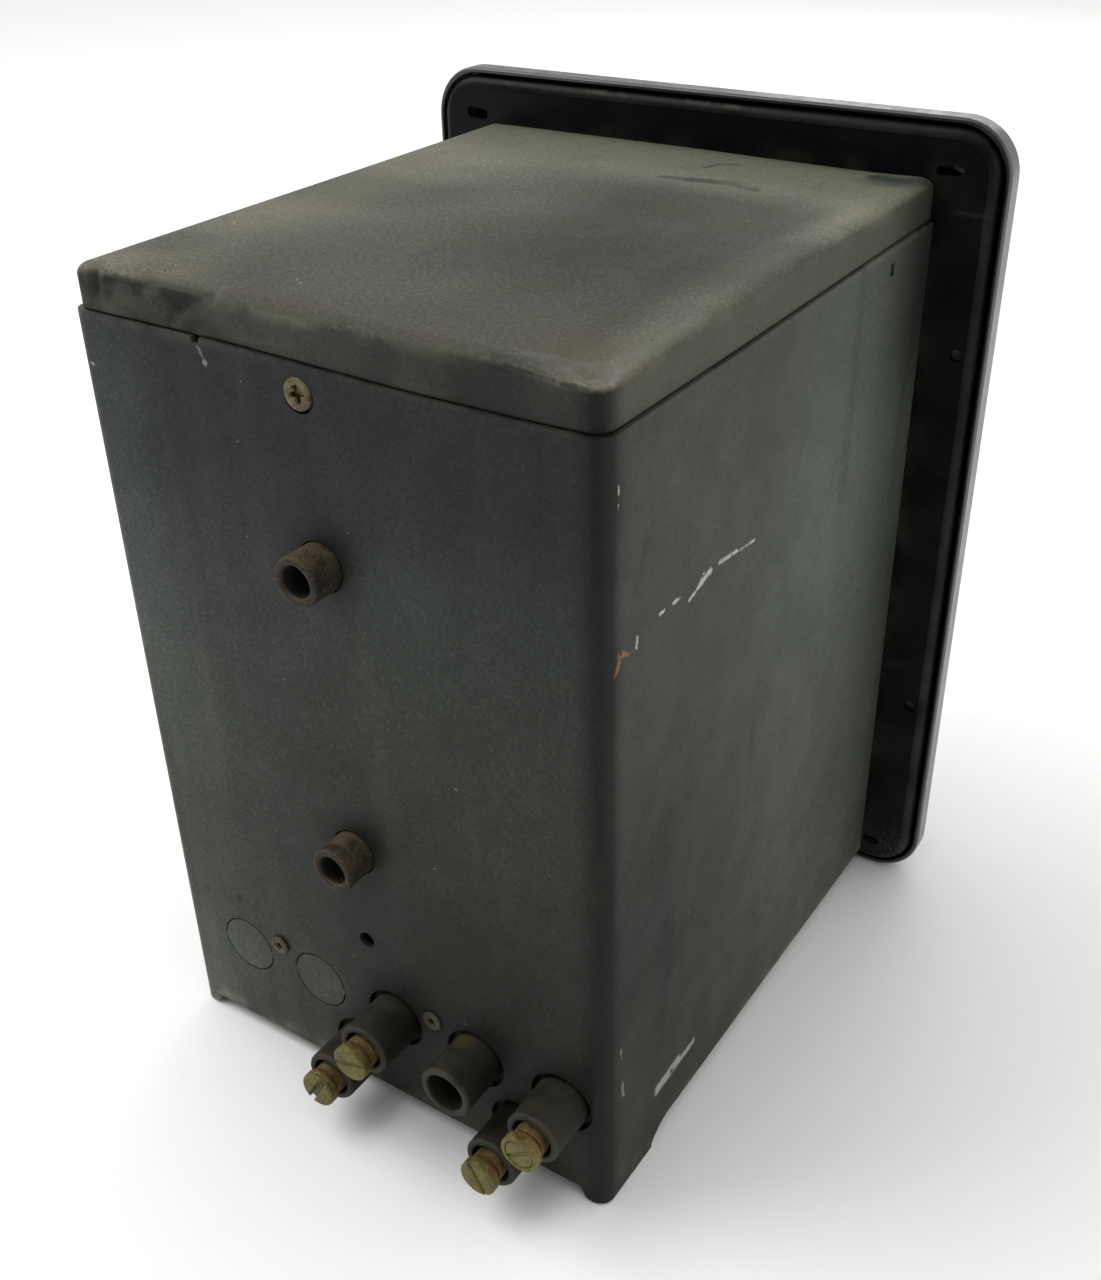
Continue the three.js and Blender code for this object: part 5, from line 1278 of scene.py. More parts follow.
# ---------------------------------------------------------------- terminals
T = bx("terminal_block")
body = rbox(T[0], T[1], 134, 154.4, T[4] + 0.7, 41, 0.8) + rbox(T[0], T[1], 143, 154.4, 40.5, T[5], 0.8)
make("terminal_body", body, MOULD, "case", "terminal_block")
for i, (x, z) in enumerate(BARRELS):
    deep = 146 if i == 4 else 151
    prof = fillet([(REAR - 4, 0.5), (REAR - 4, 7.1), (T[3], 7.1), (T[3], 5.35), (deep, 5.35), (deep, 0.5)],
                  [0, 0, 0.75, 0.45, 0.3, 0], 4, closed=False)
    g = lathe("y", x, z, [(p[0], p[1]) for p in prof], 56, wob=lambda t, w: 0.05 * math.sin(3 * w + t) + 0.03 * math.sin(7 * w + 1))
    g = g + lathe("y", x, z, [(deep, 0), (deep, 0.52), (deep - 1, 0.52), (deep - 1, 0)], 20)
    make(f"terminal_barrel_{i + 1}", g, MOULD, "case", sharp=42)
    if i == 4:
        make("empty_bore_stud", lathe("y", x, z, [(146.1, 0), (146.1, 4.4), (149.5, 4.4), (149.9, 4.0), (149.9, 2.6), (147, 2.5), (147, 0)], 36), BORE, "case")


def screw_head(y0, y1, r, slot_w, slot_d, rim=0.55):
    """Two halves of a slotted cheese head on a common disc, along +Y."""
    base = plate("y", circle(0, 0, r, 56), [], y0, y1 - slot_d, 0.5, 3)
    g = base
    lim = math.asin(slot_w / 2 / r)
    for s in (0, 1):
        arc = [(r * math.cos(a), r * math.sin(a)) for a in np.linspace(lim + math.pi * s, math.pi - lim + math.pi * s, 30)]
        g = g + plate("y", arc, [], y1 - slot_d - 0.55, y1, rim * 0.8, 3)
    return g


SLOT_ANGLE = [20, 35, 60, -62]
for i, (x, _, z) in enumerate(SCREWS):
    b = bx(f"terminal_screw_{i + 1}")
    tip, r = b[3], (b[1] - b[0]) / 2
    hb = tip - 2.9
    shank = fillet([(REAR - 12, 0), (REAR - 12, 2.3), (REAR - 0.6, 2.3), (REAR, 4.25), (hb - 3.4, 4.25), (hb - 3.3, 4.1), (hb - 3.0, 4.1), (hb - 2.9, 4.3),
                    (hb - 0.9, 4.3), (hb - 0.8, 3.7), (hb - 0.35, 3.7), (hb - 0.3, 4.35), (hb + 0.2, 4.5), (hb + 0.2, 0)],
                   [0, 0.3, 0.3, 0.3, 0.1, 0, 0, 0.2, 0.2, 0.1, 0.1, 0.2, 0.1, 0], 2, closed=False)
    g = lathe("y", 0, 0, shank, 44, wob=lambda t, w: 0.04 * math.sin(2 * w + t * 0.7))
    if i == 1:  # this one is seen almost end on and shows a turned ring round its face
        head = plate("y", circle(0, 0, r, 56), [circle(0, 0, r - 1.1, 44)], hb, tip, 0.4, 3) + screw_head(hb + 0.2, tip - 0.15, r - 1.2, 0.55, 0.35)
    else:
        head = screw_head(hb, tip, r, *((1.2, 1.2) if i == 2 else (0.75, 0.45)), rim=0.8)
    g = (g + head).turned("Y", SLOT_ANGLE[i]).moved(x, 0, z)
    make(f"brass_screw_{i + 1}", g, TBRASS, f"terminal_screw_{i + 1}", f"terminal_screw_{i + 1}", sharp=38)

# ---------------------------------------------------------------- rivets, bosses, cap screw
for i, (x, y, z) in enumerate(RIVETS):
    prof = fillet([(REAR - 8, 1.5), (REAR + 0.15, 1.5), (REAR + 0.15, 2.75), (REAR + 0.75, 2.75), (REAR + 1.0, 2.0), (REAR + 1.0, 1.15), (REAR + 0.2, 0.9), (REAR - 8, 0.9)],
                  [0, 0.1, 0.2, 0.3, 0.3, 0.4, 0.3, 0], 3)
    g = lathe("y", x, z, prof, 32, closed=True, wob=lambda t, w: 0.12 * math.sin(4 * w + 1) * (t > REAR) * 0.8)
    make(f"tubular_rivet_{i + 1}", g, RIVET, "case", f"block_rivet_{i + 1}")
    make(f"rivet_core_{i + 1}", lathe("y", x, z, [(REAR - 3, 0), (REAR - 3, 0.95), (REAR - 2.6, 0.95), (REAR - 2.3, 0.5), (REAR - 2.3, 0)], 16), BORE, "case")
for n, (x, y, z) in BOSSES.items():
    b = bx(f"mounting_boss_{n}")
    yo = b[3]
    pts = [(b[2], 3.6), (b[2], 9.0), (REAR - 2.0, 9.0), (REAR - 2.0, 5.85), (yo, 5.85), (yo, 4.3), (yo - 0.7, 3.8)]
    rad = [0, 0.4, 0.3, 0.3, 0.75, 0.35, 0.1]
    t = yo - 0.7
    while t > b[2] + 1.2:  # thread
        pts += [(t - 0.35, 4.1), (t - 0.7, 3.8)]
        rad += [0.05, 0.05]
        t -= 0.7
    pts.append((b[2], 3.6))
    rad.append(0)
    prof = fillet(pts[:-1], rad[:-1], 3, closed=False)
    g = lathe("y", x, z, prof, 48, closed=True, wob=lambda t, w: 0.05 * math.sin(3 * w + t * 0.9) + 0.03 * math.sin(5 * w - t))
    make(f"steel_boss_{n}", g, RUSTY, "case", f"mounting_boss_{n}", sharp=36)
    make(f"boss_bore_floor_{n}", lathe("y", x, z, [(b[2] - 0.3, 0), (b[2] - 0.3, 4.4), (b[2] + 0.05, 4.4), (b[2] + 0.05, 0)], 28), BORE, "case")
x, y, z = CAPSCREW
rh = 3.6
arm, half_w = 1.9, 0.58
cross = []
for q in range(4):
    for a, b_ in ((half_w, half_w), (arm, half_w * 0.8), (arm, -half_w * 0.8), ):
        w = math.radians(90 * q)
        cross.append((a * math.cos(w) + b_ * math.sin(w), a * math.sin(w) - b_ * math.cos(w)))
cross = fillet([(x + a, z + b_) for a, b_ in cross], 0.22, 2)
g = plate("y", circle(x, z, rh, 44), [cross], REAR - 1.1, REAR + 0.55, 0.5, 3)
g = g + lathe("y", x, z, [(REAR - 9.5, 0), (REAR - 9.5, 1.9), (REAR - 2.2, 1.9), (REAR - 0.9, rh - 0.3), (REAR - 0.9, 0)], 36)
g = g.turned("Y", 12, (x, REAR, z))
make("cross_head_screw", g, ZINC, "case", "rear_cap_screw")

# threaded cover studs on the flange's tabs
for n in ("lower", "upper"):
    b = bx(f"cover_stud_{n}")
    x, y, z = mid(f"cover_stud_{n}")
    g = plate("y", hexagon(x, z, 4.6, 30), [circle(x, z, 2.0, 20)], b[3] - 2.1, b[3], 0.35, 2)
    pts, t = [(b[2], 0), (b[2], 1.7), (b[2] + 0.7, 2.4)], b[2] + 0.7
    while t < -8:
        pts += [(t + 0.4, 2.05), (t + 0.8, 2.4)]
        t += 0.8
    pts += [(0.6, 2.4), (0.6, 0)]
    g = g + lathe("y", x, z, pts, 28)
    make(f"threaded_stud_{n}", g, STEEL, "case", f"cover_stud_{n}")


# ================================================================ the rest of the case
P = bx("bottom_pan")
pan = fillet([(P[0], P[5]), (P[0], P[4]), (P[1], P[4]), (P[1], P[5]), (P[1] - 1.4, P[5]), (P[1] - 1.4, P[4] + 1.4), (P[0] + 1.4, P[4] + 1.4), (P[0] + 1.4, P[5])],
             [0.2, 1.8, 1.8, 0.2, 0.2, 0.5, 0.5, 0.2], 5)
g = Geo()
for a, b in ((P[2], 128.0),):
    g = g + plate("y", pan, [], a, b, 0.2)
flat = rr(P[0] + 0.2, P[1] - 0.2, 127.6, P[3], 1.0, 4)
g = g + plate("z", flat, [circle(x_, 140, 1.9, 20) for x_ in (-48, 48)], P[4] + 0.02, P[4] + 1.38, 0.2)
make("pan_sheet", g, INSIDE, "case", "bottom_pan")
for s, n in ((1, "left"), (-1, "right")):
    b = bx(f"guide_rail_{n}")
    x0, x1 = b[0], b[1]
    if s > 0:
        prof = [(x1, b[4]), (x1, b[5]), (x0, b[5]), (x0, b[5] - 1.3), (x1 - 1.3, b[5] - 1.3), (x1 - 1.3, b[4])]
    else:
        prof = [(x0, b[4]), (x0, b[5]), (x1, b[5]), (x1, b[5] - 1.3), (x0 + 1.3, b[5] - 1.3), (x0 + 1.3, b[4])]
    g = plate("y", fillet(prof, [0.2, 1.4, 0.3, 0.2, 0.4, 0.2], 3), [], b[2], b[3], 0.3)
    xi = x1 - 1.3 if s > 0 else x0 + 1.3
    for yy in (16, 62, 112):
        g = g + lathe("x", yy, b[4] + 5.2, [(xi - s * 0.9, 0), (xi - s * 0.85, 1.0), (xi - s * 0.4, 1.9), (xi + s * 0.2, 2.1), (xi + s * 0.2, 0)], 18)
    make(f"rail_{n}", g, STEEL, "case", f"guide_rail_{n}")
for i in range(4):
    b = bx(f"terminal_stud_{i + 1}")
    x, _, z = SCREWS[i]
    g = lathe("y", x, z, fillet([(b[3], 2.5), (b[3], 4.2), (132, 4.2), (132, 2.5)], [0.2, 0.5, 0.3, 0.2], 3), 30, closed=True)
    g = g + plate("y", hexagon(x, z, 4.05 / math.cos(math.radians(30)) * 0.98, 15), [], 131.9, 133.9, 0.3)
    g = g + plate("y", fillet([(x - 4, b[4]), (x + 4, b[4]), (x + 4, z + 3.8), (x - 4, z + 3.8)], [0.3, 0.3, 2.4, 2.4], 5), [], 131.2, 132.6, 0.25)
    bend = fillet([(6.4, 27), (6.4, 8.2), (132.6, 8.2), (132.6, 9.4), (7.6, 9.4), (7.6, 27)], [0.3, 1.6, 0.4, 0.4, 0.5, 0.3], 4)
    g = g + plate("x", bend, [], x - 3, x + 3, 0.25)
    make(f"busbar_{i + 1}", g, BRASS, "case", f"terminal_stud_{i + 1}")

# ================================================================ cradle
cb = bx("cradle_base")
win = rr(-30, 30, 60, 112, 4, 5)
g = plate("z", rr(cb[0], cb[1], cb[2], cb[3], 2.5, 5), [win] + [circle(x_, y_, 1.8, 18) for x_ in (-48, 48) for y_ in (20, 100)], cb[4], cb[5], 0.3)
for s in (-1, 1):  # rolled stiffening ribs
    g = g + plate("x", fillet([(48, cb[5] - 0.4), (112, cb[5] - 0.4), (110.6, cb[5] + 1.6), (49.4, cb[5] + 1.6)], 1.0, 4), [], s * 40 - 1.1, s * 40 + 1.1, 0.4)
make("cradle_floor", g, CAST, "cradle", "cradle_base")
cb = bx("cradle_back")
g = plate("y", rr(cb[0], cb[1], cb[4], cb[5], 2.0, 4), [rr(-40, 40, 60, 180, 7, 6)] + [circle(x_, z_, 1.8, 18) for x_ in (-52, 52) for z_ in (52, 120, 186)], cb[2], cb[3], 0.3)
rib = rr(-46, 46, 54, 186, 9, 6)
g = g + plate("y", rib, [rr(-42.5, 42.5, 57.5, 182.5, 8, 6)], cb[2] - 1.4, cb[2] + 0.5, 0.5)
make("cradle_rear_frame", g, CAST, "cradle", "cradle_back")
hb = bx("cradle_hoop")
hoop = [(-60, 2), (-9.6, 2), (-9.6, 10.5), (9.6, 10.5), (9.6, 2), (60, 2), (60, 124), (-60, 124)]
g = plate("z", fillet(hoop, [2, 0.5, 1, 1, 0.5, 2, 3, 3], 4), [rr(-42, 42, 30, 108, 6, 6)] + [circle(x_, y_, 1.9, 18) for x_ in (-51, 51) for y_ in (12, 66, 116)], 194, 196, 0.3)
for s in (-1, 1):
    a, b = sorted((s * 55, s * 60))
    g = g + plate("x", rr(2, 8, 44.4, 195, 1.6, 5), [rr(3.6, 6.4, z0, z0 + 22, 1.2, 4) for z0 in (60, 92, 124, 156)], a, b, 0.5)
    a, b = sorted((s * 7.9, s * 9.8))
    g = g + plate("x", fillet([(0.8, 194), (12, 194), (12, 195.5), (7.4, 200.6), (0.8, 200.6)], [0, 0, 0.6, 2.0, 2.6], 5), [circle(3.8, 197.6, 1.6, 18)], a, b, 0.25)
make("cradle_bow", g, CAST, "cradle", "cradle_hoop")
# pin through the ears of the top latch, hinge pin of the bottom one
g = lathe("x", 3.8, 197.6, fillet([(-10.3, 0), (-10.3, 2.0), (-9.9, 2.4), (-9.9, 1.5), (9.9, 1.5), (9.9, 2.4), (10.3, 2.0), (10.3, 0)], 0.1, 2, closed=False), 22)
make("upper_latch_pin", g, STEEL, "cradle")
ab = bx("cradle_apron")
g = plate("y", rr(-54.9, 54.9, 42.3, 76, 2.0, 5), [circle(x_, 52, 1.6, 18) for x_ in (-50.5, 50.5)], 2, 4, 0.3)
g = g + plate("y", rr(-60, 60, 42.3, 44.3, 0.5, 3), [], 2.02, 3.98, 0.25)
for x0, x1 in ((49.4, 51.1), (57.9, 59.6)):
    g = g + plate("x", fillet([(-0.8, 33.4), (2.8, 33.4), (8, 38.5), (8, 42.2), (3.9, 42.4), (2.1, 42.4), (-0.8, 39.5)], [2.2, 2, 1.0, 0.5, 0.2, 0.2, 2.2], 4), [circle(1.5, 36, 1.3, 16)], x0, x1, 0.25)
make("cradle_skirt", g, CAST, "cradle", "cradle_apron")
make("lower_latch_pin", lathe("x", 1.5, 36, fillet([(48.9, 0), (48.9, 1.6), (49.3, 2.0), (49.3, 1.2), (59.7, 1.2), (59.7, 2.0), (60.1, 1.6), (60.1, 0)], 0.1, 2, closed=False), 20), STEEL, "cradle")
kb = bx("cradle_contact_block")
comb = [(kb[0], kb[4]), (kb[1], kb[4]), (kb[1], kb[5]), (kb[0], kb[5])]
g = plate("y", fillet(comb, 1.2, 4), [], kb[2], kb[3], 0.6, 3)
for k in range(10):
    x_ = kb[0] + 6 + k * (kb[1] - kb[0] - 12) / 9
    g = g + rbox(x_ - 0.7, x_ + 0.7, kb[2] - 0.0, kb[3] - 0.4, kb[4] + 0.5, kb[5] - 0.5, 0.2).moved(0, -0.25, 0) if k in (0, 9) else g
make("finger_block", g, BAKE, "cradle", "cradle_contact_block")
for i in range(4):
    b = bx(f"cradle_finger_{i + 1}")
    g = plate("y", rr(b[0], b[1], b[4], b[5], 1.0, 4), [], b[2], b[3], 0.3)
    g = g + lathe("y", (b[0] + b[1]) / 2, b[5] - 4, [(b[2] - 0.7, 0), (b[2] - 0.7, 1.2), (b[2] - 0.3, 1.7), (b[2] + 0.2, 1.7), (b[2] + 0.2, 0)], 18)
    g = g + rbox((b[0] + b[1]) / 2 - 2.2, (b[0] + b[1]) / 2 + 2.2, b[2] - 0.35, b[2] + 0.2, b[4] + 1, b[4] + 5.4, 0.3)
    make(f"contact_finger_{i + 1}", g, BRASS, "cradle", f"cradle_finger_{i + 1}")

# cast portal that carries the disk, its bearings
fb = bx("mechanism_frame")
out = fillet([(-30, 44.6), (30, 44.6), (30, 52.2), (51, 52.2), (51, 165), (-51, 165), (-51, 52.2), (-30, 52.2)], [1, 1, 1.5, 5, 8, 8, 5, 1.5], 6)
g = plate("y", out, [rr(-44.5, 44.5, 59.5, 157.5, 6, 6)], fb[2], fb[3], 0.9, 3)
for s in (-1, 1):  # raised ribs and bosses of the casting
    g = g + plate("y", rr(s * 47.7 - 1.3, s * 47.7 + 1.3, 66, 151, 1.2, 4), [], fb[2] - 0.0, fb[2] + 0.6, 0.2).moved(0, -0.25, 0)
    for z_ in (56, 161):
        g = g + lathe("y", s * 38, z_, fillet([(fb[2] - 1.0, 0), (fb[2] - 1.0, 2.6), (fb[2] + 0.3, 2.9), (fb[2] + 0.3, 0)], [0, 0.5, 0, 0], 3, closed=False), 24)
make("cast_portal", g, CAST, "cradle", "mechanism_frame", sharp=40)
b = bx("lower_bearing_screw")
cx, cy = (b[0] + b[1]) / 2, (b[2] + b[3]) / 2
pts, t = [(b[4], 0), (b[4], 2.6), (b[4] + 0.4, 3.0)], b[4] + 0.4
while t < b[5] - 2:
    pts += [(t + 0.4, 2.6), (t + 0.8, 3.0)]
    t += 0.8
pts += [(b[5], 2.0), (b[5], 0)]
g = lathe("z", cx, cy, pts, 28) + plate("z", hexagon(cx, cy, 5.2), [circle(cx, cy, 2.7, 18)], 59.7, 61.2, 0.3)
make("lower_bearing", g, STEEL, "cradle", "lower_bearing_screw")
b = bx("upper_bearing_pin")
g = lathe("z", cx, cy, fillet([(b[4], 0), (b[4], 2.0), (b[4] + 1.4, 3.0), (b[5] - 0.6, 3.0), (b[5], 2.4), (b[5], 0)], [0, 0.3, 0.3, 0.2, 0.2, 0], 3, closed=False), 32)
make("upper_bearing", g, BRASS, "cradle", "upper_bearing_pin")

# laminated core: many thin sheets
lam = fillet([(66, 64), (116, 64), (116, 126), (66, 126), (66, 112), (102.5, 112), (102.5, 78), (66, 78)], [0.6, 1.5, 1.5, 0.6, 0.3, 0.8, 0.8, 0.3], 3)
g = Geo()
nl = 16
for k in range(nl):
    a = -12 + 24 * k / nl
    g = g + plate("x", lam, [], a + 0.06, a + 24 / nl - 0.06, 0.12, 1)
for yy, zz in ((110, 119), (110, 71), (110, 95)):
    g = g + lathe("x", yy, zz, [(-12.9, 0), (-12.9, 1.4), (-12.3, 2.6), (-11.8, 2.6), (11.8, 2.6), (12.3, 2.6), (12.9, 1.4), (12.9, 0)], 20)
for z0, z1 in ((97.6, 111.6), (111.9, 126), (64, 77.8), (78.1, 91.6)):
    for k in range(8):
        a = 64 + 16 * k / 8
        g = g + rbox(-20, 20, a + 0.05, a + 1.95, z0, z1, 0.15, 1) if z0 in (97.6, 78.1) or k < 1 else g
make("laminated_core", g, CORE, "cradle", "magnet_core", sharp=40)
cbx = bx("operating_coil")
g = Geo()
prof_c = rr(cbx[0], cbx[1], cbx[4], cbx[5], 5, 7)
hole_c = rr(-12.2, 12.2, 111.8, 126.2, 1, 3)
coil = plate("y", prof_c, [hole_c], cbx[2] + 1.4, cbx[3] - 1.4, 1.6, 4)
for k in range(5):
    y_ = cbx[2] + 4.2 + k * 3.05
    coil = coil + plate("y", inset(prof_c, -0.22), [inset(prof_c, 1.0)[::-1]], y_ - 1.2, y_ + 1.2, 0.22)
make("taped_winding", coil, TAPE, "cradle", "operating_coil", sharp=50)
g = Geo()
for y_ in (cbx[2], cbx[3] - 1.2):
    g = g + plate("y", rr(cbx[0] + 0.6, cbx[1] - 0.6, cbx[4] + 0.6, cbx[5] - 0.6, 4, 5), [hole_c], y_, y_ + 1.2, 0.25)
make("winding_cheeks", g, FIBRE, "cradle")
# lead-out tags on the front cheek
g = Geo()
for s in (-1, 1):
    g = g + plate("y", fillet([(s * 14 - 2, 129), (s * 14 + 2, 129), (s * 14 + 2, 136.2), (s * 14 - 2, 136.2)], 1.4, 4), [circle(s * 14, 134, 0.8, 14)], cbx[2] - 0.0, cbx[2] + 0.0 + 0.5, 0.1).moved(0, -0.4, 0)
make("winding_tags", g, BRASS, "cradle")
db = bx("drag_magnet")
shape = [(-11, 77), (15, 77), (15, 112.6), (-11, 112.6), (-11, 97.8), (-3.5, 97.8), (-3.5, 91.4), (-11, 91.4)]
shape = [(-11, 77), (15, 77), (15, 112.6), (-11, 112.6), (-11, 97.8), (11.0, 97.8), (11.0, 91.4), (-11, 91.4)]
part_gap = -3.5
shape = [(-11, 77), (15, 77), (15, 112.6), (-11, 112.6), (-11, 100.5), (-3.5, 97.8), (15, 97.8), (15, 91.4), (-3.5, 91.4), (-11, 88.7)]
shape = fillet([(-11, 77), (15, 77), (15, 91.4), (-3.5, 91.4), (-3.5, 97.8), (15, 97.8), (15, 112.6), (-11, 112.6)], [4, 1.2, 1.0, 1.6, 1.6, 1.0, 1.2, 4], 6)
g = plate("x", shape, [], db[0], db[1], 0.9, 3)
for z_ in (83.5, 106):
    g = g + lathe("y", 23, z_, fillet([(db[2] + 0.1, 0), (db[2] + 0.0, 2.6), (db[2] + 0.6, 3.1), (db[2] + 1.2, 3.1), (db[2] + 1.2, 0)], [0, 0.4, 0.1, 0, 0], 3, closed=False).copy(), 26).moved(0, -0.0, 0)
make("drag_magnet_body", g, MAGNET, "cradle", "drag_magnet", sharp=40)
g = Geo()
for z0, z1 in ((88.6, 91.35), (97.85, 100.6)):
    g = g + plate("x", fillet([(-2.5, z0), (14.6, z0), (14.6, z1), (-2.5, z1)], 0.3, 2), [], db[0] - 0.0 + 0.3, db[1] - 0.3, 0.1)
make("magnet_pole_faces", g, CORE, "cradle")
g = plate("y", rr(17.2, 44.2, 134, 140, 1.6, 4), [], 39.6, 41, 0.3) + plate("x", rr(37, 47, 130, 144, 1.4, 4), [circle(39.2, 141.4, 0.9, 14), circle(39.2, 132.6, 0.9, 14)], 42.6, 44.2, 0.3)
g = g + lathe("y", 19.5, 137, fillet([(37.8, 0), (37.8, 2.4), (39.8, 2.4), (39.8, 0)], [0, 0.6, 0.1, 0], 4, closed=False), 28)
for z_ in (135.3, 138.7):
    g = g + lathe("y", 36, z_, [(39.2, 0), (39.25, 0.6), (39.6, 0.9), (39.7, 0)], 14)
make("fixed_contact", g, BRASS, "cradle", "stationary_contact")

# seal-in unit
g = plate("x", rr(2.2, 20, 108, 152, 1.6, 4), [slot_shape(8, 146, 2.0, 1.2, 90), slot_shape(8, 114, 2.0, 1.2, 90)], -54.7, -53, 0.3)
g = g + plate("z", rr(-54.7, -29, 6, 20, 1.4, 4), [], 108, 110, 0.3)
g = g + plate("x", fillet([(16, 108), (20, 108), (20, 141), (22.6, 141), (22.6, 146), (16, 146)], [0.5, 0.5, 0.6, 1.4, 2, 1.2], 4), [circle(20.6, 143.5, 0.9, 16)], -54.7, -50, 0.3)
make("seal_in_bracket", g, STEEL, "cradle")
prof = fillet([(112, 3.0), (112, 7.4), (134, 7.4), (134, 3.0)], [0.2, 0.5, 0.5, 0.2], 3)
turn_r = [(114.0 + k * 0.75, 6.75 + (0.2 if k % 2 else 0.0)) for k in range(25)]
g = lathe("z", -41, 13, [(112, 3.0), (112, 7.2), (112.2, 7.4), (113.6, 7.4), (113.8, 6.6)] + turn_r + [(132.4, 6.6), (132.6, 7.4), (133.8, 7.4), (134, 7.2), (134, 3.0)], 44, closed=True)
g = g + lathe("z", -41, 13, fillet([(109.4, 0), (109.4, 3.0), (138, 3.0), (138, 0)], [0, 0.1, 0.5, 0], 3, closed=False), 28)
g = g + lathe("z", -41, 13, [(108.0, 0), (108.0, 2.4), (107.6, 2.7), (107.2, 2.0), (107.2, 0)], 18).moved(0, 0, 0.8)
make("seal_in_coil", g, COPPER, "cradle", "seal_in_unit")
make("seal_in_hinge_pin", lathe("x", 20.6, 143.5, [(-54.9, 0), (-54.9, 1.2), (-54.6, 1.2), (-54.6, 0.75), (-32.6, 0.75), (-32.6, 0)], 18), STEEL, "seal_in_armature")
g = plate("z", fillet([(-49.4, 0), (-33, 0), (-33, 22), (-49.4, 22)], [1.0, 1.0, 1.5, 1.5], 3), [circle(-41, 13, 1.2, 16)], 140.4, 142, 0.3)
for x0, x1 in ((-49.4, -47.6), (-34.8, -33)):
    g = g + plate("x", fillet([(17, 140.6), (22.6, 140.6), (22.6, 146), (17, 146)], [0.3, 0.5, 2.2, 2.2], 4), [circle(20.6, 143.5, 0.8, 14)], x0, x1, 0.2)
make("armature_plate", g, STEEL, "seal_in_armature")
g = plate("y", rr(-47, -35, 131, 142, 1.0, 4), [], 0, 1.6, 0.35)
g = g + plate("y", rr(-45.6, -36.4, 132.4, 139.6, 0.6, 3), [rr(-44.8, -37.2, 133.2, 138.8, 0.5, 3)], -0.0, 0.4, 0.1).moved(0, -0.15, 0)
make("target_flag", g, ORANGE, "seal_in_armature", "seal_in_armature")

# tap block with threaded inserts, one tap screw; blank nameplate
tb = bx("tap_block")
g = plate("x", fillet([(-4, 181), (16, 181), (16, 193.7), (-4, 193.7)], [1.4, 0.8, 0.8, 1.4], 4), [], tb[0], -10.02, 0.6, 3)
g = g + plate("x", fillet([(-4, 181), (16, 181), (16, 193.7), (-4, 193.7)], [1.4, 0.8, 0.8, 1.4], 4), [], 10.02, tb[1], 0.6, 3)
g = g + rbox(-10.5, 10.5, -4 + 0.05, 15.95, 181.05, 189.4, 0.5) + rbox(-10.5, 10.5, 10, 15.9, 188.8, 193.6, 0.3)
inserts = Geo()
for k in range(7):
    x_ = -36 + 12 * k
    g = g + lathe("y", x_, 185, fillet([(-4.6, 2.9), (-4.6, 3.7), (-3.6, 3.7), (-3.6, 2.9)], 0.25, 3), 30, closed=True)
    inserts = inserts + lathe("y", x_, 185, fillet([(-4.3, 1.5), (-4.3, 2.85), (-3.2, 2.85), (-3.2, 1.5)], 0.15, 2), 28, closed=True)
make("tap_block_body", g, BAKE, "cradle", "tap_block")
make("tap_inserts", inserts, BRASS, "cradle")
bores = Geo()
for k in range(7):
    if k != 2:
        bores = bores + lathe("y", -36 + 12 * k, 185, [(-4.02, 0), (-4.12, 1.55), (-3.5, 1.6), (-3.5, 0)], 20)
make("tap_bores", bores, INK, "cradle")
tsb = bx("tap_screw")
g = lathe("y", 0, 0, [(tsb[3], 0), (tsb[3], 2.1), (-4.4, 2.1), (-4.4, 4.0), (-4.7, 4.2), (-5.6, 4.2), (-5.6, 0)], 40)
hd = screw_head(5.2, 9.0, 4.2, 1.0, 1.1, 0.4)
g = g + hd.turned("Z", 180).turned("Y", 28)
make("tap_screw_head", g.moved(-12, 0, 185), BRASS, "cradle", "tap_screw")
nb = bx("nameplate")
g = plate("y", rr(nb[0], nb[1], nb[4], nb[5], 2, 5), [slot_shape(s * 42.5, 60.5, 0.9, 1.1, 90) for s in (-1, 1)], nb[2], nb[3], 0.25)
g = g + plate("y", rr(nb[0] + 6.8, nb[1] - 6.8, nb[4] + 2, nb[5] - 2, 1.2, 4), [rr(nb[0] + 7.7, nb[1] - 7.7, nb[4] + 2.9, nb[5] - 2.9, 0.8, 4)], nb[2] - 0.12, nb[2] + 0.2, 0.08)
make("blank_nameplate", g, ROLLED, "cradle", "nameplate")
g = Geo()
for z_ in (69.2, 64.6, 57.0, 52.4):
    g = g + plate("y", rr(-36, 36, z_ - 0.18, z_ + 0.18, 0.1, 2), [], nb[2] - 0.08, nb[2] + 0.05, 0.02)
for x_ in (-14, 12):
    g = g + plate("y", rr(x_ - 0.16, x_ + 0.16, 52.4, 64.6, 0.1, 2), [], nb[2] - 0.075, nb[2] + 0.05, 0.02)
make("nameplate_rules", g, INK, "cradle")
g = Geo()
for s in (-1, 1):
    for z_ in (50.4, 70.6):
        g = g + lathe("y", s * 42.5, z_, fillet([(nb[2] - 0.9, 0), (nb[2] - 0.85, 0.8), (nb[2] - 0.1, 1.6), (nb[2] + 0.1, 1.6), (nb[2] + 0.1, 0)], 0, 1, closed=False), 22)
make("nameplate_rivets", g, STEEL, "cradle")

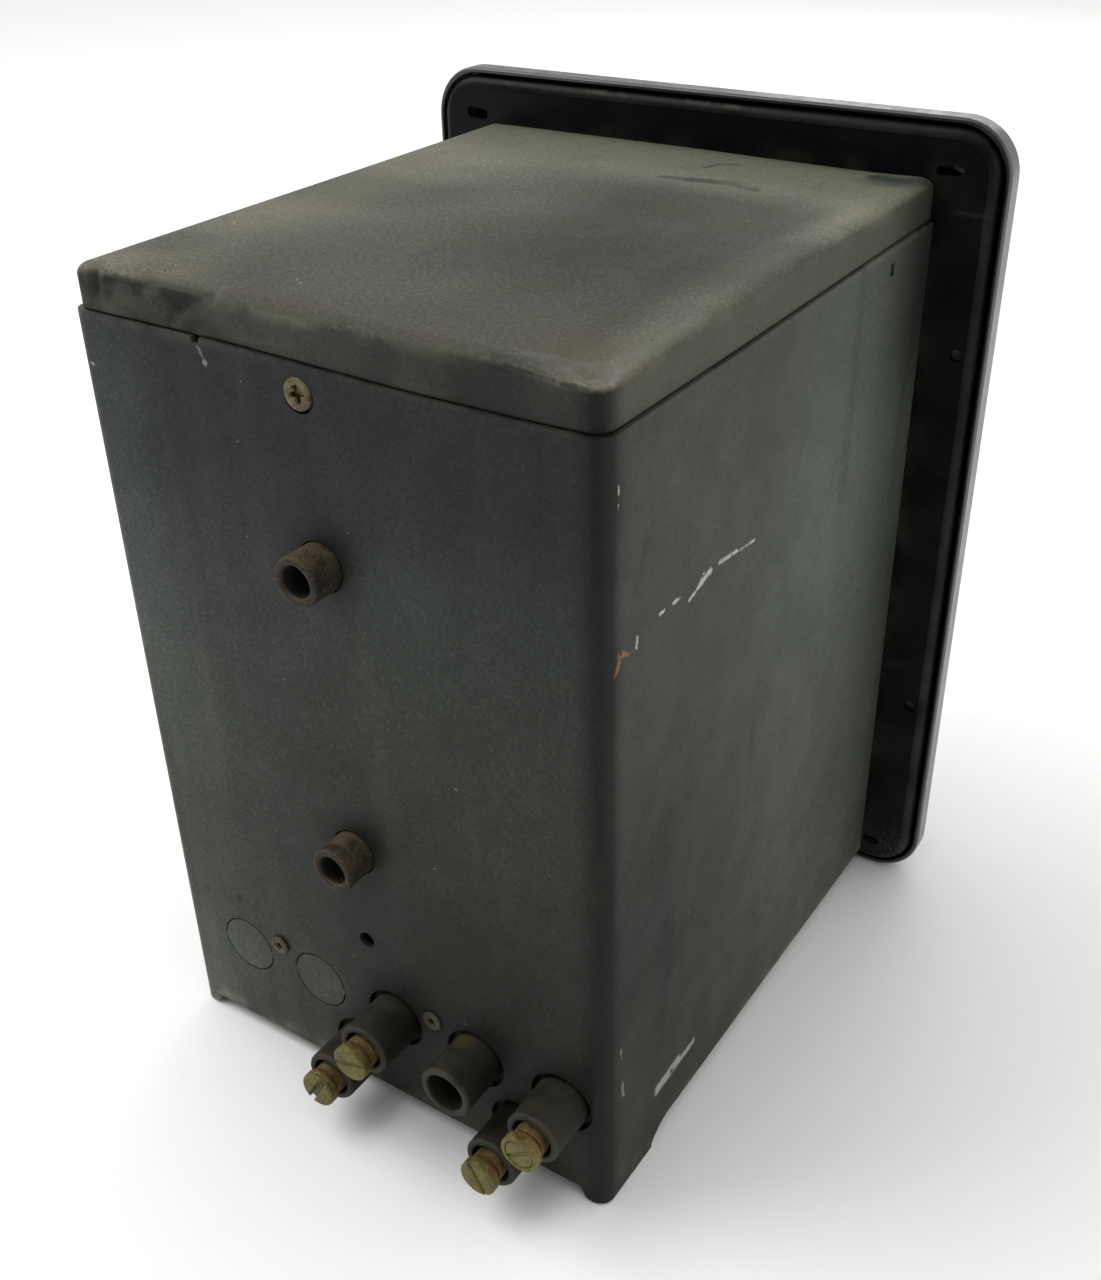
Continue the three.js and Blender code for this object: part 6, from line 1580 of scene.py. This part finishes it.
# latches
g = plate("x", fillet([(0.6, 196.4), (7, 196.4), (7, 198), (6.4, 200.4), (3.8, 200.7), (1.2, 200.4), (0.6, 198)], [0.3, 0.8, 0.6, 1.2, 1.2, 1.2, 0.6], 4), [circle(3.8, 197.6, 1.55, 20)], -7.5, 7.5, 0.4)
g = g + plate("x", fillet([(-7.4, 184), (-5.4, 184), (-5.4, 196), (2, 196), (2, 198.2), (-7.4, 198.2)], [0.9, 0.9, 1.0, 0.3, 0.3, 2.6], 6), [], -6, 6, 0.5)
for z_ in (186.2, 188.0, 189.8, 191.6):  # finger grooves
    g = g + rbox(-5.2, 5.2, -7.75, -7.2, z_ - 0.4, z_ + 0.4, 0.2)
make("upper_latch_lever", g, STEEL, "upper_latch", "upper_latch")
g = plate("x", fillet([(-3.4, 27), (-1.6, 27), (-1.6, 34.6), (1.5, 34.6), (1.5, 38.2), (-3.4, 38.2)], [0.8, 0.8, 0.6, 0.6, 1.6, 1.6], 5), [circle(1.0, 36.2, 0.2, 8)], 51.5, 57.5, 0.35)
g = g + lathe("x", 1.5, 36, fillet([(51.5, 1.25), (51.5, 2.2), (57.5, 2.2), (57.5, 1.25)], 0.2, 2), 22, closed=True)
make("lower_latch_lever", g, STEEL, "lower_latch", "lower_latch")

# ================================================================ disk unit
shf = bx("disk_shaft")
sx, sy = (shf[0] + shf[1]) / 2, (shf[2] + shf[3]) / 2
g = lathe("z", sx, sy, fillet([(62.6, 0), (62.6, 0.6), (64.2, 1.6), (154.6, 1.6), (156.2, 0.6), (156.2, 0)], [0, 0.2, 0.3, 0.3, 0.2, 0], 3, closed=False), 26)
for z0, z1 in ((88, 93.7), (95.5, 101)):
    g = g + lathe("z", sx, sy, fillet([(z0, 1.5), (z0, 4.6), (z1, 4.6), (z1, 1.5)], [0, 0.6, 0.6, 0], 4), 34, closed=True)
g = g + lathe("z", sx, sy, fillet([(104, 1.5), (104, 2.6), (106.5, 2.6), (106.5, 1.5)], 0.3, 2), 26, closed=True)
make("spindle", g, STEEL, "disk", "disk_shaft")
idb = bx("induction_disk")
rD = (idb[1] - idb[0]) / 2
spiral = [(rD - 2.2 * (w / 360), w) for w in range(0, 361, 5)]
edge = [(r_ * math.cos(math.radians(w)) , sy + r_ * math.sin(math.radians(w))) for r_, w in [(rD if w > 40 else rD - 1.6 * (1 - w / 40), w) for w in range(0, 360, 3)]]
vents = [circle(sx + 11 * math.cos(math.radians(60 * k)), sy + 11 * math.sin(math.radians(60 * k)), 1.3, 18) for k in range(6)]
g = plate("z", edge, [circle(sx, sy, 1.6, 24)] + vents, idb[4], idb[5], 0.2)
make("aluminium_disk", g, ROLLED, "disk", "induction_disk")
a = math.radians(66)
g = lathe("z", sx, sy, fillet([(134.5, 1.5), (134.5, 5), (140, 5), (140, 1.5)], [0, 0.7, 0.7, 0], 4), 36, closed=True)
ca_, sa_ = math.cos(a), math.sin(a)


def arm_pt(r_, t_):
    return (sx + r_ * ca_ - t_ * sa_, sy + r_ * sa_ + t_ * ca_)


armo = fillet([arm_pt(3, -2.4), arm_pt(20, -1.4), arm_pt(20, 1.4), arm_pt(3, 2.4)], [0.2, 1.2, 1.2, 0.2], 5)
g = g + plate("z", armo, [], 136, 138.4, 0.3)
pad = lathe("x", 0, 0, fillet([(-1.0, 0), (-1.0, 2.4), (1.0, 2.4), (1.0, 0)], [0, 0.5, 0.5, 0], 4, closed=False), 28).turned("Z", 66 + 90).moved(*arm_pt(20.2, 0), 137.2)
make("contact_arm", g, BRASS, "disk", "moving_contact_arm")
make("contact_pad", pad, STEEL, "disk")
path = []
for k in range(240):
    t = k / 239
    w = 2 * math.pi * 3.6 * t + 0.35
    r_ = 4.4 + 11.4 * t
    path.append((sx + r_ * math.cos(w), sy + r_ * math.sin(w), 147.5))
g = sweep(path, 0.3, 8, flat=(0.28, 1.35)) + lathe("z", sx, sy, fillet([(144.5, 1.9), (144.5, 4.2), (150.5, 4.2), (150.5, 1.9)], [0.1, 0.5, 0.5, 0.1], 3), 32, closed=True)
e_ = path[-1]
g = g + lathe("z", e_[0], e_[1], fillet([(145.4, 0), (145.4, 1.0), (149.6, 1.0), (149.6, 0)], [0, 0.2, 0.2, 0], 2, closed=False), 16)
make("hair_spring", g, BRASS, "disk", "control_spring", sharp=50)

# time dial with plain numbers 0 to 10 round its rim
td = bx("time_dial")
rT = (td[1] - td[0]) / 2
prof = fillet([(165.6, 3.1), (165.6, 7.6), (170.2, 7.6), (170.2, 22.8), (168, 22.8), (168, rT), (175, rT), (175, 22.8), (172, 22.8), (172, 8), (177, 8), (177, 3.1)],
              [0.1, 0.4, 0.3, 0.3, 0.3, 0.5, 0.5, 0.3, 0.3, 0.3, 0.6, 0.1], 3)
make("dial_wheel", lathe("z", sx, sy, prof, 96, closed=True), DIAL, "time_dial", "time_dial", sharp=40)
DIGIT = {
    "0": [[(-1, -1.4), (-1, 1.4), (0, 2), (1, 1.4), (1, -1.4), (0, -2), (-1, -1.4)]],
    "1": [[(-0.6, 1.3), (0.1, 2), (0.1, -2)]],
    "2": [[(-1, 1.2), (-0.4, 2), (0.6, 2), (1, 1.2), (0.8, 0.3), (-1, -2), (1, -2)]],
    "3": [[(-1, 1.4), (-0.2, 2), (0.8, 1.7), (0.9, 0.8), (0, 0.2), (1, -0.6), (0.9, -1.6), (0, -2), (-1, -1.5)]],
    "4": [[(0.5, -2), (0.5, 2), (-1, -0.6), (1.1, -0.6)]],
    "5": [[(0.9, 2), (-0.8, 2), (-0.9, 0.2), (0.2, 0.5), (1, -0.2), (0.9, -1.4), (0, -2), (-1, -1.5)]],
    "6": [[(0.8, 1.7), (0, 2), (-0.9, 1), (-1, -1), (0, -2), (0.9, -1.4), (0.9, -0.3), (0, 0.3), (-1, -0.4)]],
    "7": [[(-1, 2), (1, 2), (-0.2, -2)]],
    "8": [[(0, 0.2), (-0.9, 1), (-0.6, 1.8), (0.6, 1.8), (0.9, 1), (0, 0.2), (1, -0.8), (0.7, -1.8), (-0.7, -1.8), (-1, -0.8), (0, 0.2)]],
    "9": [[(1, 0.4), (0, -0.3), (-0.9, 0.3), (-0.9, 1.4), (0, 2), (1, 1), (0.9, -1), (0, -2), (-0.8, -1.7)]],
}
g = Geo()
for k in range(41):
    w = -90 + (k - 20) * 6.85
    big_ = k % 4 == 0
    half_ = 0.16 if big_ else 0.1
    zt_ = 169.9 if big_ else 169.3
    b_ = rbox(-half_, half_, -rT - 0.05, -rT + 0.3, 168.6, zt_, 0.04, 1)
    g = g + b_.moved(0, 0, 0).turned("Z", w + 90).moved(sx, sy, 0)
    if big_:
        word = str(k // 4)
        for q, ch_ in enumerate(word):
            off = (q - (len(word) - 1) / 2) * 1.7
            for line in DIGIT[ch_]:
                pth = []
                for (u0, v0), (u1, v1) in zip(line, line[1:]):
                    for s_ in (0, 0.5):
                        pth.append((u0 + (u1 - u0) * s_, v0 + (v1 - v0) * s_))
                pth.append(line[-1])
                pts3 = []
                for u_, v_ in pth:
                    ww = math.radians(w) + (off + u_ * 0.62) / rT
                    pts3.append((sx + (rT + 0.0) * math.cos(ww), sy + (rT + 0.0) * math.sin(ww), 172.6 + v_ * 0.85))
                g = g + sweep(pts3, 0.17, 6)
make("dial_figures", g, INK, "time_dial", sharp=60)
g = lathe("z", sx, sy, [(172.0, 0), (172.0, 0)], 4) if False else Geo()
for k in range(3):  # finger lugs on the dial's face
    ww = math.radians(30 + 120 * k)
    g = g + lathe("z", sx + 15 * math.cos(ww), sy + 15 * math.sin(ww), fillet([(171.6, 0), (171.6, 1.6), (175.4, 1.6), (175.4, 0)], [0, 0.2, 0.5, 0], 3, closed=False), 22)
make("dial_lugs", g, STEEL, "time_dial")

# ================================================================ connection plug
pb = bx("connection_plug")
g = plate("y", rr(-60, 48, 22.6, 37, 1.6, 5), [], -6, 2.6, 0.9, 3)
grip = plate("y", rr(-34, 22, 26.4, 33, 1.6, 5), [], -15, -5.5, 0.01, 1)
grip = plate("z", fillet([(-34, -15), (22, -15), (22, -5.6), (-34, -5.6)], [2.6, 2.6, 0.3, 0.3], 6), [rr(-28, 16, -12.5, -6.5, 1.8, 5)], 26.4, 33, 0.8, 3)
g = g + grip
for k in range(4):
    x_ = SCREWS[k][0]
    g = g + plate("y", rr(x_ - 5.2, x_ + 5.2, 24.2, 35.4, 1.2, 4), [], -6.5, -5.5, 0.35)
make("plug_body", g, BAKE, "plug", "connection_plug", sharp=40)
g = Geo()
for k in range(4):
    x_ = SCREWS[k][0]
    g = g + lathe("y", x_, 29.8, [(-6.9, 0), (-6.9, 1.6), (-6.5, 2.1), (-6.3, 2.1), (-6.3, 0)], 22)
make("plug_rivets", g, STEEL, "plug")
for i in range(4):
    b = bx(f"plug_blade_{i + 1}")
    g = plate("y", fillet([(b[0], b[4]), (b[1], b[4]), (b[1], b[5]), (b[0], b[5])], [0.6, 0.6, 1.6, 1.6], 4), [], b[2], b[3], 0.6, 3)
    make(f"blade_{i + 1}", g, BRASS, "plug", f"plug_blade_{i + 1}")

# ================================================================ cover
CV = bx("cover_frame")
CH, CZ0, CZ1 = CV[1], CV[4], CV[5]
raw = [(18.2, -28), (17.4, -28), (15.4, -27), (12.6, -24), (7.9, -18), (3.2, -12), (0, -8), (0, -2.2), (0.5, -1.5), (1.3, -1.5), (1.3, -8.3), (4.9, -8.3), (5.9, -11.4), (10.2, -17), (14.6, -22.6), (18.2, -26)]
rad = [0, 0.8, 2.2, 1, 1, 3, 3.2, 0.5, 0.4, 0.15, 0.3, 0.6, 1, 1, 1, 0]
pr = fillet(raw, rad, 5, closed=False)
pr = [(max(0.0, d), max(-28.0, y_)) for d, y_ in pr]


def corner_r(d):
    return 14 - 8 * d / 15.4 if d < 15.4 else max(3.0, 6 - 3 * (d - 15.4) / 12.6)


def cover_ring(d, y_, r=None):
    return [(a_, y_, b_) for a_, b_ in rr(-CH + d, CH - d, CZ0 + d, CZ1 - d, r or corner_r(d), 14)]


frame_g = loft([cover_ring(d, y_) for d, y_ in pr])


def band(outer, holes_, y0, y1, bev):
    loops = []
    for i, loop in enumerate([outer, *holes_]):
        loop = clean(list(loop))
        loops.append(loop if (area(loop) > 0) == (i == 0) else loop[::-1])
    v, f = [], []
    for yy, side_ in ((y0, 0), (y1, 1)):
        flat_ = [loops[0]] + [inset(l, bev) for l in loops[1:]]
        base = len(v)
        for l in flat_:
            v += [(a_, yy, b_) for a_, b_ in l]
        for tri in tessellate_polygon([[Vector((a_, b_, 0)) for a_, b_ in l] for l in flat_]):
            f.append(tuple(base + i for i in tri))
    g_ = Geo(v, f)
    for l in loops[1:]:
        st = []
        for j in range(4):
            w = math.pi / 2 * j / 3
            st.append([(a_, y0 + bev * (1 - math.cos(w)), b_) for a_, b_ in inset(l, bev * (1 - math.sin(w)))])
        for j in range(3, -1, -1):
            w = math.pi / 2 * j / 3
            st.append([(a_, y1 - bev * (1 - math.cos(w)), b_) for a_, b_ in inset(l, bev * (1 - math.sin(w)))])
        g_ = g_ + loft(st)
    return g_


NUTS = {n: mid(f"cover_nut_{n}") for n in ("lower", "upper")}
RR = mid("reset_rod")
window = rr(-CH + 28, CH - 28, CZ0 + 28, CZ1 - 28, 3, 14)
outer = [(a_, b_) for a_, _, b_ in cover_ring(18.2, 0)]
front_holes = [window, circle(NUTS["lower"][0], NUTS["lower"][2], 3.0, 28), circle(NUTS["upper"][0], NUTS["upper"][2], 3.0, 28), circle(RR[0], RR[2], 2.3, 24)]
frame_g = frame_g + band(outer, front_holes, -28, -26, 0.4)
make("cover_moulding", frame_g, GLOSS, "cover", "cover_frame", sharp=36)
g = Geo()
g = g + lathe("y", NUTS["lower"][0], NUTS["lower"][2], fillet([(-28.6, 3.0), (-28.6, 7.4), (-27.5, 7.4), (-27.5, 3.0)], [0.2, 0.5, 0, 0], 3), 44, closed=True)
g = g + lathe("y", NUTS["lower"][0], NUTS["lower"][2], fillet([(-26.6, 3.0), (-26.6, 7.4), (-19, 7.4), (-19, 3.0)], [0, 0, 0.4, 0.2], 3), 44, closed=True)
g = g + lathe("y", NUTS["upper"][0], NUTS["upper"][2], fillet([(-28.6, 3.0), (-28.6, 7.4), (-27.5, 7.4), (-27.5, 3.0)], [0.2, 0.5, 0, 0], 3), 44, closed=True)
g = g + lathe("y", RR[0], RR[2], fillet([(-29.2, 2.3), (-29.2, 4.7), (-27.5, 5.0), (-27.5, 2.3)], [0.2, 0.5, 0, 0], 3), 36, closed=True)
make("cover_bosses", g, GLOSS, "cover")
wb = bx("window_glass")
make("window_pane", plate("y", rr(wb[0], wb[1], wb[4], wb[5], 2.0, 5), [], wb[2], wb[3], 0.3), GLASS, "cover", "window_glass")
g = plate("y", rr(-64.5, 64.5, 25.4, 205, 3, 5), [rr(-58.5, 58.5, 29.5, 200.5, 3, 5)], -22.2, -20.9, 0.3)
for s in (-1, 1):
    for z_ in (60, 115, 170):
        g = g + plate("y", rr(s * 65.2 - 3.2, s * 65.2 + 3.2, z_ - 6, z_ + 6, 1.2, 4), [], -21.6, -20.3, 0.3)
        g = g + lathe("y", s * 65, z_, [(-20.5, 0), (-20.5, 2.0), (-19.9, 2.0), (-19.5, 1.4), (-19.5, 0)], 20)
make("glass_retainer", g, STEEL, "cover")
for n in ("lower", "upper"):
    b = bx(f"cover_nut_{n}")
    x_, _, z_ = NUTS[n]
    yb, yf = b[3], b[2]
    teeth = []
    for k in range(40):
        w = 2 * math.pi * k / 40
        for dw, r_ in ((-0.045, 5.65), (-0.02, 6.02), (0.02, 6.02), (0.045, 5.65)):
            teeth.append((x_ + r_ * math.cos(w + dw), z_ + r_ * math.sin(w + dw)))
    g = plate("y", teeth, [circle(x_, z_, 2.65, 24)], yf + 2.6, yb - 0.9, 0.4, 3)
    g = g + lathe("y", x_, z_, fillet([(yb - 1.2, 2.65), (yb - 1.2, 5.2), (yb, 5.4), (yb, 2.65)], [0, 0, 0.2, 0.2], 2), 40, closed=True)
    g = g + lathe("y", x_, z_, fillet([(yf + 2.8, 0), (yf + 2.8, 5.6), (yf + 1.4, 5.6), (yf + 0.8, 5.0), (yf, 4.4), (yf, 0)], [0, 0, 0.4, 0.4, 0.8, 0], 4, closed=False), 44)
    g = g + lathe("y", x_, z_, [(yf + 0.02, 0), (yf - 0.0, 1.2), (yf + 0.15, 1.3), (yf + 0.3, 0)], 20)
    make(f"knurled_nut_{n}", g, BRASS if False else HARD, f"cover_nut_{n}", f"cover_nut_{n}", sharp=40)
b = bx("reset_rod")
g = lathe("y", RR[0], RR[2], fillet([(b[2], 0), (b[2], 3.6), (b[2] + 1.4, 3.6), (b[2] + 1.4, 2.0), (-20, 2.0), (-20, 2.8), (b[3], 2.8), (b[3], 0)], [0, 0.5, 0.4, 0.2, 0.2, 0.2, 0.5, 0], 3, closed=False), 36)
make("reset_plunger", g, HARD, "reset_rod", "reset_rod")


# ================================================================ floor, light
def floor_material():
    M = Mat("studio_floor_pale")
    fine = M.noise(260, 3, 0.6, seed=3)
    col = M.mix(fine, srgb(246, 246, 246), srgb(249, 249, 249))
    return M.set(col, 0.9, 0.0, None, Specular_IOR_Level=0.1)


fm = bpy.data.meshes.new("floor")
fm.from_pydata([(-6, -6, -0.0003), (6, -6, -0.0003), (6, 6, -0.0003), (-6, 6, -0.0003)], [], [(0, 1, 2, 3)])
floor = bpy.data.objects.new("floor", fm)
bpy.context.scene.collection.objects.link(floor)
fm.materials.append(floor_material())

world = bpy.data.worlds.new("studio")
bpy.context.scene.world = world
world.use_nodes = True
wt = world.node_tree
wt.nodes.clear()
wo = wt.nodes.new("ShaderNodeOutputWorld")
bg = wt.nodes.new("ShaderNodeBackground")
wt.links.new(bg.outputs[0], wo.inputs[0])
tc = wt.nodes.new("ShaderNodeTexCoord")
sep = wt.nodes.new("ShaderNodeSeparateXYZ")
wt.links.new(tc.outputs["Generated"], sep.inputs[0])


def wmath(op, a, b=None):
    n = wt.nodes.new("ShaderNodeMath")
    n.operation = op
    for s, v in zip(n.inputs, (a, b)):
        if v is None:
            continue
        if isinstance(v, bpy.types.NodeSocket):
            wt.links.new(v, s)
        else:
            s.default_value = v
    return n.outputs[0]


def wstep(v, a, b):
    n = wt.nodes.new("ShaderNodeMapRange")
    n.interpolation_type = "SMOOTHSTEP"
    lo, hi, t0, t1 = (a, b, 0, 1) if a < b else (b, a, 1, 0)
    wt.links.new(v, n.inputs["Value"])
    for k, q in zip(("From Min", "From Max", "To Min", "To Max"), (lo, hi, t0, t1)):
        n.inputs[k].default_value = q
    return n.outputs[0]


strength = wmath("ADD", 0.30, wmath("MULTIPLY", wstep(sep.outputs[2], 0.05, 0.85), 0.78))
strength = wmath("ADD", strength, wmath("MULTIPLY", wstep(sep.outputs[0], -0.25, -0.9), 0.34))
strength = wmath("ADD", strength, wmath("MULTIPLY", wstep(sep.outputs[0], 0.3, 0.9), 0.30))
strength = wmath("ADD", strength, wmath("MULTIPLY", wstep(sep.outputs[1], -0.2, -0.9), 0.34))
# the room is darker behind the viewer's side of the box
toward = wt.nodes.new("ShaderNodeVectorMath")
toward.operation = "DOT_PRODUCT"
wt.links.new(tc.outputs["Generated"], toward.inputs[0])
toward.inputs[1].default_value = Vector((-0.62, 0.76, 0.12)).normalized()
dark = wstep(toward.outputs["Value"], 0.25, 0.85)
strength = wmath("MULTIPLY", strength, wmath("SUBTRACT", 1.0, wmath("MULTIPLY", dark, 0.72)))
wt.links.new(strength, bg.inputs["Strength"])
bg.inputs["Color"].default_value = (1.0, 0.995, 0.985, 1)


def area_light(name, loc, target, size, power, col=(1, 1, 1)):
    d = bpy.data.lights.new(name, "AREA")
    d.shape, d.size, d.energy, d.color = "DISK", size, power, col
    o = bpy.data.objects.new(name, d)
    o.location = loc
    o.rotation_euler = (Vector(target) - Vector(loc)).to_track_quat("-Z", "Y").to_euler()
    bpy.context.scene.collection.objects.link(o)
    return o


area_light("key", (0.85, 0.35, 1.25), (0, 0, 0.1), 1.10, 10.7)
area_light("soft_right", (-1.3, 0.25, 0.55), (0, 0, 0.1), 1.1, 2.5)
area_light("front_fill", (0.25, -1.5, 0.85), (0, 0, 0.12), 1.0, 4)

bpy.context.view_layer.update()
